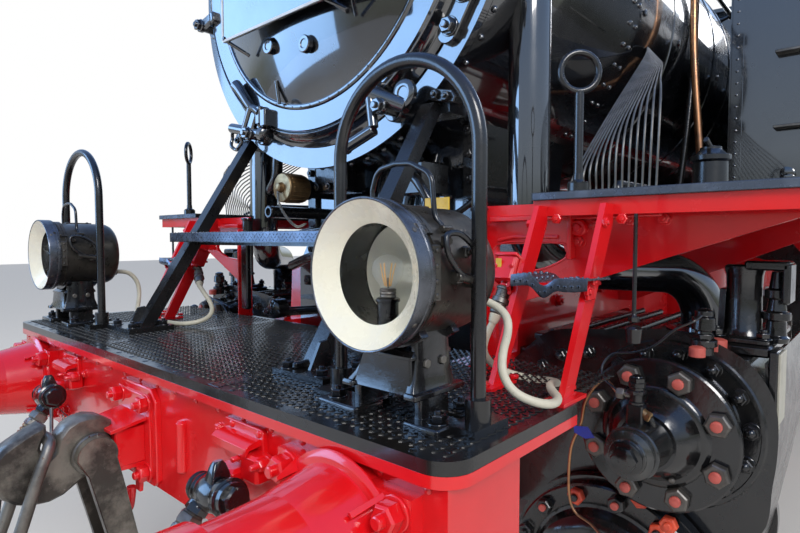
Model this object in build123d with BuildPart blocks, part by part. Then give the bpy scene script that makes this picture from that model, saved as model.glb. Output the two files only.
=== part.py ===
from build123d import *
import math
import os

os.makedirs("parts", exist_ok=True)

# A cylinder or box that stands on its own base instead of being centred
on_base = (Align.CENTER, Align.CENTER, Align.MIN)

# Six-coupled side-tank steam locomotive, millimetres. +X is forward, +Y is the engine's left, +Z is up.
# The flanges' lowest points are at z = 0, halfway between the buffers, so a rail head
# would be at flange_depth.

# Wheels and axles
flange_depth = 28
tread_r = 550
flange_r = tread_r + flange_depth
axle_z = flange_r
axle_x = {"front": 1765, "middle": 165, "driven": -1435}
wheel_back_y = 680
tyre_width = 140
tyre_inner_r = 485
rim_inner_r = 425
hub_r = 150
axle_r = 90
spoke_count = 12
crank_throw = 275
crankpin_r = 55
crank_boss_r = 105
left_crank_deg = -90
right_crank_deg = 180
seat_gap = 0.3
pin_gap = 0.5
rod_gap = 7

# Frame and buffer beams
beam_x = 4215
beam_half_width = 1100
beam_bottom_z = 925
beam_depth = 222
beam_plate = 25
platform_top_z = 1272
platform_thickness = 45
frame_plate_inner_y = 560
frame_plate_thickness = 80
frame_top_z = 1500
horn_window_width = 240

# Buffers and draw gear
buffer_y = 875
buffer_z = 1078
buffer_length = 620
buffer_head_r = 225

# Boiler, smokebox and chimney
boiler_z = 2698
boiler_r = 780
smokebox_r = 800
smokebox_wall = 16
smokebox_front_x = 3520
smokebox_back_x = 2460
ring_r = 814
ring_thickness = 30
door_r = 693
dome_r = 592
chimney_x = 2865
chimney_bore_r = 198
chimney_top_z = 4193

# Cylinders and motion
piston_y = 1000
valve_y = 1140
valve_z = 1090
cylinder_front_x = 3265
cylinder_back_x = 2465
cylinder_r = 300
valve_flange_x = 3190
valve_front_x = 3345
valve_back_x = cylinder_back_x - 100
valve_chest_r = 190
piston_rod_r = 35
rod_inner_y = 857
rod_thickness = 66
main_rod_thickness = 76
# Where the crosshead's pin stands behind the cylinder with its crank pointing forward, and the rod that follows
crosshead_reach = 765
main_rod_length = cylinder_back_x - crosshead_reach - axle_x["driven"]

# Tanks, boards and cab
board_top_z = 1737
board_thickness = 20
board_front_x = 3565
board_inner_y = 885
board_outer_y = 1500
valance_bottom_z = 1676
tank_front_x = 1965
tank_inner_y = 1015
tank_top_z = 3040
cab_front_x = -1700
cab_back_x = -3250
cab_wall = 30
eaves_z = 3540
roof_top_z = 3960
roof_overhang = 60
roof_half_width = board_outer_y + roof_overhang
roof_thickness = 30
bunker_back_x = -4150
bunker_half_width = 1400

# Cab doors
door_opening_x = (-2850, -2230)
door_bottom_z = board_top_z + 10
door_leaf_height = 1150
door_gap = 8
cab_door_thickness = 26

# Front lamps and their stands
lamp_y = 906
lamp_z = 1553
lamp_front_x = 4215
lamp_length = 270
lamp_r = 125
lamp_ring_r = 138

crank_deg = {1: left_crank_deg, -1: right_crank_deg}
sides = {"left": 1, "right": -1}


def slab_plane(side, outer, inner):
    """Plane of a slab's face on one side: local x is +X, local y is +Z, and extrusion runs towards -Y."""
    return Plane.XZ.offset(-outer if side > 0 else inner)


def crank_point(x, side):
    """The crankpin's centre in the side view of the wheel at x."""
    angle = math.radians(crank_deg[side])
    return (x + crank_throw * math.cos(angle), axle_z + crank_throw * math.sin(angle))


def along_x(x):
    """Plane across the engine at x: local x is +Y, local y is +Z."""
    return Plane(origin=(x, 0, 0), x_dir=(0, 1, 0), z_dir=(1, 0, 0))


def cap_middle(rim, apex):
    """Halfway point of an arc from rim (x, r) to apex (x, 0) whose centre lies on the axis."""
    rise = apex[0] - rim[0]
    radius = (rim[1] ** 2 + rise**2) / (2 * abs(rise))
    centre_x = apex[0] - math.copysign(radius, rise)
    half_angle = math.atan2(rim[1], abs(rim[0] - centre_x)) / 2
    return (centre_x + math.copysign(radius, rise) * math.cos(half_angle), radius * math.sin(half_angle))


# Running gear
rim_outer_r = tyre_inner_r - seat_gap
rim_y = (wheel_back_y + 10, wheel_back_y + tyre_width - 10)
spoke_y = (wheel_back_y + 40, wheel_back_y + 95)
hub_y = (wheel_back_y, wheel_back_y + 160)
boss_y = (wheel_back_y + 20, rod_inner_y - rod_gap)
pin_end_y = rod_inner_y + rod_thickness + 3
collar_thickness = 15
collar_r = 72


def wheel_centre(x, side):
    pin = crank_point(x, side)
    with BuildPart() as centre:
        with BuildSketch(slab_plane(side, rim_y[1], rim_y[0])):
            with Locations((x, axle_z)):
                Circle(rim_outer_r)
                Circle(rim_inner_r, mode=Mode.SUBTRACT)
        extrude(amount=rim_y[1] - rim_y[0])
        with BuildSketch(slab_plane(side, spoke_y[1], spoke_y[0])):
            with Locations((x, axle_z)):
                with PolarLocations((hub_r + rim_inner_r) / 2, spoke_count, start_angle=15):
                    Trapezoid(78, rim_inner_r - hub_r + 40, 86, rotation=90)
        extrude(amount=spoke_y[1] - spoke_y[0])
        with BuildSketch(slab_plane(side, hub_y[1], hub_y[0])):
            with Locations((x, axle_z)):
                Circle(hub_r)
        extrude(amount=hub_y[1] - hub_y[0])
        with BuildSketch(slab_plane(side, boss_y[1], boss_y[0])):
            with Locations((x, axle_z)):
                Circle(hub_r - 20)
            with Locations(pin):
                Circle(crank_boss_r)
            make_hull()
        extrude(amount=boss_y[1] - boss_y[0])
        with BuildSketch(slab_plane(side, rim_y[1] - 10, rim_y[0] + 20)):
            with Locations((x, axle_z)):
                Circle(rim_inner_r + 5)
            with Locations((2 * x - pin[0], 2 * axle_z - pin[1])):
                Rectangle(300, 900, rotation=crank_deg[side], mode=Mode.INTERSECT)
        extrude(amount=rim_y[1] - rim_y[0] - 30)
        with BuildSketch(slab_plane(side, pin_end_y, boss_y[1])):
            with Locations(pin):
                Circle(crankpin_r)
        extrude(amount=pin_end_y - boss_y[1])
        with BuildSketch(slab_plane(side, pin_end_y + collar_thickness, pin_end_y)):
            with Locations(pin):
                Circle(collar_r)
        extrude(amount=collar_thickness)
        with BuildSketch(slab_plane(side, hub_y[1] + 20, hub_y[0] - 20)):
            with Locations((x, axle_z)):
                Circle(axle_r + seat_gap)
        extrude(amount=hub_y[1] - hub_y[0] + 40, mode=Mode.SUBTRACT)
    return centre.part


def tyre(x, side):
    # Radius and distance from the wheel's back, from the bore round the flange and along the tread.
    profile = [
        (tyre_inner_r, 0),
        (flange_r - 14, 0),
        (flange_r, 10),
        (flange_r, 18),
        (tread_r + 2, 34),
        (tread_r - 4, tyre_width - 8),
        (tread_r - 10, tyre_width),
        (tyre_inner_r, tyre_width),
    ]
    with BuildPart() as ring:
        with BuildSketch(along_x(x)):
            with BuildLine():
                Polyline([(side * (wheel_back_y + out), axle_z + r) for r, out in profile], close=True)
            make_face()
        revolve(axis=Axis((x, 0, axle_z), (0, 1, 0)))
    return ring.part


for name, x in axle_x.items():
    with BuildPart() as wheels:
        add(wheel_centre(x, 1))
        add(wheel_centre(x, -1))
        with BuildSketch(slab_plane(1, hub_y[1], hub_y[1])):
            with Locations((x, axle_z)):
                Circle(axle_r)
        extrude(amount=2 * hub_y[1])
    wheels.part.label = f"wheels_{name}"
    export_step(wheels.part, f"parts/wheels_{name}.step")
    with BuildPart() as tyres:
        add(tyre(x, 1))
        add(tyre(x, -1))
    tyres.part.label = f"tyres_{name}"
    export_step(tyres.part, f"parts/tyres_{name}.step")

# Coupling rods: fluted bars with an eye on each crankpin
rod_eye_r = 112
rod_height = 108
rod_flute_height = 60
rod_flute_depth = 10
rod_outer_y = rod_inner_y + rod_thickness

for name, side in sides.items():
    eyes = [crank_point(x, side) for x in axle_x.values()]
    bar_length = axle_x["front"] - axle_x["driven"]
    bar_middle = (sum(eye[0] for eye in eyes) / 3, eyes[0][1])
    spans = [((eyes[i][0] + eyes[i + 1][0]) / 2, eyes[i][1]) for i in range(2)]
    span_length = eyes[0][0] - eyes[1][0] - 2 * rod_eye_r - 120
    with BuildPart() as coupling_rod:
        with BuildSketch(slab_plane(side, rod_outer_y, rod_inner_y)):
            with Locations(bar_middle):
                Rectangle(bar_length, rod_height)
            with Locations(eyes):
                Circle(rod_eye_r)
        extrude(amount=rod_thickness)
        with BuildSketch(slab_plane(side, rod_outer_y, rod_inner_y)):
            with Locations(eyes):
                Circle(crankpin_r + pin_gap)
        extrude(amount=rod_thickness, mode=Mode.SUBTRACT)
        with BuildSketch(slab_plane(side, rod_outer_y, rod_outer_y - rod_flute_depth)):
            with Locations(spans):
                SlotOverall(span_length, rod_flute_height)
        extrude(amount=rod_flute_depth, mode=Mode.SUBTRACT)
    coupling_rod.part.label = f"coupling_rod_{name}"
    export_step(coupling_rod.part, f"parts/coupling_rod_{name}.step")

# Frame plates with axlebox windows and lightening holes
frame_back_x = -beam_x + beam_plate
frame_outer_y = frame_plate_inner_y + frame_plate_thickness
frame_bottom_z = 800
horn_foot_z = 430
window_bottom_z = 470
window_top_z = 740
low_end_top_z = platform_top_z - platform_thickness
step_front_x = 3199
frame_step_back_x = 3185
# Lightening holes: middle x, middle z, overall length, height
frame_holes = [
    (965, 1150, 560, 220),
    (-635, 1150, 560, 220),
    (2200, 1180, 300, 200),
    (3850, 1075, 220, 150),
    (-2450, 1150, 520, 220),
    (-3300, 1150, 520, 220),
]

with BuildPart() as frame_plates:
    with BuildSketch(slab_plane(1, frame_outer_y, frame_plate_inner_y)):
        with BuildLine():
            Polyline(
                (frame_back_x, beam_bottom_z + 20),
                (frame_back_x + 500, frame_bottom_z),
                (cylinder_back_x - 60, frame_bottom_z),
                (cylinder_back_x, frame_bottom_z - 110),
                (cylinder_front_x + 40, frame_bottom_z - 110),
                (beam_x - beam_plate - 250, beam_bottom_z + 20),
                (beam_x - beam_plate, beam_bottom_z + 20),
                (beam_x - beam_plate, low_end_top_z),
                (step_front_x, low_end_top_z),
                (frame_step_back_x, frame_top_z),
                (frame_back_x + 500, frame_top_z),
                (frame_back_x, low_end_top_z),
                close=True,
            )
        make_face()
        for x in axle_x.values():
            with Locations((x, (horn_foot_z + frame_bottom_z) / 2 + 10)):
                Trapezoid(640, frame_bottom_z - horn_foot_z + 20, 75, rotation=180)
            with Locations((x, (window_bottom_z + window_top_z) / 2)):
                Rectangle(horn_window_width, window_top_z - window_bottom_z, mode=Mode.SUBTRACT)
        for x, z, length, height in frame_holes:
            with Locations((x, z)):
                SlotOverall(length, height, mode=Mode.SUBTRACT)
    extrude(amount=frame_plate_thickness)
    mirror(about=Plane.XZ)
frame_plates.part.label = "frame_plates"
export_step(frame_plates.part, "parts/frame_plates.step")

# Cross members between the frame plates, and the saddle under the smokebox
cross_half_y = frame_plate_inner_y - seat_gap
saddle_x = (2480, step_front_x)
saddle_half_y = 470
# Cross members: middle x, thickness, bottom z, top z
cross_members = [
    (3560, 40, 950, low_end_top_z),
    (2100, 60, 850, 1480),
    (1120, 60, 850, 1480),
    (-2150, 60, 850, 1480),
    (-3300, 60, 850, 1480),
]

with BuildPart() as frame_cross_members:
    for x, thickness, bottom, top in cross_members:
        with Locations((x, 0, (bottom + top) / 2)):
            Box(thickness, 2 * cross_half_y, top - bottom)
    with Locations(((saddle_x[0] + saddle_x[1]) / 2, 0, (900 + 1400) / 2)):
        Box(saddle_x[1] - saddle_x[0], 2 * cross_half_y, 1400 - 900)
    with BuildSketch(along_x(saddle_x[0])):
        with BuildLine():
            Polyline(
                (-cross_half_y, 1350),
                (cross_half_y, 1350),
                (cross_half_y, 1500),
                (saddle_half_y - 40, 1700),
                (saddle_half_y, 2150),
                (-saddle_half_y, 2150),
                (-saddle_half_y + 40, 1700),
                (-cross_half_y, 1500),
                close=True,
            )
        make_face()
        with Locations((0, boiler_z)):
            Circle(smokebox_r + seat_gap, mode=Mode.SUBTRACT)
    extrude(amount=saddle_x[1] - saddle_x[0])
frame_cross_members.part.label = "frame_cross_members"
export_step(frame_cross_members.part, "parts/frame_cross_members.step")

# Buffer beams: a front plate with end plates and a top and bottom flange, open behind
beam_flange_depth = 120
hook_hole = (150, 110)

with BuildPart() as beam_front:
    beam_height = low_end_top_z - beam_bottom_z
    beam_middle_z = (low_end_top_z + beam_bottom_z) / 2
    with Locations((beam_x - beam_plate / 2, 0, beam_middle_z)):
        Box(beam_plate, 2 * beam_half_width, beam_height)
    for z in (low_end_top_z - beam_plate / 2, beam_bottom_z + beam_plate / 2):
        for y in (-1, 1):
            with Locations(
                (beam_x - beam_plate - beam_flange_depth / 2, y * (frame_outer_y + beam_half_width) / 2, z)
            ):
                Box(beam_flange_depth, beam_half_width - frame_outer_y - 2 * seat_gap, beam_plate)
    for y in (-1, 1):
        with Locations((beam_x - beam_depth / 2, y * (beam_half_width - beam_plate / 2), beam_middle_z)):
            Box(beam_depth, beam_plate, beam_height)
    with Locations((beam_x - beam_plate / 2, 0, buffer_z - 25)):
        Box(beam_plate, *hook_hole, mode=Mode.SUBTRACT)
with BuildPart() as buffer_beams:
    add(beam_front.part)
    mirror(about=Plane.YZ)
buffer_beams.part.label = "buffer_beams"
export_step(buffer_beams.part, "parts/buffer_beams.step")

# Buffers
housing_length = 350
housing_r = 112
buffer_plate = (30, 350, 250)
plunger_r = 85
head_thickness = 35

with BuildPart() as housing_left:
    with Locations((beam_x + buffer_plate[0] / 2, buffer_y, buffer_z)):
        Box(*buffer_plate)
    with BuildSketch(Plane(origin=(0, buffer_y, buffer_z), x_dir=(1, 0, 0), z_dir=(0, -1, 0))):
        with BuildLine():
            Polyline(
                (beam_x + 1, 0),
                (beam_x + 1, housing_r + 34),
                (beam_x + 60, housing_r + 22),
                (beam_x + 150, housing_r + 6),
                (beam_x + housing_length - 60, housing_r),
                (beam_x + housing_length - 60, housing_r + 14),
                (beam_x + housing_length, housing_r + 14),
                (beam_x + housing_length, 0),
                close=True,
            )
        make_face()
    revolve(axis=Axis((0, buffer_y, buffer_z), (1, 0, 0)))
    with Locations(Plane(origin=(beam_x + housing_length, buffer_y, buffer_z), z_dir=(1, 0, 0))):
        Hole(plunger_r + seat_gap, depth=80)
with BuildPart() as housings_front:
    add(housing_left.part)
    mirror(about=Plane.XZ)
with BuildPart() as buffer_housings:
    add(housings_front.part)
    mirror(about=Plane.YZ)
buffer_housings.part.label = "buffer_housings"
export_step(buffer_housings.part, "parts/buffer_housings.step")

with BuildPart() as head_left:
    with BuildSketch(Plane(origin=(0, buffer_y, buffer_z), x_dir=(1, 0, 0), z_dir=(0, -1, 0))):
        head_x = beam_x + buffer_length
        with BuildLine():
            Polyline(
                (head_x, 0),
                (beam_x + housing_length - 79, 0),
                (beam_x + housing_length - 79, plunger_r),
                (head_x - head_thickness - 20, plunger_r),
                (head_x - head_thickness, plunger_r + 45),
                (head_x - head_thickness, buffer_head_r),
                (head_x - 14, buffer_head_r),
            )
            ThreePointArc(
                (head_x - 14, buffer_head_r),
                cap_middle((head_x - 14, buffer_head_r), (head_x, 0)),
                (head_x, 0),
            )
        make_face()
    revolve(axis=Axis((0, buffer_y, buffer_z), (1, 0, 0)))
with BuildPart() as heads_front:
    add(head_left.part)
    mirror(about=Plane.XZ)
with BuildPart() as buffer_heads:
    add(heads_front.part)
    mirror(about=Plane.YZ)
buffer_heads.part.label = "buffer_heads"
export_step(buffer_heads.part, "parts/buffer_heads.step")

# Front platform: a chequered deck with an edge band, longer in the middle
deck_front_x = beam_x + 20
deck_half_width = 1120
deck_side_back_x = 3790
deck_notch = (3645, 700)
deck_middle_back_x = 3485
deck_middle_half_y = frame_plate_inner_y - 5

with BuildPart() as front_platform:
    with BuildSketch(Plane.XY.offset(low_end_top_z + seat_gap)):
        with BuildLine():
            Polyline(
                (deck_front_x, -deck_half_width),
                (deck_front_x, deck_half_width),
                (deck_side_back_x, deck_half_width),
                deck_notch,
                (deck_notch[0], deck_middle_half_y),
                (deck_middle_back_x, deck_middle_half_y),
                (deck_middle_back_x, -deck_middle_half_y),
                (deck_notch[0], -deck_middle_half_y),
                (deck_notch[0], -deck_notch[1]),
                (deck_side_back_x, -deck_half_width),
                close=True,
            )
        make_face()
    extrude(amount=platform_thickness - seat_gap)
    fillet(front_platform.edges().filter_by(Axis.Z).group_by(Axis.X)[-1], radius=60)
    with BuildSketch(Plane.XY.offset(low_end_top_z + seat_gap)):
        with Locations(((deck_front_x + deck_side_back_x) / 2, 0)):
            Rectangle(deck_front_x - deck_side_back_x - 60, 2 * deck_half_width - 40)
        with Locations((beam_x - beam_depth / 2, 0)):
            Rectangle(beam_depth, 2 * beam_half_width, mode=Mode.SUBTRACT)
        for y in (-1, 1):
            with Locations(((deck_front_x + deck_side_back_x) / 2, y * (frame_plate_inner_y + 40))):
                Rectangle(900, frame_plate_thickness + 40, mode=Mode.SUBTRACT)
    extrude(amount=platform_thickness - 12, mode=Mode.SUBTRACT)
front_platform.part.label = "front_platform"
export_step(front_platform.part, "parts/front_platform.step")

# Smokebox: a shell with a front ring and a tube plate behind
with BuildPart() as smokebox:
    with BuildSketch(along_x(smokebox_back_x)):
        with Locations((0, boiler_z)):
            Circle(smokebox_r)
            Circle(smokebox_r - smokebox_wall, mode=Mode.SUBTRACT)
    extrude(amount=smokebox_front_x - ring_thickness - smokebox_back_x)
    with BuildSketch(along_x(smokebox_back_x)):
        with Locations((0, boiler_z)):
            Circle(smokebox_r - 1)
    extrude(amount=30)
    with BuildSketch(along_x(smokebox_front_x - ring_thickness)):
        with Locations((0, boiler_z)):
            Circle(ring_r)
            Circle(door_r - 40, mode=Mode.SUBTRACT)
    extrude(amount=ring_thickness)
    with BuildSketch(Plane.XY.offset(boiler_z + smokebox_r - 100)):
        with Locations((chimney_x, 0)):
            Circle(chimney_bore_r)
    extrude(amount=200, mode=Mode.SUBTRACT)
smokebox.part.label = "smokebox"
export_step(smokebox.part, "parts/smokebox.step")

# Smokebox door: a flat rim round a pressed dome, hollow behind, with hinge straps and knuckles
door_back_x = smokebox_front_x + 1
door_rim_front_x = smokebox_front_x + 60
door_dome_front_x = smokebox_front_x + 175
door_plate = 14
door_hinge_y = 752
door_hinge_x = smokebox_front_x + 62
hinge_pin_r = 16
knuckle_r = 30
# Hinge heights, measured from the boiler's centre, and the height of a knuckle
door_hinge_heights = [-300, 300]
knuckle_height = 90

with BuildPart() as smokebox_door:
    with BuildSketch(Plane(origin=(0, 0, boiler_z), x_dir=(1, 0, 0), z_dir=(0, -1, 0))):
        with BuildLine():
            Polyline(
                (door_back_x, door_r - 30),
                (door_back_x, door_r),
                (door_rim_front_x - 12, door_r),
                (door_rim_front_x, door_r - 12),
                (door_rim_front_x, dome_r),
            )
            ThreePointArc(
                (door_rim_front_x, dome_r),
                cap_middle((door_rim_front_x, dome_r), (door_dome_front_x, 0)),
                (door_dome_front_x, 0),
            )
            Line((door_dome_front_x, 0), (door_dome_front_x - door_plate, 0))
            ThreePointArc(
                (door_dome_front_x - door_plate, 0),
                cap_middle(
                    (door_rim_front_x - door_plate, dome_r - 6),
                    (door_dome_front_x - door_plate, 0),
                ),
                (door_rim_front_x - door_plate, dome_r - 6),
            )
            Polyline(
                (door_rim_front_x - door_plate, dome_r - 6),
                (door_rim_front_x - door_plate, door_r - 30),
                (door_back_x, door_r - 30),
            )
        make_face()
    revolve(axis=Axis((0, 0, boiler_z), (1, 0, 0)))
    for height in door_hinge_heights:
        strap_end = math.sqrt(dome_r**2 - height**2) - 150
        with BuildSketch(Plane.XY.offset(boiler_z + height - knuckle_height / 2)):
            with BuildLine():
                Polyline(
                    (door_rim_front_x - 8, strap_end + 110),
                    (door_rim_front_x + 14, strap_end + 110),
                    (door_hinge_x + 14, door_hinge_y),
                    (door_hinge_x - 12, door_hinge_y),
                    close=True,
                )
            make_face()
        extrude(amount=knuckle_height)
        with Locations((door_hinge_x, door_hinge_y, boiler_z + height)):
            Cylinder(knuckle_r, knuckle_height)
            Cylinder(hinge_pin_r + pin_gap, knuckle_height + 2, mode=Mode.SUBTRACT)
smokebox_door.part.label = "smokebox_door"
export_step(smokebox_door.part, "parts/smokebox_door.step")

# Hinge post on the ring: a pin through each knuckle, carried by a lug above and below it; and the latches
lug_gap = 1
lug_height = 30
latch_r = 753
# Latches round the ring: angle from +Y towards +Z in the front view
latch_degs = [-120, -61, 190, 145, 90]

with BuildPart() as smokebox_door_fittings:
    for height in door_hinge_heights:
        with Locations((door_hinge_x, door_hinge_y, boiler_z + height)):
            Cylinder(hinge_pin_r, knuckle_height + 2 * lug_gap + lug_height)
        for end in (-1, 1):
            lug_z = boiler_z + height + end * (knuckle_height / 2 + lug_gap + lug_height / 2)
            with BuildSketch(Plane.XY.offset(lug_z - lug_height / 2)):
                with BuildLine():
                    Polyline(
                        (smokebox_front_x + seat_gap, door_hinge_y - 50),
                        (smokebox_front_x + 12, door_hinge_y - 50),
                        (door_hinge_x + 18, door_hinge_y - 22),
                        (door_hinge_x + 18, door_hinge_y + 22),
                        (smokebox_front_x + seat_gap, door_hinge_y + 22),
                        close=True,
                    )
                make_face()
            extrude(amount=lug_height)
        with Locations((smokebox_front_x + 8 + seat_gap, door_hinge_y - 22, boiler_z + height)):
            Box(16, 70, knuckle_height + 2 * lug_height + 4)
    for angle in latch_degs:
        y = latch_r * math.cos(math.radians(angle))
        z = boiler_z + latch_r * math.sin(math.radians(angle))
        with Locations(Plane(origin=(smokebox_front_x + seat_gap, y, z), z_dir=(1, 0, 0))):
            Cylinder(36, 18, align=on_base)
            Cylinder(22, 86, align=on_base)
smokebox_door_fittings.part.label = "smokebox_door_fittings"
export_step(smokebox_door_fittings.part, "parts/smokebox_door_fittings.step")

# Boiler barrel with its cladding, and the firebox down between the frames
boiler_back_x = cab_front_x - 40
firebox_x = (-1690, -250)
firebox_half_y = 540

with BuildPart() as boiler:
    with BuildSketch(along_x(boiler_back_x)):
        with Locations((0, boiler_z)):
            Circle(boiler_r)
    extrude(amount=smokebox_back_x - seat_gap - boiler_back_x)
    with Locations(((firebox_x[0] + firebox_x[1]) / 2, 0, (1180 + boiler_z) / 2)):
        Box(firebox_x[1] - firebox_x[0], 2 * firebox_half_y, boiler_z - 1180)
    # The ash pan hangs under the firebox
    with BuildSketch(Plane.XZ.offset(-420)):
        with BuildLine():
            Polyline(
                (-1300, 1180 - seat_gap),
                (-1300, 900),
                (-1150, 480),
                (-300, 480),
                (-260, 1180 - seat_gap),
                close=True,
            )
        make_face()
    extrude(amount=840)
boiler.part.label = "boiler"
export_step(boiler.part, "parts/boiler.step")

# Chimney with a flared base on the smokebox
with BuildPart() as chimney:
    with BuildSketch(Plane.XZ):
        with BuildLine():
            chimney_base_z = boiler_z + smokebox_r - 90
            Polyline(
                (chimney_x + chimney_bore_r, chimney_base_z),
                (chimney_x + 330, chimney_base_z),
                (chimney_x + 310, boiler_z + smokebox_r + 10),
            )
            ThreePointArc(
                (chimney_x + 310, boiler_z + smokebox_r + 10),
                (chimney_x + 228, boiler_z + smokebox_r + 60),
                (chimney_x + 212, boiler_z + smokebox_r + 160),
            )
            Polyline(
                (chimney_x + 212, boiler_z + smokebox_r + 160),
                (chimney_x + 232, chimney_top_z - 90),
                (chimney_x + 262, chimney_top_z - 70),
                (chimney_x + 262, chimney_top_z - 20),
                (chimney_x + 240, chimney_top_z),
                (chimney_x + chimney_bore_r, chimney_top_z),
                (chimney_x + chimney_bore_r, chimney_base_z),
            )
        make_face()
    revolve(axis=Axis((chimney_x, 0, 0), (0, 0, 1)))
    with BuildSketch(along_x(chimney_x - 400)):
        with Locations((0, boiler_z)):
            Circle(smokebox_r + seat_gap)
    extrude(amount=800, mode=Mode.SUBTRACT)
chimney.part.label = "chimney"
export_step(chimney.part, "parts/chimney.step")

# What stands on the boiler. Domes: middle x, radius, top z
dome_rows = [
    (1560, 330, 3930),
    (420, 350, 3990),
]
with BuildPart() as boiler_mountings:
    for x, radius, top in dome_rows:
        with BuildSketch(Plane.XZ):
            with BuildLine():
                foot_z = boiler_z + boiler_r
                Polyline(
                    (x, foot_z - 120),
                    (x + radius + 60, foot_z - 120),
                    (x + radius + 50, foot_z - 10),
                    (x + radius, foot_z + 50),
                    (x + radius, top - 150),
                )
                ThreePointArc((x + radius, top - 150), (x + radius - 45, top - 45), (x + radius - 150, top))
                Polyline((x + radius - 150, top), (x, top), (x, foot_z - 120))
            make_face()
        revolve(axis=Axis((x, 0, 0), (0, 0, 1)))
    # Two safety valves on their pad, a whistle and a turbo generator
    with Locations((-480, 0, boiler_z + boiler_r + 40)):
        Box(420, 260, 100)
    for y in (-70, 70):
        with Locations((-420, y, boiler_z + boiler_r + 90)):
            Cylinder(45, 260, align=on_base)
            Cylinder(58, 60, align=on_base)
    with Locations((-600, 0, boiler_z + boiler_r + 90)):
        Cylinder(18, 120, align=on_base)
    with Locations((-600, 0, boiler_z + boiler_r + 200)):
        Cylinder(38, 150, align=on_base)
    with Locations(Plane(origin=(-1200, 0, boiler_z + boiler_r + 130), z_dir=(1, 0, 0))):
        Cylinder(130, 320)
        Cylinder(165, 90)
    with Locations((-1200, 0, boiler_z + boiler_r + 40)):
        Box(260, 180, 120)
    with BuildSketch(along_x(-1500)):
        with Locations((0, boiler_z)):
            Circle(boiler_r + seat_gap)
    extrude(amount=3700, mode=Mode.SUBTRACT)
boiler_mountings.part.label = "boiler_mountings"
export_step(boiler_mountings.part, "parts/boiler_mountings.step")

# Cylinder castings: the cylinder, the valve chest above it and the foot that bolts to the frame
block_inner_y = frame_outer_y + seat_gap
chest_flange_r = 216
chest_flange_thickness = 30

with BuildPart() as cylinders:
    with BuildSketch(along_x(cylinder_back_x)):
        with Locations((piston_y, axle_z)):
            Circle(cylinder_r)
    extrude(amount=cylinder_front_x - cylinder_back_x)
    with BuildSketch(along_x(valve_back_x)):
        with Locations((valve_y, valve_z)):
            Circle(valve_chest_r)
    extrude(amount=valve_flange_x - valve_back_x)
    with BuildSketch(along_x(cylinder_back_x + 60)):
        with BuildLine():
            Polyline(
                (block_inner_y, 700),
                (piston_y, axle_z + 120),
                (piston_y + 220, axle_z + 60),
                (valve_y + 150, valve_z - 60),
                (valve_y, valve_z + 60),
                (block_inner_y, valve_z + 150),
                close=True,
            )
        make_face()
    extrude(amount=valve_flange_x - 10 - cylinder_back_x - 60)
    for x in (cylinder_back_x, cylinder_front_x - 40):
        with BuildSketch(along_x(x)):
            with Locations((piston_y, axle_z)):
                Circle(cylinder_r + 22)
        extrude(amount=40)
    for x in (valve_back_x, valve_flange_x - chest_flange_thickness):
        with BuildSketch(along_x(x)):
            with Locations((valve_y, valve_z)):
                Circle(chest_flange_r)
        extrude(amount=chest_flange_thickness)
    mirror(about=Plane.XZ)
cylinders.part.label = "cylinders"
export_step(cylinders.part, "parts/cylinders.step")

# Covers of the cylinders and valve chests, front and back, with their nuts and the valve's tail sleeve
nut_r = 26
nut_height = 26
cylinder_cover_thickness = 32
cylinder_nut_count = 14
cylinder_nut_ring_r = 270
valve_nut_count = 8
valve_nut_ring_r = 163
valve_cover_r = 192
sleeve_r = 52
sleeve_end_x = 3580

with BuildPart() as cylinder_covers:
    with Locations(Plane(origin=(cylinder_front_x + seat_gap, piston_y, axle_z), z_dir=(1, 0, 0))):
        Cylinder(cylinder_r + 6, cylinder_cover_thickness, align=on_base)
        Cylinder(cylinder_r - 75, cylinder_cover_thickness + 30, align=on_base)
        Cylinder(70, cylinder_cover_thickness + 70, align=on_base)
    with BuildSketch(along_x(cylinder_front_x + cylinder_cover_thickness)):
        with Locations((piston_y, axle_z)):
            with PolarLocations(cylinder_nut_ring_r, cylinder_nut_count):
                RegularPolygon(nut_r, 6)
    extrude(amount=nut_height)
    with Locations(Plane(origin=(valve_flange_x + seat_gap, valve_y, valve_z), z_dir=(1, 0, 0))):
        Cylinder(chest_flange_r, chest_flange_thickness, align=on_base)
        Cylinder(valve_cover_r - 40, valve_front_x - valve_flange_x, align=on_base)
    with Locations(Plane(origin=(valve_front_x - 30, valve_y, valve_z), z_dir=(1, 0, 0))):
        Cylinder(valve_cover_r, 30, align=on_base)
    with Locations(Plane(origin=(valve_front_x, valve_y, valve_z), z_dir=(1, 0, 0))):
        Cone(122, 100, 75, align=on_base)
        Cylinder(
            sleeve_r,
            sleeve_end_x - 45 - valve_front_x,
            align=on_base,
        )
    with BuildSketch(along_x(sleeve_end_x - 46)):
        with Locations((valve_y, valve_z)):
            Circle(sleeve_r + 8)
    extrude(amount=30)
    with BuildSketch(along_x(sleeve_end_x - 20)):
        with Locations((valve_y, valve_z)):
            RegularPolygon(36, 6)
    extrude(amount=20)
    with BuildSketch(along_x(valve_front_x - 1)):
        with Locations((valve_y, valve_z)):
            with PolarLocations(valve_nut_ring_r, valve_nut_count, start_angle=22.5):
                RegularPolygon(nut_r, 6)
    extrude(amount=nut_height)
    with Locations(Plane(origin=(cylinder_back_x - seat_gap, piston_y, axle_z), z_dir=(-1, 0, 0))):
        Cylinder(cylinder_r + 6, cylinder_cover_thickness, align=on_base)
        Cylinder(90, 110, align=on_base)
        Cylinder(piston_rod_r + seat_gap, 111, align=on_base, mode=Mode.SUBTRACT)
    with Locations(Plane(origin=(valve_back_x - seat_gap, valve_y, valve_z), z_dir=(-1, 0, 0))):
        Cylinder(valve_cover_r, 30, align=on_base)
        Cylinder(60, 90, align=on_base)
        Cylinder(20 + seat_gap, 91, align=on_base, mode=Mode.SUBTRACT)
    mirror(about=Plane.XZ)
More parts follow.
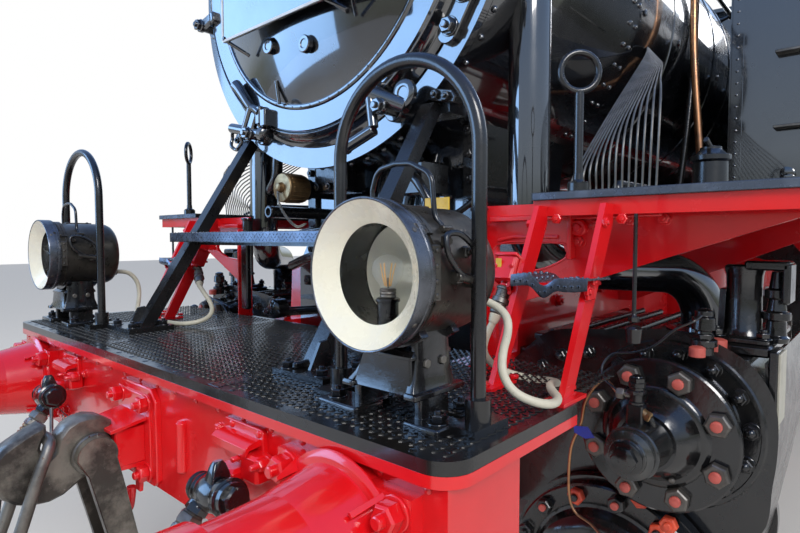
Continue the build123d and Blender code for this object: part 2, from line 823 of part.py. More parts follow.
cylinder_covers.part.label = "cylinder_covers"
export_step(cylinder_covers.part, "parts/cylinder_covers.step")


def crosshead_x(side):
    """The crosshead pin's place with the driven axle's crank at rest."""
    pin = crank_point(axle_x["driven"], side)
    return pin[0] + math.sqrt(main_rod_length**2 - (axle_z - pin[1]) ** 2)


# Slide bars, each hung from the back cylinder cover and from a bracket on the frame
slide_bar_z = (axle_z + 112, axle_z + 178)
slide_bar_half_y = 40
slide_bar_back_x = cylinder_back_x - 1375
slide_bar_front_x = cylinder_back_x - cylinder_cover_thickness - 2 * seat_gap
bracket_x = (slide_bar_back_x + 5, slide_bar_back_x + 35)
bracket_outer_y = 1230
bracket_bottom_z = 960

with BuildPart() as slide_bars:
    with Locations(
        (
            (slide_bar_back_x + slide_bar_front_x) / 2,
            piston_y,
            (slide_bar_z[0] + slide_bar_z[1]) / 2,
        )
    ):
        Box(slide_bar_front_x - slide_bar_back_x, 2 * slide_bar_half_y, slide_bar_z[1] - slide_bar_z[0])
    with Locations(((bracket_x[0] + bracket_x[1]) / 2, piston_y, (slide_bar_z[1] + bracket_bottom_z) / 2)):
        Box(60, 2 * slide_bar_half_y, bracket_bottom_z - slide_bar_z[1] + 20)
    with BuildSketch(along_x(bracket_x[0])):
        with BuildLine():
            Polyline(
                (block_inner_y, bracket_bottom_z),
                (bracket_outer_y, bracket_bottom_z),
                (bracket_outer_y, valance_bottom_z - 150),
                (bracket_outer_y - 120, valance_bottom_z - seat_gap),
                (block_inner_y, valance_bottom_z - seat_gap),
                close=True,
            )
        make_face()
        with Locations(((block_inner_y + bracket_outer_y) / 2 - 20, 1390)):
            SlotOverall(380, 240, mode=Mode.SUBTRACT)
        # The radius rod passes through here
        with Locations((valve_y, valve_z + 10)):
            Rectangle(100, 180, mode=Mode.SUBTRACT)
    extrude(amount=bracket_x[1] - bracket_x[0])
    mirror(about=Plane.XZ)
slide_bars.part.label = "slide_bars"
export_step(slide_bars.part, "parts/slide_bars.step")

# Crossheads with their piston rods, which end at the back covers' glands
with BuildPart() as crossheads:
    for side in sides.values():
        x = crosshead_x(side)
        with BuildSketch(slab_plane(side, piston_y + 62, piston_y - 44)):
            with BuildLine():
                Polyline(
                    (x - 150, slide_bar_z[0] - 1),
                    (x - 150, axle_z + 40),
                    (x - 80, axle_z - 95),
                    (x + 80, axle_z - 95),
                    (x + 150, axle_z - 45),
                    (x + 150, slide_bar_z[1] + 32),
                    (x - 150, slide_bar_z[1] + 32),
                    close=True,
                )
            make_face()
        extrude(amount=106)
        with Locations((x, side * piston_y, (slide_bar_z[0] + slide_bar_z[1]) / 2)):
            Box(
                302,
                2 * slide_bar_half_y + 1,
                slide_bar_z[1] - slide_bar_z[0] + 1,
                mode=Mode.SUBTRACT,
            )
        with Locations((x - 50, side * piston_y, axle_z)):
            Box(280, main_rod_thickness + 2, 240, mode=Mode.SUBTRACT)
        with BuildSketch(slab_plane(side, piston_y + 62, piston_y - 44)):
            with Locations((x, axle_z)):
                Circle(40)
        extrude(amount=106)
        with Locations(Plane(origin=(x + 95, side * piston_y, axle_z), z_dir=(1, 0, 0))):
            Cylinder(
                piston_rod_r,
                cylinder_back_x - 95 - x,
                align=on_base,
            )
crossheads.part.label = "crossheads"
export_step(crossheads.part, "parts/crossheads.step")

# Main rods, with the big-end pin that the return crank turns with, clear of the driven wheel's crankpin
big_end_pin_inner_y = pin_end_y + collar_thickness + 6
return_crank_y = (1045, 1085)
eccentric_throw = 165

with BuildPart() as main_rods:
    for side in sides.values():
        x = crosshead_x(side)
        small_end = (x, axle_z)
        big_end = crank_point(axle_x["driven"], side)
        angle = math.degrees(math.atan2(small_end[1] - big_end[1], small_end[0] - big_end[0]))
        middle = ((small_end[0] + big_end[0]) / 2, (small_end[1] + big_end[1]) / 2)
        rod_half = main_rod_thickness / 2
        with BuildSketch(slab_plane(side, piston_y + rod_half, piston_y - rod_half)):
            with Locations(middle):
                Rectangle(main_rod_length - 100, 118, rotation=angle)
            with Locations(small_end):
                Circle(78)
            with Locations(big_end):
                Rectangle(290, 270, rotation=angle)
            with Locations(small_end):
                Circle(40 + seat_gap, mode=Mode.SUBTRACT)
        extrude(amount=main_rod_thickness)
        flute_outer_y = piston_y + main_rod_thickness / 2
        with BuildSketch(slab_plane(side, flute_outer_y, flute_outer_y - 14)):
            with Locations(middle):
                SlotOverall(main_rod_length - 620, 66, rotation=angle)
        extrude(amount=14, mode=Mode.SUBTRACT)
        with BuildSketch(slab_plane(side, return_crank_y[0] - seat_gap, big_end_pin_inner_y)):
            with Locations(big_end):
                Circle(crankpin_r + 8)
        extrude(amount=return_crank_y[0] - seat_gap - big_end_pin_inner_y)
main_rods.part.label = "main_rods"
export_step(main_rods.part, "parts/main_rods.step")

# Valve gear: return crank, eccentric rod, expansion link, radius rod, combination lever and union link
link_x = bracket_x[0] - 85
link_half_height = 240
lever_x = cylinder_back_x - 385
gear_y = (valve_y - 20, valve_y + 20)
valve_rod_r = 20

with BuildPart() as valve_gear:
    for side in sides.values():
        big_end = crank_point(axle_x["driven"], side)
        turn = math.radians(crank_deg[side] + 90)
        eccentric = (
            axle_x["driven"] + eccentric_throw * math.cos(turn),
            axle_z + eccentric_throw * math.sin(turn),
        )
        with BuildSketch(slab_plane(side, return_crank_y[1], return_crank_y[0])):
            with Locations(big_end):
                Circle(80)
            with Locations(eccentric):
                Circle(50)
            make_hull()
        extrude(amount=return_crank_y[1] - return_crank_y[0])
        with BuildSketch(slab_plane(side, gear_y[1] - 10, return_crank_y[1] - 1)):
            with Locations(eccentric):
                Circle(28)
        extrude(amount=gear_y[1] - 10 - return_crank_y[1] + 1)
        tail = (link_x, valve_z - link_half_height - 60)
        rod_angle = math.degrees(math.atan2(tail[1] - eccentric[1], tail[0] - eccentric[0]))
        rod_length = math.dist(tail, eccentric)
        with BuildSketch(slab_plane(side, gear_y[1], gear_y[0])):
            with Locations(((tail[0] + eccentric[0]) / 2, (tail[1] + eccentric[1]) / 2)):
                Rectangle(rod_length, 62, rotation=rod_angle)
            with Locations(tail, eccentric):
                Circle(52)
        extrude(amount=gear_y[1] - gear_y[0])
        with BuildSketch(slab_plane(side, gear_y[1] + 22, gear_y[0] - 22)):
            with Locations((link_x, valve_z)):
                Rectangle(110, 2 * link_half_height + 120)
            with Locations((link_x, valve_z)):
                Rectangle(44, 2 * link_half_height, mode=Mode.SUBTRACT)
        extrude(amount=gear_y[1] - gear_y[0] + 44)
        with BuildSketch(slab_plane(side, bracket_outer_y - 40, valve_y - 90)):
            with Locations((link_x, valve_z)):
                Circle(30)
        extrude(amount=bracket_outer_y - 40 - valve_y + 90)
        with Locations(((link_x + bracket_x[0] - seat_gap) / 2, side * (valve_y - 80), valve_z)):
            Box(bracket_x[0] - seat_gap - link_x, 24, 120)
        with BuildSketch(slab_plane(side, valve_y + 14, valve_y - 14)):
            with BuildLine():
                Polyline(
                    (link_x - 20, valve_z + 25),
                    (link_x - 20, valve_z - 25),
                    (lever_x + 20, valve_z + 60),
                    (lever_x + 20, valve_z + 110),
                    close=True,
                )
            make_face()
        extrude(amount=28)
        with BuildSketch(slab_plane(side, valve_y + 22, valve_y - 22)):
            with BuildLine():
                Polyline(
                    (lever_x - 32, valve_z + 125),
                    (lever_x - 22, 420),
                    (lever_x + 22, 420),
                    (lever_x + 32, valve_z + 125),
                    close=True,
                )
            make_face()
        extrude(amount=44)
        arm_x = crosshead_x(side) + 100
        with BuildSketch(slab_plane(side, valve_y + 12, valve_y - 12)):
            with Locations(((arm_x + lever_x) / 2, 445)):
                SlotCenterToCenter(lever_x - arm_x, 50)
        extrude(amount=24)
        with Locations((arm_x, side * (piston_y + 62 + valve_y + 12) / 2, 478)):
            Box(60, valve_y + 12 - piston_y - 62 - 2 * seat_gap, 115)
        with Locations(Plane(origin=(lever_x, side * valve_y, valve_z), z_dir=(1, 0, 0))):
            Cylinder(
                valve_rod_r,
                valve_back_x - 40 - lever_x,
                align=on_base,
            )
valve_gear.part.label = "valve_gear"
export_step(valve_gear.part, "parts/valve_gear.step")

# Side tanks on the running boards, each with a filler well under its lid
tank_bottom_z = board_top_z + seat_gap
tank_back_x = cab_front_x + seat_gap
filler_x = 900
filler_y = 1260
filler_size = (420, 300)
filler_wall = 16
filler_height = 60
well_depth = 260

with BuildPart() as side_tanks:
    with Locations(
        (
            (tank_front_x + tank_back_x) / 2,
            (tank_inner_y + board_outer_y) / 2,
            (tank_bottom_z + tank_top_z) / 2,
        )
    ):
        Box(tank_front_x - tank_back_x, board_outer_y - tank_inner_y, tank_top_z - tank_bottom_z)
    fillet(side_tanks.edges().filter_by(Axis.X).group_by(Axis.Z)[-1], radius=40)
    with Locations((filler_x, filler_y, tank_top_z + filler_height / 2)):
        Box(*filler_size, filler_height)
    with Locations((filler_x, filler_y, tank_top_z + filler_height - (well_depth + filler_height) / 2)):
        Box(
            filler_size[0] - 2 * filler_wall,
            filler_size[1] - 2 * filler_wall,
            well_depth + filler_height,
            mode=Mode.SUBTRACT,
        )
    # Hinge ears beside the filler, with a pin through the lid's knuckles
    lid_hinge_y = filler_y - filler_size[1] / 2 - 26
    lid_hinge_z = tank_top_z + filler_height + 10
    for x in (filler_x - 190, filler_x + 190):
        with Locations((x, lid_hinge_y, tank_top_z + 40)):
            Box(16, 28, 82)
    with Locations(Plane(origin=(filler_x, lid_hinge_y, lid_hinge_z), z_dir=(1, 0, 0))):
        Cylinder(7, 390)
    mirror(about=Plane.XZ)
side_tanks.part.label = "side_tanks"
export_step(side_tanks.part, "parts/side_tanks.step")

lid_thickness = 14
lid_bottom_z = tank_top_z + filler_height + 1
lid_knuckle_r = 15

with BuildPart() as tank_lid_left:
    with Locations((filler_x, filler_y + 6, lid_bottom_z + lid_thickness / 2)):
        Box(filler_size[0] + 30, filler_size[1] + 20, lid_thickness)
    for x in (filler_x - 120, filler_x + 120):
        with Locations((x, lid_hinge_y + 22, lid_hinge_z)):
            Box(70, 44, 12)
        with Locations(Plane(origin=(x, lid_hinge_y, lid_hinge_z), z_dir=(1, 0, 0))):
            Cylinder(lid_knuckle_r, 90)
            Cylinder(7 + pin_gap, 92, mode=Mode.SUBTRACT)
    with Locations((filler_x, filler_y + filler_size[1] / 2 + 30, lid_bottom_z + 22)):
        Box(120, 16, 16)
    for x in (filler_x - 52, filler_x + 52):
        with Locations((x, filler_y + filler_size[1] / 2 + 18, lid_bottom_z + 16)):
            Box(16, 32, 20)
tank_lid_left.part.label = "tank_lid_left"
export_step(tank_lid_left.part, "parts/tank_lid_left.step")

with BuildPart() as tank_lid_right:
    add(tank_lid_left.part)
    mirror(about=Plane.XZ, mode=Mode.REPLACE)
tank_lid_right.part.label = "tank_lid_right"
export_step(tank_lid_right.part, "parts/tank_lid_right.step")

# Running boards: dark plates that rest on red valances and brackets
front_board_outer_y = {1: board_outer_y, -1: 1265}

with BuildPart() as running_boards:
    for side in sides.values():
        outer = front_board_outer_y[side]
        with BuildSketch(Plane.XY.offset(board_top_z - board_thickness)):
            with Locations(((board_front_x + tank_front_x) / 2, side * (board_inner_y + outer) / 2)):
                Rectangle(board_front_x - tank_front_x, outer - board_inner_y)
            with Locations(
                ((tank_front_x + cab_front_x + seat_gap) / 2, side * (frame_outer_y + board_outer_y) / 2)
            ):
                Rectangle(tank_front_x - cab_front_x - seat_gap, board_outer_y - frame_outer_y)
        extrude(amount=board_thickness)
running_boards.part.label = "running_boards"
export_step(running_boards.part, "parts/running_boards.step")

valance_thickness = 14
valance_inset = 8
valance_top_z = board_top_z - board_thickness - seat_gap
valance_height = valance_top_z - valance_bottom_z
valance_middle_z = (valance_bottom_z + valance_top_z) / 2
valance_front_x = board_front_x - 12
board_bracket_bottom_z = 1330
bracket_plate = 14
# Brackets from the frame out under the boards: their x places
bracket_places = [2250, 700, -400, -1500]
# The front bracket's plate, with a leg down the frame's outer face: y and z on the left
front_bracket_x = 3420
front_bracket_leg = (60, 1150)
front_bracket_corner_z = 1400
front_bracket_window = [(702, 1516), (702, 1600), (912, 1604), (926, 1572), (904, 1552), (838, 1527)]
window_corner_r = 9

with BuildPart() as valances:
    for side in sides.values():
        outer = front_board_outer_y[side] - valance_inset
        front_middle_x = (valance_front_x + tank_front_x) / 2
        tank_valance_y = side * (board_outer_y - valance_inset - valance_thickness / 2)
        front_valance_y = side * (outer - valance_thickness / 2)
        with Locations(((tank_front_x + cab_front_x) / 2, tank_valance_y, valance_middle_z)):
            Box(tank_front_x - cab_front_x, valance_thickness, valance_height)
        for y in (front_valance_y, side * (board_inner_y + 15)):
            with Locations((front_middle_x, y, valance_middle_z)):
                Box(valance_front_x - tank_front_x, valance_thickness, valance_height)
        end_y = side * (board_inner_y + outer) / 2
        with Locations((valance_front_x - valance_thickness / 2, end_y, valance_middle_z)):
            Box(valance_thickness, outer - board_inner_y, valance_height)
        with BuildSketch(along_x(front_bracket_x)):
            with BuildLine():
                leg_width, leg_bottom_z = front_bracket_leg
                Polyline(
                    (side * block_inner_y, leg_bottom_z),
                    (side * block_inner_y, valance_top_z),
                    (side * outer, valance_top_z),
                    (side * outer, valance_bottom_z),
                    (side * (block_inner_y + leg_width), front_bracket_corner_z),
                    (side * (block_inner_y + leg_width), leg_bottom_z),
                    close=True,
                )
            make_face()
            with BuildLine() as window_line:
                Polyline(*[(side * y, z) for y, z in front_bracket_window], close=True)
                fillet(window_line.vertices(), radius=window_corner_r)
            make_face(mode=Mode.SUBTRACT)
        extrude(amount=bracket_plate)
        for x in bracket_places:
            edge = outer if x > tank_front_x else board_outer_y - valance_inset
            with BuildSketch(along_x(x)):
                with BuildLine():
                    Polyline(
                        (side * block_inner_y, board_bracket_bottom_z),
                        (side * block_inner_y, valance_top_z),
                        (side * edge, valance_top_z),
                        (side * edge, valance_bottom_z),
                        (side * (block_inner_y + 60), board_bracket_bottom_z),
                        close=True,
                    )
                make_face()
                with BuildLine():
                    Polyline(
                        (side * (block_inner_y + 60), 1600),
                        (side * (block_inner_y + 60), 1460),
                        (side * (block_inner_y + 300), 1600),
                        close=True,
                    )
                make_face(mode=Mode.SUBTRACT)
            extrude(amount=bracket_plate)
valances.part.label = "valances"
export_step(valances.part, "parts/valances.step")

# Cab: front wall, side walls, rear wall, floor and roof
wall_outer_y = board_outer_y
wall_inner_y = board_outer_y - cab_wall
roof_rise = roof_top_z - eaves_z
roof_r = (roof_half_width**2 + roof_rise**2) / (2 * roof_rise)
roof_centre_z = roof_top_z - roof_r
cab_bottom_z = board_top_z - board_thickness - 60
under_roof_r = roof_r - roof_thickness - seat_gap
window_height = 300
window_middle_z = 3280
coal_hatch_z = 2150
coal_hatch = (600, 560)

with BuildPart() as cab_end_walls:
    with BuildSketch(along_x(cab_front_x - cab_wall)):
        with Locations((0, (cab_bottom_z + roof_top_z) / 2)):
            Rectangle(2 * (wall_inner_y - seat_gap), roof_top_z - cab_bottom_z)
        with Locations((0, roof_centre_z)):
            Circle(under_roof_r, mode=Mode.INTERSECT)
        with Locations((0, boiler_z)):
            Circle(boiler_r + seat_gap, mode=Mode.SUBTRACT)
        with Locations((0, (cab_bottom_z + boiler_z) / 2 - 1)):
            Rectangle(2 * (firebox_half_y + seat_gap), boiler_z - cab_bottom_z, mode=Mode.SUBTRACT)
        with Locations((-1120, window_middle_z), (1120, window_middle_z)):
            RectangleRounded(380, window_height, 60, mode=Mode.SUBTRACT)
    extrude(amount=cab_wall)
    with BuildSketch(along_x(cab_back_x)):
        with Locations((0, (cab_bottom_z + roof_top_z) / 2)):
            Rectangle(2 * (wall_inner_y - seat_gap), roof_top_z - cab_bottom_z)
        with Locations((0, roof_centre_z)):
            Circle(under_roof_r, mode=Mode.INTERSECT)
        with Locations((-760, window_middle_z), (760, window_middle_z)):
            RectangleRounded(460, window_height, 60, mode=Mode.SUBTRACT)
        with Locations((0, coal_hatch_z)):
            Rectangle(*coal_hatch, mode=Mode.SUBTRACT)
    extrude(amount=cab_wall)
cab_end_walls.part.label = "cab_end_walls"
export_step(cab_end_walls.part, "parts/cab_end_walls.step")

door_opening_top_z = 3400
door_hinge_y_cab = wall_inner_y - 16
cab_hinge_x = door_opening_x[0]
cab_hinge_pin_r = 8
cab_knuckle_r = 14
cab_knuckle_height = 60
# Heights of the cab doors' hinges above the door's lower edge
cab_hinge_heights = [180, 950]
# Side windows: middle x, width, bottom z, height
side_windows = [
    (-1960, 360, 2700, 620),
    (-3050, 240, 2700, 620),
]

with BuildPart() as cab_sides:
    with BuildSketch(slab_plane(1, wall_outer_y, wall_inner_y)):
        with Locations(((cab_front_x + cab_back_x) / 2, (cab_bottom_z + eaves_z + 30) / 2)):
            Rectangle(cab_front_x - cab_back_x, eaves_z + 30 - cab_bottom_z)
        door_width = door_opening_x[1] - door_opening_x[0]
        door_middle_x = (door_opening_x[0] + door_opening_x[1]) / 2
        with Locations((door_middle_x, (board_top_z + door_opening_top_z) / 2)):
            Rectangle(door_width, door_opening_top_z - board_top_z, mode=Mode.SUBTRACT)
        for x, width, bottom, height in side_windows:
            with Locations((x, bottom + height / 2)):
                Rectangle(width, height, mode=Mode.SUBTRACT)
    extrude(amount=cab_wall)
    with BuildSketch(along_x(cab_back_x - 10)):
        with Locations((0, roof_centre_z)):
            Circle(under_roof_r + 600)
            Circle(under_roof_r, mode=Mode.SUBTRACT)
    extrude(amount=cab_front_x - cab_back_x + 20, mode=Mode.SUBTRACT)
    for height in cab_hinge_heights:
        z = door_bottom_z + height
        with Locations((cab_hinge_x, door_hinge_y_cab, z)):
            Cylinder(cab_hinge_pin_r, cab_knuckle_height + 44)
        for end in (-1, 1):
            with Locations((cab_hinge_x, door_hinge_y_cab, z + end * (cab_knuckle_height / 2 + 12))):
                with Locations((-20, 2, 0)):
                    Box(64, 28, 20)
                with Locations((-28, 4, 0)):
                    Box(48, 32, 20)
    mirror(about=Plane.XZ)
cab_sides.part.label = "cab_sides"
export_step(cab_sides.part, "parts/cab_sides.step")

leaf_x = (door_opening_x[0] + door_gap, door_opening_x[1] - door_gap)
leaf_outer_y = wall_outer_y - 2
with BuildPart() as cab_door_left:
    with Locations(
        (
            (leaf_x[0] + leaf_x[1]) / 2,
            leaf_outer_y - cab_door_thickness / 2,
            door_bottom_z + door_leaf_height / 2,
        )
    ):
        Box(leaf_x[1] - leaf_x[0], cab_door_thickness, door_leaf_height)
    for height in cab_hinge_heights:
        with Locations((leaf_x[0] + 42, door_hinge_y_cab + 13, door_bottom_z + height)):
            Box(92, 12, cab_knuckle_height - 10)
        with Locations((cab_hinge_x, door_hinge_y_cab, door_bottom_z + height)):
            Cylinder(cab_knuckle_r, cab_knuckle_height)
            Cylinder(cab_hinge_pin_r + pin_gap, cab_knuckle_height + 2, mode=Mode.SUBTRACT)
    with Locations((leaf_x[1] - 80, leaf_outer_y - cab_door_thickness - 20, door_bottom_z + 900)):
        Box(120, 14, 14)
    with Locations((leaf_x[1] - 130, leaf_outer_y - cab_door_thickness - 10, door_bottom_z + 900)):
        Box(20, 24, 14)
cab_door_left.part.label = "cab_door_left"
export_step(cab_door_left.part, "parts/cab_door_left.step")

with BuildPart() as cab_door_right:
    add(cab_door_left.part)
    mirror(about=Plane.XZ, mode=Mode.REPLACE)
cab_door_right.part.label = "cab_door_right"
export_step(cab_door_right.part, "parts/cab_door_right.step")

cab_floor_thickness = 50
cab_floor_bottom_z = board_top_z - cab_floor_thickness
cab_post_places = [-2150, -3150]
with BuildPart() as cab_floor:
    with Locations(
        (
            (cab_front_x + cab_back_x) / 2,
            0,
            board_top_z - cab_floor_thickness / 2,
        )
    ):
        Box(cab_front_x - cab_back_x - 2 * cab_wall - 1, 2 * (wall_inner_y - seat_gap), cab_floor_thickness)
    for x in cab_post_places:
        for y in (-1, 1):
            with Locations((x, y * (frame_plate_inner_y + 40), frame_top_z + seat_gap)):
                Box(
                    120,
                    frame_plate_thickness,
                    cab_floor_bottom_z + 1 - frame_top_z - seat_gap,
                    align=on_base,
                )
cab_floor.part.label = "cab_floor"
export_step(cab_floor.part, "parts/cab_floor.step")

with BuildPart() as cab_roof:
    with BuildSketch(along_x(cab_back_x - 120)):
        with Locations((0, roof_centre_z)):
            Circle(roof_r)
            Circle(roof_r - roof_thickness, mode=Mode.SUBTRACT)
        with Locations((0, roof_top_z)):
            Rectangle(2 * roof_half_width, 2 * (roof_rise + 40), mode=Mode.INTERSECT)
    extrude(amount=cab_front_x - cab_back_x + 240)
    with Locations(((cab_front_x + cab_back_x) / 2, 0, roof_top_z + 12)):
        Box(760, 640, 60)
    with BuildSketch(along_x(cab_back_x)):
        with Locations((0, roof_centre_z)):
            Circle(roof_r - roof_thickness)
    extrude(amount=cab_front_x - cab_back_x, mode=Mode.SUBTRACT)
cab_roof.part.label = "cab_roof"
export_step(cab_roof.part, "parts/cab_roof.step")

# Backhead fittings in the cab: fire door, regulator, gauges and the reversing screw on its stand
backhead_x = boiler_back_x
with BuildPart() as backhead_fittings:
    with Locations((backhead_x - 20, 0, 2200)):
        Box(39, 440, 340)
    with Locations((backhead_x - 30, 0, 2980)):
        Box(60, 90, 90)
    with Locations((backhead_x - 70, 120, 2990)):
        Box(24, 460, 34)
    with Locations((backhead_x - 55, 0, 2985)):
        Box(60, 40, 40)
    for y in (-330, 330):
        with Locations((backhead_x - 24, y, 2760)):
            Box(48, 36, 380)
    with Locations(Plane(origin=(backhead_x, -150, 3250), z_dir=(-1, 0, 0))):
        Cylinder(75, 50, align=on_base)
    with Locations(Plane(origin=(backhead_x, 150, 3250), z_dir=(-1, 0, 0))):
        Cylinder(75, 50, align=on_base)
    with BuildSketch(along_x(backhead_x - 30)):
        with Locations((0, boiler_z)):
            Circle(boiler_r - 20)
        with Locations((0, (board_top_z + 60 + 2450) / 2)):
            Rectangle(1000, 2450 - board_top_z - 60)
    extrude(amount=30 - seat_gap)
backhead_fittings.part.label = "backhead_fittings"
export_step(backhead_fittings.part, "parts/backhead_fittings.step")

# Coal bunker: an open bin behind the cab
bunker_wall = 20
bunker_bottom_z = frame_top_z + seat_gap
bunker_top_z = tank_top_z
bunker_front_x = cab_back_x - seat_gap
with BuildPart() as coal_bunker:
    with BuildSketch(Plane.XZ.offset(-bunker_half_width)):
        with BuildLine():
            Polyline(
                (bunker_front_x, bunker_bottom_z),
                (bunker_front_x, bunker_top_z),
                (bunker_back_x + 140, bunker_top_z),
                (bunker_back_x, bunker_top_z - 380),
                (bunker_back_x, bunker_bottom_z),
                close=True,
            )
        make_face()
    extrude(amount=2 * bunker_half_width)
    with BuildSketch(Plane.XZ.offset(-bunker_half_width + bunker_wall)):
        with BuildLine():
            Polyline(
                (bunker_front_x - bunker_wall, 1850),
                (bunker_front_x - bunker_wall, bunker_top_z + 10),
                (bunker_back_x + 140 + bunker_wall, bunker_top_z + 10),
                (bunker_back_x + bunker_wall, bunker_top_z - 384),
                (bunker_back_x + bunker_wall, 2250),
                close=True,
            )
        make_face()
    extrude(amount=2 * (bunker_half_width - bunker_wall), mode=Mode.SUBTRACT)
    with Locations((bunker_front_x - bunker_wall / 2, 0, coal_hatch_z)):
        Box(bunker_wall + 10, *coal_hatch, mode=Mode.SUBTRACT)
coal_bunker.part.label = "coal_bunker"
export_step(coal_bunker.part, "parts/coal_bunker.step")

# Axleboxes in the frame windows, each with a leaf spring hung below it
box_y = (frame_plate_inner_y - 15, frame_outer_y + 15)
spring_leaf_count = 6
leaf_thickness = 14
spring_half_length = 440
spring_y = frame_plate_inner_y + frame_plate_thickness / 2
with BuildPart() as axleboxes:
    for x in axle_x.values():
        with Locations((x, (box_y[0] + box_y[1]) / 2, (window_bottom_z + window_top_z) / 2)):
            Box(
                horn_window_width - 2 * seat_gap,
                box_y[1] - box_y[0],
                window_top_z - window_bottom_z - 2 * seat_gap,
            )
        with BuildSketch(slab_plane(1, box_y[1] + 1, box_y[0] - 1)):
            with Locations((x, axle_z)):
                Circle(axle_r + pin_gap)
        extrude(amount=box_y[1] - box_y[0] + 2, mode=Mode.SUBTRACT)
    for x in axle_x.values():
        for leaf in range(spring_leaf_count):
            half = spring_half_length - leaf * 62
            top = horn_foot_z - 30 - leaf * leaf_thickness
            with Locations((x, spring_y, top - leaf_thickness / 2)):
                Box(2 * half, 76, leaf_thickness)
        with Locations((x, spring_y, horn_foot_z - 60)):
            Box(90, 96, 120 - 2 * seat_gap)
        for end in (-1, 1):
            with Locations((x + end * (spring_half_length - 25), spring_y, (380 + frame_bottom_z) / 2)):
                Box(30, 60, frame_bottom_z - 380 - 2 * seat_gap)
    mirror(about=Plane.XZ)
axleboxes.part.label = "axleboxes"
export_step(axleboxes.part, "parts/axleboxes.step")

# Brake gear: a shoe behind each wheel, its hanger from the frame and a beam across
shoe_gap = 8
shoe_r = (tread_r + shoe_gap, tread_r + 60)
shoe_y = (724, 804)
hanger_top_z = 920
with BuildPart() as brake_gear:
    for x in axle_x.values():
        with BuildSketch(slab_plane(1, shoe_y[1], shoe_y[0])):
            with BuildLine():
                CenterArc((x, axle_z), shoe_r[1], 160, 40)
                CenterArc((x, axle_z), shoe_r[0], 160, 40)
                for angle in (160, 200):
                    c = math.cos(math.radians(angle))
                    s = math.sin(math.radians(angle))
                    Line(
                        (x + shoe_r[0] * c, axle_z + shoe_r[0] * s),
                        (x + shoe_r[1] * c, axle_z + shoe_r[1] * s),
                    )
            make_face()
        extrude(amount=shoe_y[1] - shoe_y[0])
        hanger_x = x - shoe_r[1] - 22
        with Locations((hanger_x, 764, (hanger_top_z + 400) / 2)):
            Box(46, 36, hanger_top_z - 400)
        with Locations((hanger_x, (frame_outer_y + 782) / 2 + seat_gap, hanger_top_z - 30)):
            Box(70, 782 - frame_outer_y, 60)
        with Locations((hanger_x + 23, 764, axle_z)):
            Box(60, 60, 120)
    mirror(about=Plane.XZ)
    for x in axle_x.values():
        with Locations((x - shoe_r[1] - 22, 0, 430)):
            Box(60, 1600, 70)
brake_gear.part.label = "brake_gear"
export_step(brake_gear.part, "parts/brake_gear.step")

# Struts of square bar from the platform to the smokebox, and the chequered step plate between them
strut_y = 500
strut_foot_x = 3985
strut_top = (3500, 2040)
strut_width = 52
strut_depth = 44
foot_plate = (166, 195, 18)

foot_top_z = platform_top_z + foot_plate[2]
lean = math.atan2(strut_top[1] - foot_top_z, strut_top[0] - strut_foot_x)
half = strut_depth / 2 / math.sin(lean)
step_top_z = 1640
step_plate_x = (3590, 3850)
step_half_width = 560

with BuildPart() as front_struts:
    with Locations((strut_foot_x, 531, platform_top_z + seat_gap + foot_plate[2] / 2)):
        Box(*foot_plate)
    with BuildSketch(slab_plane(1, strut_y + strut_width / 2, strut_y - strut_width / 2)):
        with BuildLine():
            Polyline(
                (strut_foot_x - half, foot_top_z - 2),
                (strut_foot_x + half, foot_top_z - 2),
                (strut_top[0] + half, strut_top[1]),
                (strut_top[0] - half, strut_top[1]),
                close=True,
            )
        make_face()
    extrude(amount=strut_width)
    with Locations((strut_top[0] - 55, strut_y, strut_top[1] + 30)):
        Box(90, 120, 120)
    with BuildSketch(along_x(smokebox_back_x)):
        with Locations((0, boiler_z)):
            Circle(smokebox_r + seat_gap)
    extrude(amount=smokebox_front_x - smokebox_back_x, mode=Mode.SUBTRACT)
    with BuildSketch(along_x(smokebox_front_x - ring_thickness - seat_gap)):
        with Locations((0, boiler_z)):
            Circle(ring_r + seat_gap)
    extrude(amount=200, mode=Mode.SUBTRACT)
    mirror(about=Plane.XZ)
front_struts.part.label = "front_struts"
export_step(front_struts.part, "parts/front_struts.step")

with BuildPart() as step_plate:
    with Locations(((step_plate_x[0] + step_plate_x[1]) / 2, 0, step_top_z - 4)):
        Box(step_plate_x[1] - step_plate_x[0], 2 * step_half_width, 8)
    with Locations((step_plate_x[1] - 4, 0, step_top_z - 18)):
        Box(8, 2 * step_half_width, 36)
    with Locations(((step_plate_x[0] + step_plate_x[1]) / 2 + 10, 0, step_top_z - 28)):
        Box(60, 2 * step_half_width - 60, 40)
    for y in (-strut_y, strut_y):
        with BuildSketch(Plane.XZ.offset(-y - strut_width / 2 - seat_gap)):
            with BuildLine():
                Polyline(
                    (strut_foot_x - half - 2 * seat_gap, foot_top_z - 2),
                    (strut_foot_x + half + 2 * seat_gap, foot_top_z - 2),
                    (strut_top[0] + half + 2 * seat_gap, strut_top[1]),
                    (strut_top[0] - half - 2 * seat_gap, strut_top[1]),
                    close=True,
                )
            make_face()
        extrude(amount=strut_width + 2 * seat_gap, mode=Mode.SUBTRACT)
step_plate.part.label = "step_plate"
export_step(step_plate.part, "parts/step_plate.step")

# Steps: a ladder on each side from the platform to the running board, and the cab steps below the doors
ladder_y = {1: (919, 1091), -1: (713, 885)}
ladder_foot_x = 3790
ladder_top_z = valance_bottom_z + 25
stile_width = 46
stile_thickness = 14
foot_thickness = 8
ladder_tread_z = 1512
cab_step_heights = [720, 1060, 1400]
cab_step_depth = 170

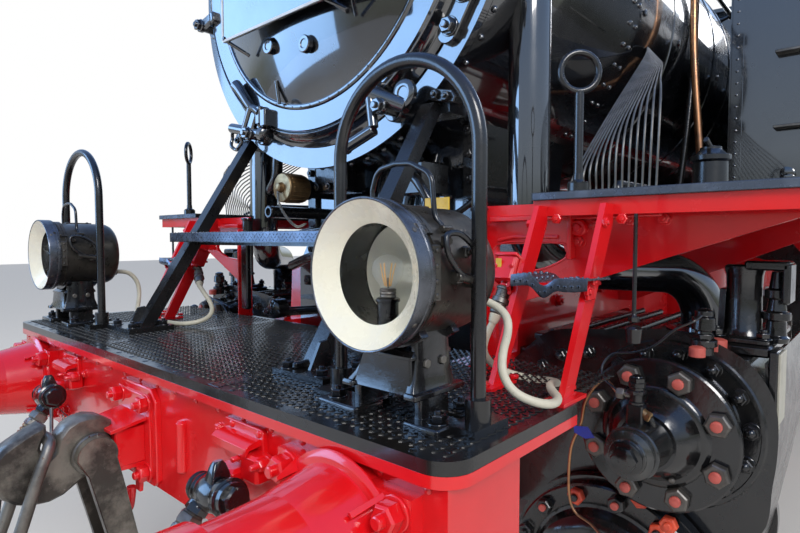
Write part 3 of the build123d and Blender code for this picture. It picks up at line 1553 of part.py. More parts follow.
with BuildPart() as steps:
    for side, stiles in ladder_y.items():
        for y in stiles:
            with BuildSketch(slab_plane(1, side * y + stile_thickness / 2, side * y - stile_thickness / 2)):
                with BuildLine():
                    Polyline(
                        (ladder_foot_x - stile_width / 2, platform_top_z + seat_gap),
                        (ladder_foot_x + stile_width / 2, platform_top_z + seat_gap),
                        (valance_front_x + stile_width, ladder_top_z),
                        (valance_front_x + seat_gap, ladder_top_z),
                        (valance_front_x + seat_gap, valance_bottom_z - 20),
                        close=True,
                    )
                make_face()
            extrude(amount=stile_thickness)
            with Locations((ladder_foot_x, side * y, platform_top_z + seat_gap + foot_thickness / 2)):
                Box(110, 50, foot_thickness)
        with Locations((3668, side * (stiles[0] + stiles[1]) / 2, ladder_tread_z)):
            Box(130, stiles[1] - stiles[0], 8)
        for x in (door_opening_x[0] + 20, door_opening_x[1] - 20):
            with Locations((x, side * 1415, cab_floor_bottom_z - seat_gap)):
                Box(14, 90, cab_floor_bottom_z - 700, align=(Align.CENTER, Align.CENTER, Align.MAX))
        for z in cab_step_heights:
            with Locations(((door_opening_x[0] + door_opening_x[1]) / 2, side * 1400, z)):
                Box(door_opening_x[1] - door_opening_x[0] - 40, cab_step_depth, 16)
steps.part.label = "steps"
export_step(steps.part, "parts/steps.step")

# Handrails: hoops beside the front lamps, grab rods with a ring, boiler rails and cab rails
hoop_x = 4065
hoop_y = (690, 1055)
hoop_tube_r = 14
hoop_top_z = 1964
hoop_bend_r = (hoop_y[1] - hoop_y[0]) / 2
ring_rod = (3535, 1000)
ring_centre_z = 2036
ring_loop_r = 48
with BuildPart() as handrails:
    with BuildLine() as hoop_line:
        Line((hoop_x, hoop_y[0], platform_top_z + seat_gap), (hoop_x, hoop_y[0], hoop_top_z - hoop_bend_r))
        ThreePointArc(
            (hoop_x, hoop_y[0], hoop_top_z - hoop_bend_r),
            (hoop_x, (hoop_y[0] + hoop_y[1]) / 2, hoop_top_z),
            (hoop_x, hoop_y[1], hoop_top_z - hoop_bend_r),
        )
        Line((hoop_x, hoop_y[1], hoop_top_z - hoop_bend_r), (hoop_x, hoop_y[1], platform_top_z + seat_gap))
    with BuildSketch(Plane(origin=(hoop_x, hoop_y[0], platform_top_z + seat_gap), z_dir=(0, 0, 1))):
        Circle(hoop_tube_r)
    sweep(path=hoop_line.wire())
    for y in hoop_y:
        with Locations((hoop_x, y, platform_top_z + seat_gap + 8)):
            Box(110, 60, 16)
            Cylinder(24, 50, align=on_base)
    with Locations((ring_rod[0], ring_rod[1], board_top_z + seat_gap)):
        Cylinder(26, 20, align=on_base)
        Cylinder(11, ring_centre_z - ring_loop_r - board_top_z, align=on_base)
    with Locations(Plane(origin=(ring_rod[0], ring_rod[1], ring_centre_z), z_dir=(0.74, 0.67, 0))):
        Torus(ring_loop_r, 8)
    # Cab entrance rails, each on two stand-offs
    for x in (door_opening_x[0] - 60, door_opening_x[1] + 60):
        with Locations((x, wall_outer_y + 50, 2350)):
            Cylinder(15, 1150)
        for z in (1820, 2880):
            with Locations(Plane(origin=(x, wall_outer_y + seat_gap, z), z_dir=(0, 1, 0))):
                Cylinder(11, 50, align=on_base)
    mirror(about=Plane.XZ)
handrails.part.label = "handrails"
export_step(handrails.part, "parts/handrails.step")

# Front lamps: drums with a coned hood, a glass and a mirror behind it, on cast stands
hood_depth = 35
hood_inner_r = 90
mirror_rim_r = 96
mirror_rim_depth = 110
mirror_depth = 195
gland_r = 15
gland_length = 12
# Where each lamp's cable leaves its back: y and z
cable_exit = {1: (880, 1492), -1: (-884, 1476)}
with BuildPart() as lamp_bodies:
    with BuildSketch(Plane(origin=(0, lamp_y, lamp_z), x_dir=(1, 0, 0), z_dir=(0, -1, 0))):
        with BuildLine():
            back_x = lamp_front_x - lamp_length
            Polyline(
                (back_x, 0),
                (back_x, lamp_r - 14),
                (back_x + 14, lamp_r),
                (lamp_front_x - 42, lamp_r),
                (lamp_front_x - 42, lamp_ring_r),
                (lamp_front_x, lamp_ring_r),
                (lamp_front_x, lamp_ring_r - 12),
                (lamp_front_x - hood_depth, hood_inner_r),
                (lamp_front_x - hood_depth, mirror_rim_r),
                (lamp_front_x - mirror_rim_depth, mirror_rim_r),
            )
            ThreePointArc(
                (lamp_front_x - mirror_rim_depth, mirror_rim_r),
                cap_middle(
                    (lamp_front_x - mirror_rim_depth, mirror_rim_r),
                    (lamp_front_x - mirror_depth, 0),
                ),
                (lamp_front_x - mirror_depth, 0),
            )
            Line((lamp_front_x - mirror_depth, 0), (back_x, 0))
        make_face()
    revolve(axis=Axis((0, lamp_y, lamp_z), (1, 0, 0)))
    mirror(about=Plane.XZ)
    for y, z in cable_exit.values():
        with Locations(Plane(origin=(lamp_front_x - lamp_length + 1, y, z), z_dir=(-1, 0, 0))):
            Cylinder(gland_r, gland_length + 1, align=on_base)
lamp_bodies.part.label = "lamp_bodies"
export_step(lamp_bodies.part, "parts/lamp_bodies.step")

glass_thickness = 4
glass_back_x = lamp_front_x - hood_depth - seat_gap - glass_thickness
glass_r = mirror_rim_r - seat_gap
with BuildPart() as lamp_glasses:
    with Locations(Plane(origin=(glass_back_x, lamp_y, lamp_z), z_dir=(1, 0, 0))):
        Cylinder(glass_r, glass_thickness, align=on_base)
    mirror(about=Plane.XZ)
lamp_glasses.part.label = "lamp_glasses"
export_step(lamp_glasses.part, "parts/lamp_glasses.step")

lamp_foot_z = platform_top_z + seat_gap
stand_x = lamp_front_x - 130
with BuildPart() as lamp_stands:
    with BuildSketch(Plane(origin=(0, 0, lamp_foot_z), z_dir=(0, 0, 1))):
        with Locations((stand_x, lamp_y)):
            RectangleRounded(150, 190, 20)
    with BuildSketch(Plane(origin=(0, 0, lamp_foot_z + 90), z_dir=(0, 0, 1))):
        with Locations((stand_x, lamp_y)):
            RectangleRounded(110, 130, 20)
    loft()
    with Locations((stand_x, lamp_y, lamp_foot_z + 85)):
        Box(110, 130, 120, align=on_base)
    with BuildSketch(along_x(stand_x - 100)):
        with Locations((lamp_y, lamp_z)):
            Circle(lamp_r + seat_gap)
    extrude(amount=200, mode=Mode.SUBTRACT)
    with BuildSketch(along_x(stand_x - 100)):
        with Locations((lamp_y, lamp_foot_z)):
            RectangleRounded(90, 100, 20)
    extrude(amount=200, mode=Mode.SUBTRACT)
    mirror(about=Plane.XZ)
lamp_stands.part.label = "lamp_stands"
export_step(lamp_stands.part, "parts/lamp_stands.step")

# Draw hooks and screw couplings
hook_z = buffer_z - 25
with BuildPart() as hook_front:
    with Locations((beam_x + 45 + seat_gap, 0, hook_z)):
        Box(90, 190, 105)
    with Locations((beam_x + 110, 0, hook_z)):
        Box(120, 50, 70)
    with BuildSketch(slab_plane(1, 25, 25)):
        with BuildLine():
            Polyline(
                (beam_x + 130, hook_z - 35),
                (beam_x + 235, hook_z - 30),
                (beam_x + 275, hook_z + 20),
                (beam_x + 270, hook_z + 80),
                (beam_x + 245, hook_z + 95),
                (beam_x + 232, hook_z + 40),
                (beam_x + 190, hook_z + 15),
                (beam_x + 165, hook_z + 50),
                (beam_x + 130, hook_z + 60),
                close=True,
            )
        make_face()
    extrude(amount=50)
    with BuildSketch(slab_plane(1, 75, 75)):
        with Locations((beam_x + 150, hook_z + 5)):
            Circle(26)
    extrude(amount=150)
    for y in (-72, 50):
        with BuildSketch(slab_plane(1, y + 22, y)):
            with Locations((beam_x + 150, hook_z + 5)):
                Circle(44)
            with Locations((beam_x + 168, hook_z - 235)):
                Circle(34)
            make_hull()
        extrude(amount=22)
    with BuildSketch(slab_plane(1, 76, 76)):
        with Locations((beam_x + 168, hook_z - 235)):
            Circle(28)
    extrude(amount=152)
    with Locations((beam_x + 168, 0, hook_z - 330)):
        Cylinder(22, 260)
    with Locations((beam_x + 168, 0, hook_z - 455)):
        Box(60, 152, 50)
with BuildPart() as couplings:
    add(hook_front.part)
    mirror(about=Plane.YZ)
couplings.part.label = "couplings"
export_step(couplings.part, "parts/couplings.step")

# Steam pipes from the smokebox down to the valve chests
steam_pipe_r = 66
steam_pipe_bend = 150
pipe_foot_x = 2865
pipe_head = (3290, 725)
with BuildPart() as steam_pipes:
    with BuildLine() as steam_line:
        FilletPolyline(
            (pipe_foot_x, valve_y, valve_z + valve_chest_r - 20),
            (pipe_foot_x, valve_y, 1500),
            (pipe_head[0], pipe_head[1], 1530),
            (pipe_head[0], pipe_head[1], 2500),
            radius=steam_pipe_bend,
        )
    with BuildSketch(Plane(origin=(pipe_foot_x, valve_y, valve_z + valve_chest_r - 20), z_dir=(0, 0, 1))):
        Circle(steam_pipe_r)
    sweep(path=steam_line.wire())
    with Locations((pipe_foot_x, valve_y, valve_z + valve_chest_r - 20)):
        Cylinder(110, 60, align=on_base)
    with BuildSketch(along_x(pipe_foot_x - 150)):
        with Locations((0, boiler_z)):
            Circle(smokebox_r + seat_gap)
        with Locations((valve_y, valve_z)):
            Circle(valve_chest_r + seat_gap)
    extrude(amount=pipe_head[0] - pipe_foot_x + 300, mode=Mode.SUBTRACT)
    mirror(about=Plane.XZ)
steam_pipes.part.label = "steam_pipes"
export_step(steam_pipes.part, "parts/steam_pipes.step")

# Air pump on the right running board, ahead of the tank
pump_x = 2250
pump_y = -1080
with BuildPart() as air_pump:
    with Locations((pump_x, pump_y, board_top_z + seat_gap)):
        Cylinder(120, 40, align=on_base)
        Cylinder(150, 330, align=on_base)
        Cylinder(60, 480, align=on_base)
    with Locations((pump_x, pump_y, board_top_z + 430)):
        Cylinder(125, 330, align=on_base)
    with Locations((pump_x, pump_y, board_top_z + 760)):
        Cylinder(70, 90, align=on_base)
air_pump.part.label = "air_pump"
export_step(air_pump.part, "parts/air_pump.step")

# Air cocks on the front beam, each on its bracket, with the hose's coupling head hanging below
cock_middle = (beam_x + 87, 545, 1062)
cock_r = 40
hose_r = 21
hose_way = Vector(75, -8, -85).normalized()
fitting_start = Vector(cock_middle[0], cock_middle[1] - 30, cock_middle[2])
fitting_length = 70
hose_start = fitting_start + hose_way * fitting_length
hose_end = Vector(4481, 489, 566)

with BuildPart() as brake_cocks:
    with Locations((beam_x + 5 + seat_gap, cock_middle[1], 1155)):
        Box(10, 140, 70)
    with Locations((beam_x + 40, cock_middle[1], 1122)):
        Box(80, 130, 10)
    with Locations((beam_x + 54, cock_middle[1] + 10, 1085)):
        Box(12, 80, 76)
    with BuildSketch(slab_plane(1, cock_middle[1] + 50, cock_middle[1] - 50)):
        with Locations((cock_middle[0], cock_middle[2])):
            Circle(cock_r)
    extrude(amount=100)
    with BuildSketch(slab_plane(1, cock_middle[1] + 78, cock_middle[1] + 50)):
        with Locations((cock_middle[0], cock_middle[2])):
            RegularPolygon(36, 6)
    extrude(amount=28)
    with Locations(Plane(origin=fitting_start, z_dir=hose_way)):
        Cylinder(27, fitting_length, align=on_base)
    with Locations(Plane(origin=hose_end, z_dir=(0, 0, -1))):
        Cylinder(27, 60, align=on_base)
    with Locations((hose_end.X, hose_end.Y + 12, hose_end.Z - 95)):
        Box(70, 60, 90)
    mirror(about=Plane.XZ)
brake_cocks.part.label = "brake_cocks"
export_step(brake_cocks.part, "parts/brake_cocks.step")

# Junction boxes on the ladders' inner stiles, each with the cable's connector
cable_r = 9
connector_r = 13
cable_end = {1: Vector(3722, 868, 1408), -1: Vector(3708, -592, 1414)}
cable_end_way = {1: Vector(-8, 18, 40).normalized(), -1: Vector(-8, -52, 26).normalized()}
connector_length = {1: 70, -1: 112}
box_size = (50, 50, 130)
box_middle = {1: (3673, 1517), -1: (3675, 1510)}
stile_slope = math.atan2(ladder_foot_x - valance_front_x - stile_width / 2, ladder_top_z - platform_top_z)

with BuildPart() as cable_boxes:
    for side, (x, z) in box_middle.items():
        inner_face_y = ladder_y[side][0] - stile_thickness / 2 - seat_gap
        middle_y = side * (inner_face_y - box_size[1] / 2)
        way = (-math.sin(stile_slope), 0, math.cos(stile_slope))
        with Locations(Plane(origin=(x, middle_y, z), x_dir=(0, 1, 0), z_dir=way)):
            Box(box_size[1], box_size[0], box_size[2])
        with Locations(Plane(origin=cable_end[side], z_dir=cable_end_way[side])):
            Cylinder(
                connector_r,
                connector_length[side],
                align=on_base,
            )
cable_boxes.part.label = "cable_boxes"
export_step(cable_boxes.part, "parts/cable_boxes.step")

# Free cords. Each bend takes 0.45 of the shorter run beside it.
lamp_back = lamp_front_x - lamp_length - gland_length
cords = {
    "lamp_cable_left": (
        cable_r,
        [
            (lamp_back, *cable_exit[1]),
            (3889, 880, 1492),
            (3854, 905, 1484),
            (3840, 946, 1472),
            (3852, 988, 1450),
            (3880, 1006, 1418),
            (3915, 1014, 1386),
            (3945, 1030, 1350),
            (3954, 1061, 1318),
            (3936, 1101, 1301),
            (3895, 1120, 1293),
            (3849, 1107, 1293),
            (3812, 1074, 1293),
            (3770, 1046, 1293),
            (3723, 1032, 1286),
            (3675, 1022, 1275),
            (3638, 989, 1267),
            (3626, 939, 1261),
            (3641, 887, 1265),
            (3677, 850, 1286),
            (3716, 838, 1325),
            (3730, 850, 1368),
            tuple(cable_end[1]),
        ],
    ),
    "lamp_cable_right": (
        cable_r,
        [
            (lamp_back, *cable_exit[-1]),
            (3897, -884, 1476),
            (3864, -884, 1457),
            (3843, -882, 1421),
            (3841, -876, 1378),
            (3852, -862, 1337),
            (3870, -836, 1305),
            (3886, -794, 1287),
            (3894, -740, 1284),
            (3890, -676, 1284),
            (3880, -612, 1284),
            (3872, -548, 1284),
            (3866, -488, 1284),
            (3850, -442, 1286),
            (3814, -412, 1292),
            (3768, -412, 1306),
            (3736, -440, 1330),
            (3722, -486, 1360),
            (3716, -540, 1388),
            tuple(cable_end[-1]),
        ],
    ),
    "brake_hose_left": (
        hose_r,
        [
            tuple(hose_start),
            tuple(hose_start + hose_way * 114),
            (4471, 495, 810),
            (4481, 489, 686),
            tuple(hose_end),
        ],
    ),
}
cords["brake_hose_right"] = (hose_r, [(x, -y, z) for x, y, z in cords["brake_hose_left"][1]])

for name, (radius, points) in cords.items():
    route_points = [Vector(*point) for point in points]
    runs = [b - a for a, b in zip(route_points, route_points[1:])]
    turns = [math.radians(a.get_angle(b)) for a, b in zip(runs, runs[1:])]
    bends = [
        0.45 * min(a.length, b.length) / math.tan(turn / 2)
        for a, b, turn in zip(runs, runs[1:], turns)
    ]
    with BuildPart() as cord:
        with BuildLine() as route:
            FilletPolyline(*points, radius=bends)
        with BuildSketch(Plane(origin=points[0], z_dir=runs[0])):
            Circle(radius)
        sweep(path=route.wire())
    length = route.wire().length
    print(
        name,
        "radii",
        [round(bend) for bend in bends],
        "length",
        round(length),
        "volume ratio",
        round(cord.part.volume / (math.pi * radius**2 * length), 4),
    )
    cord.part.label = name
    export_step(cord.part, f"parts/{name}.step")
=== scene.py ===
"""Finishes, small parts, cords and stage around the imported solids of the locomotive."""
import math
import random

import bpy
from mathutils import Matrix, Vector


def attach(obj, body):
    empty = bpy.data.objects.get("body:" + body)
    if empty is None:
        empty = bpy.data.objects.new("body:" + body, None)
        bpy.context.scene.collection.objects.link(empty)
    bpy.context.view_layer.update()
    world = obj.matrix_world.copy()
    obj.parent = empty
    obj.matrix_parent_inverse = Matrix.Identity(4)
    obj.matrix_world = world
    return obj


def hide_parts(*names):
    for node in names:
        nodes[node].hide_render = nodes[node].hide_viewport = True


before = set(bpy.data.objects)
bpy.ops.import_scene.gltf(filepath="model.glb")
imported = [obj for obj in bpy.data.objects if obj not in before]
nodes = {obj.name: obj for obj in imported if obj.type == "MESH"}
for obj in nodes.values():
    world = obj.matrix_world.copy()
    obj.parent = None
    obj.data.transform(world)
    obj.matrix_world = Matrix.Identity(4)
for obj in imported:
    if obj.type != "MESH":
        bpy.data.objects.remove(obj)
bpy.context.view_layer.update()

# Sizes and places are in millimetres of the row frame: +X forward, +Y the engine's left, +Z up.
# Meshes and curves are written in metres.
MM = 0.001
X = Vector((1, 0, 0))
Y = Vector((0, 1, 0))
Z = Vector((0, 0, 1))

BEAM_X = 4215
DECK_TOP_Z = 1272
LAMP_Y = 906
LAMP_Z = 1553
LAMP_FRONT_X = 4215
BOILER_Z = 2698
AXLE_Z = 578
SIDES = {"left": 1, "right": -1}


# Camera, from the photograph's perspective
PHOTO_WIDTH = 800
FOCAL_PX = 554.18
SENSOR_MM = 36
CAMERA_PLACE = (4.894, 1.606, 1.617)
CAMERA_DIRECTION = Vector((-0.7452, -0.6649, -0.0502))


def put_in_scene(name, data):
    piece = bpy.data.objects.new(name, data)
    bpy.context.scene.collection.objects.link(piece)
    return piece


def aim(piece, place, direction):
    """Stand a camera or light at a place, in metres, and turn it along a direction."""
    piece.location = place
    piece.rotation_mode = "QUATERNION"
    piece.rotation_quaternion = direction.to_track_quat("-Z", "Y")


def set_inputs(node, values):
    for name, value in values.items():
        node.inputs[name].default_value = value


camera_data = bpy.data.cameras.new("camera")
camera_data.sensor_width = SENSOR_MM
camera_data.lens = FOCAL_PX / PHOTO_WIDTH * SENSOR_MM
camera = put_in_scene("camera", camera_data)
aim(camera, CAMERA_PLACE, CAMERA_DIRECTION)
bpy.context.scene.camera = camera
bpy.context.scene.view_settings.view_transform = "Standard"


# Materials
def node_tree(name):
    material = bpy.data.materials.new(name)
    material.use_nodes = True
    tree = material.node_tree
    shader = tree.nodes["Principled BSDF"]
    place = tree.nodes.new("ShaderNodeTexCoord")
    return material, tree, shader, place.outputs["Object"]


def noise(tree, place, scale, detail=4.0, roughness=0.6, stretch=None):
    if stretch:
        mapping = tree.nodes.new("ShaderNodeMapping")
        mapping.inputs["Scale"].default_value = stretch
        tree.links.new(place, mapping.inputs["Vector"])
        place = mapping.outputs["Vector"]
    texture = tree.nodes.new("ShaderNodeTexNoise")
    set_inputs(texture, {"Scale": scale, "Detail": detail, "Roughness": roughness})
    tree.links.new(place, texture.inputs["Vector"])
    return texture.outputs["Fac"]


def ramp(tree, value, low, high, low_at=0.4, high_at=0.65):
    node = tree.nodes.new("ShaderNodeValToRGB")
    node.color_ramp.elements[0].position = low_at
    node.color_ramp.elements[0].color = low
    node.color_ramp.elements[1].position = high_at
    node.color_ramp.elements[1].color = high
    tree.links.new(value, node.inputs["Fac"])
    return node.outputs["Color"]


def grey(value):
    return (value, value, value, 1)


def surface(name, colour, second=None, rough=(0.2, 0.35), patch_scale=3.0, patch=(0.45, 0.7), metallic=0.0,
            coat=0.0, coat_roughness=0.05, bump_scale=60.0, bump=0.15, bump_mm=0.3, specks=None, specular=0.5,
            stretch=None):
    """A surface with patches of a second colour, uneven gloss and a fine bump. Scales are per metre."""
    material, tree, shader, place = node_tree(name)
    patches = noise(tree, place, patch_scale, 6.0, 0.65, stretch)
    colours = ramp(tree, patches, (*colour, 1), (*(second or colour), 1), *patch)
    if specks:
        speck_colour, speck_scale, speck_at = specks
        fine = ramp(tree, noise(tree, place, speck_scale, 3.0, 0.7), grey(0), grey(1), speck_at,
                    speck_at + 0.06)
        mix = tree.nodes.new("ShaderNodeMixRGB")
        tree.links.new(fine, mix.inputs["Fac"])
        tree.links.new(colours, mix.inputs["Color1"])
        mix.inputs["Color2"].default_value = (*speck_colour, 1)
        colours = mix.outputs["Color"]
    tree.links.new(colours, shader.inputs["Base Color"])
    gloss = ramp(tree, noise(tree, place, patch_scale * 2.7, 5.0, 0.6, stretch), grey(rough[0]),
                 grey(rough[1]), 0.35, 0.7)
    tree.links.new(gloss, shader.inputs["Roughness"])
    set_inputs(shader, {"Metallic": metallic, "Specular IOR Level": specular, "Coat Weight": coat,
                        "Coat Roughness": coat_roughness})
    relief = tree.nodes.new("ShaderNodeBump")
    set_inputs(relief, {"Strength": bump, "Distance": bump_mm * MM})
    tree.links.new(noise(tree, place, bump_scale, 3.0, 0.6, stretch), relief.inputs["Height"])
    tree.links.new(relief.outputs["Normal"], shader.inputs["Normal"])
    return material


def clear_glass(name, tint, roughness=0.02, weight=0.9):
    material, tree, shader, place = node_tree(name)
    set_inputs(shader, {"Base Color": (*tint, 1), "Transmission Weight": weight, "IOR": 1.02,
                        "Specular IOR Level": 0.8})
    dust = ramp(tree, noise(tree, place, 45, 5.0, 0.7), grey(roughness), grey(roughness + 0.03), 0.55, 0.8)
    tree.links.new(dust, shader.inputs["Roughness"])
    return material


RED = surface("red_gloss_paint", (0.70, 0.006, 0.010), (0.60, 0.004, 0.008), (0.16, 0.3), 2.2, coat=0.6,
              bump_scale=26, bump=0.25, bump_mm=0.8, specks=((0.42, 0.004, 0.006), 140, 0.7))
BLACK = surface("black_gloss_paint", (0.004, 0.0045, 0.006), (0.008, 0.009, 0.012), (0.16, 0.3), 2.5,
                coat=1.0, bump_scale=24, bump=0.22, bump_mm=0.8)
BLACK.node_tree.nodes["Principled BSDF"].inputs["Coat IOR"].default_value = 2.0
CAST_BLACK = surface("black_paint_on_castings", (0.005, 0.005, 0.006), (0.012, 0.0115, 0.011), (0.14, 0.34),
                     6, coat=0.6, coat_roughness=0.08, bump_scale=42, bump=0.6, bump_mm=1.6,
                     specks=((0.045, 0.042, 0.04), 90, 0.7))
SATIN_BLACK = surface("satin_black_paint", (0.006, 0.006, 0.007), (0.014, 0.0135, 0.013), (0.2, 0.36), 5,
                      coat=0.4, coat_roughness=0.12, bump_scale=45, bump=0.5, bump_mm=0.9,
                      specks=((0.05, 0.048, 0.045), 160, 0.72))
DECK = surface("worn_deck_paint", (0.006, 0.006, 0.0065), (0.016, 0.0145, 0.013), (0.16, 0.34), 4.5, coat=0.4,
               coat_roughness=0.1, bump_scale=60, bump=0.45, bump_mm=0.8,
               specks=((0.06, 0.05, 0.045), 210, 0.68))
LAMP_SKIN = surface("tarnished_lamp_metal", (0.060, 0.056, 0.050), (0.13, 0.12, 0.105), (0.26, 0.46), 9,
                    metallic=0.65, bump_scale=45, bump=0.25, bump_mm=0.5,
                    specks=((0.02, 0.02, 0.02), 60, 0.62))
LAMP_RING = surface("rubbed_ring_metal", (0.14, 0.15, 0.17), (0.06, 0.06, 0.062), (0.2, 0.4), 14,
                    metallic=0.8, bump_scale=70, bump=0.3, bump_mm=0.4)
ENAMEL = surface("cream_enamel", (0.80, 0.79, 0.66), (0.74, 0.75, 0.68), (0.22, 0.35), 10, coat=0.3,
                 bump_scale=30, bump=0.08, bump_mm=0.2, specks=((0.45, 0.42, 0.33), 120, 0.74))
STEEL = surface("machined_steel", (0.33, 0.32, 0.30), (0.20, 0.19, 0.175), (0.25, 0.45), 8, metallic=1.0,
                bump_scale=150, bump=0.15, bump_mm=0.2, specks=((0.12, 0.09, 0.06), 90, 0.68))
DULL_STEEL = surface("weathered_steel", (0.24, 0.225, 0.20), (0.12, 0.11, 0.10), (0.35, 0.6), 12,
                     metallic=0.85, bump_scale=90, bump=0.5, bump_mm=0.6,
                     specks=((0.15, 0.08, 0.04), 70, 0.67))
NUT_STEEL = surface("grey_nuts", (0.13, 0.12, 0.11), (0.07, 0.065, 0.06), (0.3, 0.5), 20, metallic=0.6,
                    bump_scale=120, bump=0.4, bump_mm=0.4)
STUD_RED = surface("faded_red_stud_ends", (0.50, 0.10, 0.08), (0.36, 0.06, 0.05), (0.4, 0.6), 30,
                   bump_scale=200, bump=0.4, bump_mm=0.3)
BRASS = surface("dull_brass", (0.42, 0.27, 0.13), (0.22, 0.15, 0.08), (0.3, 0.5), 16, metallic=0.9,
                bump_scale=90, bump=0.3, bump_mm=0.4)
COPPER = surface("copper_pipe", (0.45, 0.22, 0.11), (0.25, 0.14, 0.09), (0.25, 0.45), 14, metallic=1.0,
                 bump_scale=90, bump=0.2, bump_mm=0.2)
RUBBER = surface("hose_rubber", (0.018, 0.018, 0.018), (0.04, 0.038, 0.035), (0.55, 0.75), 12, bump_scale=140,
                 bump=0.4, bump_mm=0.4)
SHEATH = surface("cream_cable_sheath", (0.60, 0.58, 0.48), (0.48, 0.46, 0.38), (0.4, 0.6), 14, bump_scale=150,
                 bump=0.3, bump_mm=0.3, specks=((0.25, 0.23, 0.19), 110, 0.68))
YELLOW = surface("yellow_tag", (0.75, 0.50, 0.02), (0.62, 0.40, 0.02), (0.35, 0.5), 20, bump=0.1)
BLUE = surface("blue_tag", (0.02, 0.03, 0.30), (0.02, 0.025, 0.2), (0.35, 0.5), 20, bump=0.1)
PLATE_RIM = surface("plate_rim", (0.55, 0.57, 0.6), (0.42, 0.44, 0.47), (0.25, 0.4), 8, bump=0.1)
TREAD_STEEL = surface("tyre_tread", (0.22, 0.21, 0.20), (0.12, 0.11, 0.10), (0.25, 0.5), 8, metallic=1.0,
                      bump_scale=120, bump=0.3, bump_mm=0.3)
COAL = surface("coal", (0.008, 0.008, 0.009), (0.03, 0.03, 0.032), (0.3, 0.6), 20, bump_scale=40, bump=1.0,
               bump_mm=4)
WOOD = surface("oiled_boards", (0.16, 0.10, 0.055), (0.10, 0.06, 0.035), (0.4, 0.6), 6, bump_scale=30,
               bump=0.4, stretch=(1, 14, 14))
MIRROR = surface("silvered_mirror", (0.82, 0.81, 0.70), (0.72, 0.73, 0.68), (0.12, 0.3), 8, metallic=0.3,
                 bump_scale=30, bump=0.05, bump_mm=0.2, specks=((0.5, 0.5, 0.46), 80, 0.74))
FORGED = surface("forged_worn_steel", (0.06, 0.054, 0.048), (0.24, 0.22, 0.19), (0.28, 0.5), 9, (0.42, 0.62),
                 metallic=0.6, bump_scale=45, bump=0.7, bump_mm=1.6, specks=((0.24, 0.23, 0.22), 60, 0.7))
SLEEVE = surface("painted_machined_sleeve", (0.05, 0.052, 0.055), (0.12, 0.12, 0.115), (0.16, 0.3), 7,
                 (0.45, 0.7), metallic=0.8, coat=0.5, bump_scale=60, bump=0.3, bump_mm=0.6)
ORANGE_RED = surface("orange_primer", (0.72, 0.09, 0.04), (0.5, 0.05, 0.03), (0.35, 0.5), 24, bump=0.3)
# Pale grey sheet with brighter specks: painted highlight of sunlight on the black cladding
PAINTED_HIGHLIGHT = surface("painted_sunlit_highlight_sheet", (0.40, 0.39, 0.33), (0.22, 0.22, 0.18), (0.35, 0.55), 7, bump_scale=30,
               bump=0.3, bump_mm=1.0, specks=((0.6, 0.6, 0.52), 24, 0.62))
# Bluish grey: painted reflection of the sky on the chequer plate
CHEQUER_SKY_TINT = surface("chequer_plate_painted_sky_tint", (0.09, 0.11, 0.15), (0.17, 0.20, 0.26), (0.2, 0.34), 12, metallic=0.6,
                  bump_scale=90, bump=0.3)
FILAMENT = surface("warm_filament", (0.9, 0.45, 0.08), (0.9, 0.5, 0.1), (0.3, 0.4), 10)
LAMP_GLASS = clear_glass("lamp_glass", (0.96, 0.97, 0.97), 0.0, 1.0)
BULB_GLASS = clear_glass("bulb_glass", (0.97, 0.97, 0.95), 0.0)
CAB_GLASS = clear_glass("cab_glass", (0.80, 0.88, 0.88), 0.02, 0.85)


# Mesh building
SHARP_DEGREES = 35
BEVEL_DEGREES = 40
FINE_BEVEL = 0.7


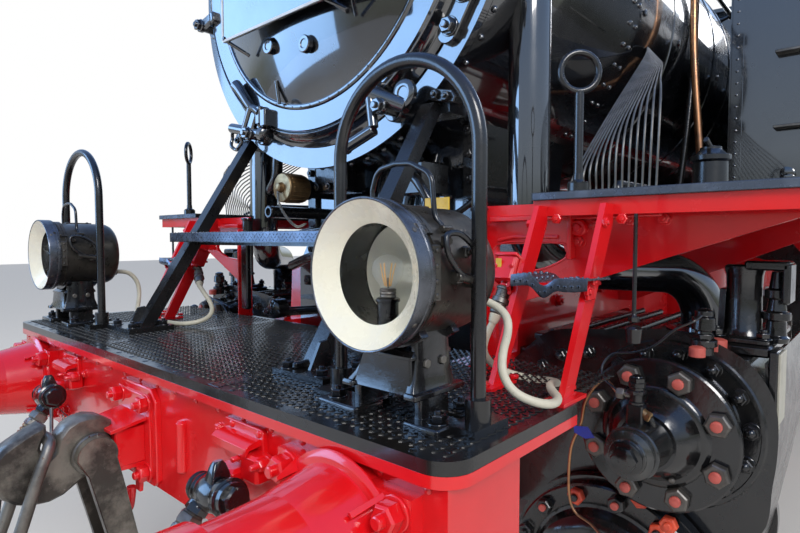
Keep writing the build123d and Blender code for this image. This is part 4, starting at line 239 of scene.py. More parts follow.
class Solid:
    """Gathers simple closed forms, in millimetres of the row frame, into one piece."""

    def __init__(self, name, material, body="engine"):
        self.name = name
        self.body = body
        self.verts = []
        self.faces = []
        self.indices = []
        self.materials = [material]
        self.current = 0

    def use(self, material):
        if material not in self.materials:
            self.materials.append(material)
        self.current = self.materials.index(material)
        return self

    def add(self, points, faces):
        start = len(self.verts)
        self.verts.extend(Vector(p) for p in points)
        self.faces.extend([start + i for i in face] for face in faces)
        self.indices.extend([self.current] * len(faces))

    def rings(self, rows, closed=False, cap=True):
        """Skin over rows of points; every row has the same number of points, going round."""
        count = len(rows[0])
        faces = []
        total = len(rows)
        for i in range(total if closed else total - 1):
            low = i * count
            high = (i + 1) % total * count
            for k in range(count):
                m = (k + 1) % count
                faces.append((low + k, low + m, high + m, high + k))
        if cap and not closed:
            faces.append(tuple(reversed(range(count))))
            faces.append(tuple(range((total - 1) * count, total * count)))
        self.add([p for row in rows for p in row], faces)

    def lathe(self, start, axis, profile, segments=48, cap=True, closed=False):
        """Turn a profile of (distance along the axis, radius) about the axis from start."""
        axis = Vector(axis).normalized()
        side = axis.orthogonal().normalized()
        up = axis.cross(side)
        start = Vector(start)
        rows = []
        for along, radius in profile:
            radius = max(radius, 0.01)
            rows.append([
                start + axis * along + (side * u + up * v) * radius for _, u, v in around(segments, 1)
            ])
        self.rings(rows, closed, cap)

    def rod(self, start, end, radius, segments=20):
        start, end = Vector(start), Vector(end)
        length = (end - start).length
        edge = min(radius * 0.12, length * 0.2, 2)
        self.lathe(start, end - start, [
            (0, radius - edge), (edge, radius), (length - edge, radius), (length, radius - edge)
        ], segments)

    def prism(self, outline, origin, u, v, depth, edge=0.0):
        """Extrude an outline of (u, v) points from origin along u x v, with its far rim chamfered by edge."""
        origin, u, v = Vector(origin), Vector(u).normalized(), Vector(v).normalized()
        n = u.cross(v)
        area = sum(a[0] * b[1] - b[0] * a[1] for a, b in zip(outline, outline[1:] + outline[:1]))
        if area < 0:
            outline = list(reversed(outline))
        rows = [[origin + u * a + v * b for a, b in outline]]
        if edge:
            rows.append([origin + u * a + v * b + n * (depth - edge) for a, b in outline])
            small = inset(outline, edge)
            rows.append([origin + u * a + v * b + n * depth for a, b in small])
        else:
            rows.append([origin + u * a + v * b + n * depth for a, b in outline])
        self.rings(rows)

    def block(self, centre, size, u=X, v=Y, edge=1.5):
        """A block with all its edges chamfered."""
        centre, u, v = Vector(centre), Vector(u).normalized(), Vector(v).normalized()
        w = u.cross(v)
        a, b, c = (s / 2 for s in size)
        e = min(edge, a * 0.45, b * 0.45, c * 0.45)

        def ring(inset_by, height):
            p, q = a - inset_by, b - inset_by
            corners = [(-p + e, -q), (p - e, -q), (p, -q + e), (p, q - e), (p - e, q), (-p + e, q),
                       (-p, q - e), (-p, -q + e)]
            return [centre + u * s + v * t + w * height for s, t in corners]

        self.rings([ring(e, -c), ring(0, -c + e), ring(0, c - e), ring(e, c)])

    def box(self, low, high, edge=1.5):
        """A block between any two opposite corners."""
        low, high = Vector(low), Vector(high)
        self.block((low + high) / 2, [abs(length) for length in high - low], edge=edge)

    def tube(self, points, radius, segments=12, closed=False, cap=True):
        """A tube along points; radius is a number, or a function of the share of the way."""
        points = [Vector(p) for p in points]
        count = len(points)
        tangents = []
        for i in range(count):
            before = points[i - 1] if (i or closed) else points[i]
            after = points[(i + 1) % count] if (i < count - 1 or closed) else points[i]
            tangents.append((after - before).normalized())
        side = tangents[0].orthogonal().normalized()
        rows = []
        for i, (point, tangent) in enumerate(zip(points, tangents)):
            side = (side - tangent * side.dot(tangent)).normalized()
            up = tangent.cross(side)
            r = radius(i / (count - 1)) if callable(radius) else radius
            rows.append([
                point + (side * u + up * v) * r for _, u, v in around(segments, 1)
            ])
        self.rings(rows, closed, cap)

    def nut(self, at, axis, across, height, turn=0.0, stud=0.0, washer=0.0, stud_material=None):
        """A hexagonal nut or bolt head on a face, with an optional stud end and washer."""
        at, axis = Vector(at), Vector(axis).normalized()
        side = axis.orthogonal().normalized()
        side.rotate(Matrix.Rotation(turn, 3, axis))
        up = axis.cross(side)
        r = across / math.sqrt(3)

        def hexagon(radius, along):
            return [
                at + axis * along + (side * math.cos(a) + up * math.sin(a)) * radius
                for a in (math.pi / 3 * k for k in range(6))
            ]

        base = 0
        if washer:
            base = across * 0.1
            self.lathe(at, axis, [(0, washer), (base * 0.7, washer), (base, washer * 0.95)], 18)
        self.rings([
            hexagon(r * 0.93, base), hexagon(r, base + height * 0.12), hexagon(r, base + height * 0.85),
            hexagon(r * 0.84, base + height)
        ])
        if stud:
            used = self.current
            if stud_material:
                self.use(stud_material)
            top = base + height + stud
            self.lathe(at, axis, [(base, across * 0.26), (top - 2, across * 0.26), (top, across * 0.2)], 12)
            self.current = used

    def finish(self, bevel=0.0, slot=None, replaces=()):
        """Make the mesh, tie it to its body and hide the carried-over parts it replaces; bevel is in
        millimetres.
        """
        mesh = bpy.data.meshes.new(self.name)
        mesh.from_pydata([p * MM for p in self.verts], [], self.faces)
        for material in self.materials:
            mesh.materials.append(material)
        mesh.polygons.foreach_set("material_index", self.indices)
        mesh.update()
        mesh.shade_smooth()
        mesh.set_sharp_from_angle(angle=math.radians(SHARP_DEGREES))
        piece = put_in_scene(self.name, mesh)
        if bevel:
            modifier = piece.modifiers.new("edges", "BEVEL")
            modifier.width = bevel * MM
            modifier.segments = 2 if bevel > FINE_BEVEL else 1
            modifier.limit_method = "ANGLE"
            modifier.angle_limit = math.radians(BEVEL_DEGREES)
        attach(piece, self.body)
        if replaces:
            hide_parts(*replaces)
        return piece


def inset(outline, by):
    """Move each side of a counter-clockwise outline inwards."""
    count = len(outline)
    result = []
    for i in range(count):
        a, b, c = Vector(outline[i - 1]), Vector(outline[i]), Vector(outline[(i + 1) % count])
        first = (b - a).normalized()
        second = (c - b).normalized()
        n1 = Vector((-first.y, first.x))
        n2 = Vector((-second.y, second.x))
        share = by / max(0.3, 1 + n1.dot(n2))
        p = b + (n1 + n2) * share
        result.append((p.x, p.y))
    return result


def arc(centre, radius, start, end, count):
    """Points along a circle, angles in degrees."""
    return [
        (centre[0] + radius * math.cos(math.radians(a)), centre[1] + radius * math.sin(math.radians(a)))
        for a in (start + (end - start) * k / count for k in range(count + 1))
    ]


def rounded(half_u, half_v, radius, steps=5):
    """A rectangle's outline with round corners."""
    a, b, r = half_u, half_v, radius
    return (arc((a - r, b - r), r, 0, 90, steps) + arc((r - a, b - r), r, 90, 180,
                                                       steps) + arc((r - a, r - b), r, 180, 270,
                                                                    steps) + arc((a - r, r - b), r, 270, 360,
                                                                                 steps))


def smooth(points, steps=8, closed=False):
    """A Catmull-Rom line through points."""
    points = [Vector(p) for p in points]
    count = len(points)
    line = []
    spans = count if closed else count - 1
    for i in range(spans):
        if closed:
            p0, p1, p2, p3 = (points[(i + k) % count] for k in (-1, 0, 1, 2))
        else:
            p0, p1, p2, p3 = (points[max(0, min(count - 1, i + k))] for k in (-1, 0, 1, 2))
        for k in range(steps):
            t = k / steps
            line.append(0.5
                        * (2 * p1 + (p2 - p0) * t + (2 * p0 - 5 * p1 + 4 * p2 - p3) * t * t
                           + (3 * p1 - p0 - 3 * p2 + p3) * t ** 3))
    if not closed:
        line.append(points[-1])
    return line


def bent(points, radius, steps=6):
    """Straight runs with round corners of one radius."""
    points = [Vector(p) for p in points]
    line = [points[0]]
    for a, b, c in zip(points, points[1:], points[2:]):
        u, v = (a - b).normalized(), (c - b).normalized()
        half = u.angle(v) / 2
        reach = min(radius / math.tan(half), (a - b).length * 0.49, (c - b).length * 0.49)
        for k in range(steps + 1):
            t = k / steps
            p, q = b + u * reach, b + v * reach
            line.append(p.lerp(b, t).lerp(b.lerp(q, t), t))
    line.append(points[-1])
    return line


def rounded_box(low_u, high_u, low_v, high_v, radius, steps=4):
    """The same outline, by its limits."""
    middle_u, middle_v = (low_u + high_u) / 2, (low_v + high_v) / 2
    return [(middle_u + a, middle_v + b) for a, b in rounded((high_u - low_u) / 2, (high_v - low_v) / 2,
                                                             radius, steps)]


def outward(degrees):
    """The direction square to X at an angle from +Y towards +Z."""
    return Vector((0, math.cos(math.radians(degrees)), math.sin(math.radians(degrees))))


def arc_bar(piece, centre, low_x, high_x, inner, outer, start, end, count=24):
    """A band along part of a circle about the X direction, angles from +Y towards +Z."""
    rows = []
    for k in range(count + 1):
        a = math.radians(start + (end - start) * k / count)
        y, z = math.cos(a), math.sin(a)
        rows.append([(px, centre[0] + y * r, centre[1] + z * r)
                     for px, r in ((low_x, inner), (high_x, inner), (high_x, outer), (low_x, outer))])
    piece.rings(rows)


def flipped(rows):
    """Rows of points that go round the other way."""
    return [row[::-1] for row in rows]


def around(count, radius, start=0.0):
    """Places in equal steps round a circle: angle in radians, and the two distances from the centre."""
    angles = (2 * math.pi * k / count + start for k in range(count))
    return [(a, radius * math.cos(a), radius * math.sin(a)) for a in angles]


# Carried-over nodes and their finishes
FINISHES = {
    RED: ["wheels_front", "wheels_middle", "wheels_driven", "buffer_beams", "buffer_housings", "frame_plates",
          "valances", "steps"], BLACK: ["smokebox", "frame_cross_members", "smokebox_door",
                                        "smokebox_door_fittings", "boiler", "chimney", "boiler_mountings",
                                        "side_tanks", "cab_end_walls", "cab_sides", "cab_door_left",
                                        "cab_door_right", "cab_roof", "steam_pipes", "tank_lid_left",
                                        "tank_lid_right", "coal_bunker"], CAST_BLACK: ["cylinders",
                                                                                       "cylinder_covers",
                                                                                       "air_pump",
                                                                                       "axleboxes",
                                                                                       "brake_gear",
                                                                                       "lamp_stands"],
    SATIN_BLACK: ["front_struts", "step_plate", "handrails", "running_boards", "slide_bars"],
    DECK: ["front_platform"], STEEL: ["coupling_rod_left", "coupling_rod_right", "main_rods", "crossheads",
                                      "valve_gear"], DULL_STEEL: ["couplings", "buffer_heads", "brake_cocks",
                                                                  "cable_boxes", "backhead_fittings"],
    TREAD_STEEL: ["tyres_front", "tyres_middle", "tyres_driven"], WOOD: ["cab_floor"],
    LAMP_SKIN: ["lamp_bodies"], LAMP_GLASS: ["lamp_glasses"],
}
for finish, names in FINISHES.items():
    for name in names:
        data = nodes[name].data
        data.materials.clear()
        data.materials.append(finish)


# Cords: the same points as in the part's source
LAMP_BACK_X = 3933
CABLE_DIAMETER = 0.018
HOSE_DIAMETER = 0.042
CORDS = {
    "lamp_cable_left": (CABLE_DIAMETER, SHEATH, "cable_sheath", "object", [
        (LAMP_BACK_X, 880, 1492), (3889, 880, 1492), (3854, 905, 1484), (3840, 946, 1472), (3852, 988, 1450),
        (3880, 1006, 1418), (3915, 1014, 1386), (3945, 1030, 1350), (3954, 1061, 1318), (3936, 1101, 1301),
        (3895, 1120, 1293), (3849, 1107, 1293), (3812, 1074, 1293), (3770, 1046, 1293), (3723, 1032, 1286),
        (3675, 1022, 1275), (3638, 989, 1267), (3626, 939, 1261), (3641, 887, 1265), (3677, 850, 1286),
        (3716, 838, 1325), (3730, 850, 1368), (3722, 868, 1408),
    ]), "lamp_cable_right": (CABLE_DIAMETER, SHEATH, "cable_sheath", "object", [
        (LAMP_BACK_X, -884, 1476), (3897, -884, 1476), (3864, -884, 1457), (3843, -882, 1421),
        (3841, -876, 1378), (3852, -862, 1337), (3870, -836, 1305), (3886, -794, 1287), (3894, -740, 1284),
        (3890, -676, 1284), (3880, -612, 1284), (3872, -548, 1284), (3866, -488, 1284), (3850, -442, 1286),
        (3814, -412, 1292), (3768, -412, 1306), (3736, -440, 1330), (3722, -486, 1360), (3716, -540, 1388),
        (3708, -592, 1414),
    ]),
}
UNION_PLACE = (4302, 515, 1062)
UNION_WAY = (75, -8, -85)
HOSE_END = (4481, 489, 566)
HOSE_START = Vector(UNION_PLACE) + Vector(UNION_WAY).normalized() * 70
HOSE_SECOND = HOSE_START + Vector(UNION_WAY).normalized() * 114
for side_name, side in SIDES.items():
    CORDS[f"brake_hose_{side_name}"] = (HOSE_DIAMETER, RUBBER, "hose_rubber", "fitting", [
        (x, side * y, z) for x, y, z in (HOSE_START, HOSE_SECOND, (4471, 495, 810), (4481, 489, 686),
                                         HOSE_END)
    ])


def cord_length(curve_object):
    """The length of the curve's own line in metres, read from its mesh with no bevel."""
    data = curve_object.data
    depth = data.bevel_depth
    data.bevel_depth = 0
    bpy.context.view_layer.update()
    line = bpy.data.meshes.new_from_object(curve_object.evaluated_get(bpy.context.evaluated_depsgraph_get()))
    points = [v.co.copy() for v in line.vertices]
    data.bevel_depth = depth
    return sum((b - a).length for a, b in zip(points, points[1:]))


def coupling_head(side_name, side):
    """The cast head on the hose's free end, with its collar, clip and round seal face."""
    x, y, z = HOSE_END[0], side * HOSE_END[1], HOSE_END[2]
    head = Solid(f"hose_coupling_{side_name}", DULL_STEEL)
    head.lathe((x, y, z + 6), -Z, [(0, 23), (2, 26), (52, 26), (56, 22), (66, 22), (74, 27)], 28)
    head.use(STEEL)
    for drop in (12, 40):
        head.lathe((x, y, z - drop), -Z, [(0, 26), (1, 28.5), (9, 28.5), (10, 26)], 28)
        head.nut((x + 28, y, z - drop - 5), X, 14, 8, 0.2, stud=3)
    head.use(CAST_BLACK)
    head.tube(smooth([(x, y, z - 60), (x, y + side * 3, z - 84), (x, y + side * 12, z - 103)], 6),
              lambda t: 27 + 4 * math.sin(t * math.pi / 2), 24)
    head.lathe((x, y - side * 16, z - 100), Y * side, [(0, 27), (3, 33), (40, 36), (46, 34), (50, 26)], 32)
    head.use(RUBBER)
    head.lathe((x, y + side * 33, z - 100), Y * side, [(0, 22), (6, 22), (8, 14), (3, 12)], 28)
    head.use(DULL_STEEL)
    head.prism([(-34, -6), (-30, -24), (-12, -37), (14, -38), (30, -26), (34, -8), (22, -4), (0, -14),
                (-22, -4)], (x, y + side * 34, z - 100), X, Z, -12 * side, 1.5)
    head.prism([(24, 4), (36, 8), (36, 34), (26, 38), (20, 24)], (x, y + side * 26, z - 100), X, Z,
               -14 * side, 1.5)
    return head.finish(bevel=1)


def make_cord(name, diameter, material, slot, far_end, route):
    """A smooth round cord along its route, with the cast head where it ends in a fitting."""
    curve = bpy.data.curves.new(f"{name}_line", "CURVE")
    curve.dimensions = "3D"
    curve.resolution_u = 12
    spline = curve.splines.new("NURBS")
    spline.points.add(len(route) - 1)
    for point, place in zip(spline.points, route):
        point.co = (*(Vector(place) * MM), 1)
    spline.order_u = 3
    spline.use_endpoint_u = True
    curve.bevel_depth = diameter / 2
    curve.bevel_resolution = 5
    curve.use_fill_caps = True
    curve.materials.append(material)
    piece = put_in_scene(f"{name}_piece", curve)
    length = round(cord_length(piece), 3)
    ends = []
    if far_end == "fitting":
        side_name = name.rsplit("_", 1)[1]
        ends = [coupling_head(side_name, SIDES[side_name])]
    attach(piece, "engine")
    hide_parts(name)


for name, facts in CORDS.items():
    make_cord(name, *facts)

# Lamps: drum, ring, coned hood, glass, mirror, bulb, bail, side handle and clip
LAMP_LENGTH = 270
DRUM_R = 125
RING_R = 138
HOOD_DEPTH = 35
HOOD_INNER_R = 92
MIRROR_RIM_DEPTH = 110


def lamp(name, side):
    """One lamp with everything on its drum."""
    y, z, front = side * LAMP_Y, LAMP_Z, LAMP_FRONT_X
    back = front - LAMP_LENGTH
    body = Solid(f"lamp_body_{name}", LAMP_SKIN)
    body.lathe((back, y, z), X, [
        (0, 0), (0, 60), (2, 94), (7, 108), (15, 117), (27, 123), (42, DRUM_R), (226, DRUM_R),
        (228, DRUM_R + 1), (228, 100), (150, 96), (60, 90), (40, 0)
    ], 96)
    body.use(LAMP_RING)
    body.lathe((front - 44, y, z), X, [
        (0, DRUM_R - 2), (0, RING_R - 5), (2, RING_R - 1), (5, RING_R), (12, RING_R), (13.5, RING_R - 1.6),
        (17, RING_R - 1.6), (18.5, RING_R), (41, RING_R), (43.5, RING_R - 1), (44, RING_R - 2.5),
        (43.5, RING_R - 4), (42, RING_R - 5), (38, RING_R - 9), (20, RING_R - 9)
    ], 112, closed=True)
    body.use(ENAMEL)
    body.lathe((front, y, z), -X, [
        (1.5, RING_R - 5), (6, RING_R - 10), (HOOD_DEPTH, HOOD_INNER_R), (HOOD_DEPTH + 2, HOOD_INNER_R + 2),
        (18, RING_R - 8)
    ], 96, closed=True)
    body.use(SATIN_BLACK)
    body.lathe((front, y, z), -X, [
        (HOOD_DEPTH + 1, HOOD_INNER_R + 1), (MIRROR_RIM_DEPTH, HOOD_INNER_R + 3),
        (MIRROR_RIM_DEPTH + 4, HOOD_INNER_R + 5), (HOOD_DEPTH + 2, HOOD_INNER_R + 4)
    ], 96, closed=True)
    body.use(MIRROR)
    bowl = [(MIRROR_RIM_DEPTH + 82 * (1 - (r / 94) ** 2), r) for r in (94, 88, 80, 70, 58, 45, 32, 20, 12)]
    body.lathe((front, y, z), -X, bowl + [(d + 3, r) for d, r in reversed(bowl)], 96, closed=True)
    # Bulb holder with its cap, and the wires to it
    bulb_x = front - 72
    body.use(SATIN_BLACK)
    body.rod((bulb_x, y, z - 96), (bulb_x, y, z - 50), 20, 24)
    body.lathe((bulb_x, y, z - 54), Z, [(0, 21), (2, 23), (7, 23), (9, 19)], 28)
    body.use(NUT_STEEL)
    body.lathe((bulb_x, y, z - 46), Z, [(0, 14), (3, 16), (6, 14.5), (9, 16), (12, 14.5), (15, 16), (18, 14)],
               24)
    body.use(DULL_STEEL)
    for angle in (35, 145, 215, 325):
        body.nut(Vector((front - 14, y, z)) + outward(angle) * (RING_R - 1.5), outward(angle), 9, 3)
    # Clamp strap round the drum behind the ring, with its clip on the left flank
    body.use(LAMP_SKIN)
    for low_x, high_x in ((-70, -60), (-58, -50)):
        arc_bar(body, (y, z), front + low_x, front + high_x, DRUM_R - 2, DRUM_R + 7, 34, 118)
    arc_bar(body, (y, z), front - 72, front - 48, DRUM_R - 2, DRUM_R + 4, 34, 120)
    for low_x, high_x in ((-66, -63), (-46, -44)):
        arc_bar(body, (y, z), front + low_x, front + high_x, DRUM_R - 2, DRUM_R + 2.5, -150, 34, 60)
    body.block((front - 52, y + DRUM_R + 3, z + 6), (22, 7, 96), edge=2)
    for step in (-38, -14, 12, 38):
        body.lathe((front - 52, y + DRUM_R + 6, z + 6 + step), Y, [(0, 5), (1.5, 4.6), (3, 2.5)], 14)
    clip_y = y + 92
    body.block((front - 42, clip_y + 3, z + 76), (30, 18, 22), u=X, v=(0, 0.75, -0.66), edge=3)
    body.nut((front - 30, clip_y + 10, z + 82), X, 15, 9, 0.3, stud=4)
    body.rod((front - 62, clip_y + 2, z + 88), (front - 22, clip_y + 2, z + 88), 4, 12)
    # Lid band on top, with a hinge and two vents at the back of the drum
    body.block((front - 150, y - 20, z + DRUM_R + 1), (96, 34, 6), edge=2)
    for step in (-36, 36):
        body.lathe((front - 150 + step, y - 20, z + DRUM_R + 3), Z, [(0, 6), (2, 5.5), (4, 3)], 14)
    body.use(DULL_STEEL)
    body.rod((back + 2, y, z + 20), (back - 9, y, z + 20), 17, 24)
    body.nut((back - 9, y, z + 20), -X, 20, 7, 0.4)
    # Gland for the cable
    gland_y, gland_z = (880, 1492) if side > 0 else (-884, 1476)
    body.lathe((back + 2, gland_y, gland_z), -X, [(0, 15), (3, 15), (4, 12), (9, 12), (10, 14.5),
                                                  (13.5, 14.5), (13.5, 10)], 24)
    body.finish(slot="lamp_metal", replaces=["lamp_bodies", "lamp_glasses"])

    bail = Solid(f"lamp_bail_{name}", SATIN_BLACK)
    bail_x = front - 115
    left, right, top = y + 74, y - 80, z + 207
    line = bent([
        (bail_x - 2, right - 14, z + 84), (bail_x, right, z + 104), (bail_x, right - 2, z + 160),
        (bail_x, right + 12, top - 8), (bail_x, right + 60, top), (bail_x, left - 56, top - 2),
        (bail_x, left - 6, top - 26), (bail_x, left + 2, z + 103), (bail_x - 4, left + 22, z + 80)
    ], 34, 8)
    bail.tube(line, 5.2, 14)
    bail.use(LAMP_SKIN)
    for foot_y, turn in ((right - 14, -1), (left + 22, 1)):
        out = Vector((0, turn * 0.86, 0.5)).normalized()
        at = Vector((bail_x - 3, foot_y, z + 80)) - out * 8
        bail.lathe(at, out, [(0, 17), (3, 17), (5, 14)], 22)
        bail.nut(at + out * 4, out, 17, 9, 0.2, stud=3)
        bail.rod(at + out * 12 - X * 14, at + out * 12 + X * 14, 6.5, 14)
    # Side handle: an oblong loop on two lugs
    flank = y + DRUM_R
    handle_y = flank + 14
    corners = [(front - 72, z + 65), (front - 76, z + 34), (front - 112, z + 2), (front - 158, z - 6),
               (front - 166, z + 14), (front - 150, z + 46), (front - 112, z + 70), (front - 88, z + 74)]
    bail.use(SATIN_BLACK)
    bail.tube(smooth([(px, handle_y - (4 if k in (0, 7) else 0), pz) for k, (px, pz) in enumerate(corners)],
                     6, True), 5.6, 12, closed=True)
    bail.use(LAMP_SKIN)
    bail.rod((front - 98, handle_y, z - 2), (front - 160, handle_y, z - 13), 8, 16)
    for px, pz in ((front - 106, z - 1), (front - 148, z - 9)):
        bail.block((px, flank + 5, pz - 2), (16, 24, 26), edge=3)
    for px, pz in ((front - 90, z + 60), (front - 150, z + 40)):
        bail.block((px, flank - 6, pz), (14, 14, 22), edge=3)
        bail.nut((px, flank, pz), Y, 12, 6, 0.1)
    bail.finish(slot="lamp_metal")

    glass = Solid(f"lamp_glass_{name}", LAMP_GLASS)
    glass.lathe((front - HOOD_DEPTH - 4, y, z), X, [(0, HOOD_INNER_R + 1), (3, HOOD_INNER_R + 1)], 64)
    glass.use(BULB_GLASS)
    bulb = [(0, 12), (6, 14), (16, 22), (28, 28.5), (40, 30), (52, 26), (60, 18), (64, 9), (65, 2)]
    glass.lathe((bulb_x, y, z - 30), Z, bulb, 40)
    glass.finish(slot="clear_glass")

    wires = Solid(f"lamp_filaments_{name}", FILAMENT)
    for _, u, v in around(6, 1, 0.2):
        low_at = Vector((bulb_x + 5 * u, y + 5 * v, z - 24))
        high_at = Vector((bulb_x + 14 * u, y + 14 * v, z + 18))
        wires.tube([low_at, low_at.lerp(high_at, 0.5) + Vector((2, 1, 0)), high_at], 1.2, 6)
    wires.use(DULL_STEEL)
    wires.rod((bulb_x, y, z - 30), (bulb_x, y, z - 8), 2.2, 8)
    wires.finish(slot="clear_glass")


for name, side in SIDES.items():
    lamp(name, side)


# Lamp stands: two cast flanks with a ledge and separate feet, a plate between them and a saddle for the drum
def lamp_stand(name, side):
    x, y, foot = LAMP_FRONT_X - 130, side * LAMP_Y, DECK_TOP_Z
    stand = Solid(f"lamp_stand_{name}", CAST_BLACK)

    def wall(*levels):
        stand.rings([[(x + px, y + py, z) for px, py in rounded_box(*extent, 4, 3)] for z, *extent in levels])

    wall((1446, -46, 50, 48, 62), (1400, -48, 52, 50, 65), (1370, -50, 57, 50, 66), (1346, -58, 66, 50, 69),
         (1336, -64, 70, 50, 72))
    wall((1340, -74, 72, 52, 76), (1337, -77, 74, 50, 80), (1329, -77, 74, 50, 80), (1326, -72, 70, 52, 76))
    wall((1330, -40, 44, 50, 68), (1288, -40, 44, 50, 70), (1284, -44, 48, 46, 76))
    wall((1446, -46, 50, -62, -50), (1410, -48, 52, -68, -54), (1380, -50, 54, -76, -60),
         (1356, -54, 60, -90, -72), (1338, -60, 66, -106, -88))
    wall((1340, -66, 70, -112, -84), (1336, -68, 72, -114, -82), (1329, -68, 72, -114, -82))
    wall((1330, -40, 46, -106, -86), (1288, -40, 46, -106, -86), (1284, -44, 50, -112, -80))
    wall((1402, 52, 60, -60, 56), (1398, 56, 64, -62, 60), (1340, 56, 64, -86, 62), (1333, 54, 66, -92, 64))
    wall((1402, -50, -42, -60, 56), (1333, -52, -44, -86, 62))
    wall((1412, -50, 56, -60, 60), (1404, -54, 66, -66, 64), (1398, -54, 66, -66, 64))
    for low_x, high_x in ((-56, -38), (38, 58)):
        arc_bar(stand, (y, LAMP_Z), x + low_x, x + high_x, DRUM_R - 2, DRUM_R + 14, -126, -54)
    for low_x, high_x, low_y, high_y in ((-12, 72, 44, 128), (-98, -34, 40, 110), (-6, 74, -189, -70),
                                         (-96, -30, -170, -74)):
        stand.rings([
            [(x + px, y + py, foot + h) for px, py in rounded_box(low_x + e, high_x - e, low_y + e,
                                                                  high_y - e, 7, 3)] for h, e in ((0, 0),
                                                                                                  (13, 0),
                                                                                                  (16, 2.5))
        ])
        bolt_y = high_y - 26 if low_y > 0 else low_y + 30
        stand.nut((x + (low_x + high_x) / 2 + 8, y + bolt_y, foot + 16), Z, 27, 15, 0.3, stud=7, washer=20)
    stand.use(DULL_STEEL)
    for px in (-22, 26):
        stand.nut((x + px, y + 65, 1388), Y, 16, 6, 0.2)
    stand.finish(bevel=1.2, slot="black_satin", replaces=["lamp_stands"])


for name, side in SIDES.items():
    lamp_stand(name, side)


def tread_bars(piece, low, high, top, pitch_x, pitch_y, size, rise):
    """Raised lozenges of a tread plate, in rows that lean to either side in turn."""
    long, wide = size
    row = 0
    x = low[0]
    while x < high[0]:
        turn = math.radians(150 if row % 2 else 60)
        c, s = math.cos(turn), math.sin(turn)
        y = low[1] + (row % 2) * pitch_y / 2
        while y < high[1]:
            rows = []
            for height, a, b in ((-0.5, long / 2, wide / 2), (rise, long / 2 - 1, wide / 2 - 0.5)):
                outline = [(-a, 0), (0, -b), (a, 0), (0, b)]
                rows.append([(x + u * c - v * s, y + u * s + v * c, top + height) for u, v in outline])
            piece.rings(rows)
            y += pitch_y
        x += pitch_x
        row += 1


tread = Solid("platform_tread_bars", DECK)
tread_bars(tread, (3508, -1085), (4205, 1090), DECK_TOP_Z, 12.5, 24, (20, 6), 2.2)
tread.finish(slot="black_satin")

# The red angle that shows under the platform's front and side edges
DECK_FRONT_X = 4235
DECK_HALF_WIDTH = 1120
DECK_SIDE_BACK_X = 3792
DECK_CORNER_R = 60
edge_angle = Solid("platform_edge_angle", RED)
corner_x, corner_y = DECK_FRONT_X - DECK_CORNER_R, DECK_HALF_WIDTH - DECK_CORNER_R
stations = [(DECK_SIDE_BACK_X, corner_y, 90)] + [(corner_x, corner_y, 90 - 15 * k) for k in range(7)]
stations += [(corner_x, -corner_y, -15 * k) for k in range(7)] + [(DECK_SIDE_BACK_X, -corner_y, -90)]
rows = []
for x, y, degrees in stations:
    c, s = math.cos(math.radians(degrees)), math.sin(math.radians(degrees))
    rows.append([(x + c * (DECK_CORNER_R + out), y + s * (DECK_CORNER_R + out), DECK_TOP_Z + z)
                 for out, z in ((-1, -45), (0.8, -45), (0.8, -24), (-1, -24))])
edge_angle.rings(rows)
edge_angle.finish(slot="red_gloss")

edge_trim = Solid("platform_edge_strip", DECK)
for joint_y in (-330, 420):
    edge_trim.box((3490, joint_y - 24, DECK_TOP_Z - 0.5), (4226, joint_y + 24, DECK_TOP_Z + 1.2), edge=0.8)
for k in range(24):
    edge_trim.lathe((4218, -1040 + k * 90, DECK_TOP_Z - 1), Z, [(0, 8), (1.5, 7.6), (2.4, 5)], 14)
edge_trim.finish(slot="black_satin")


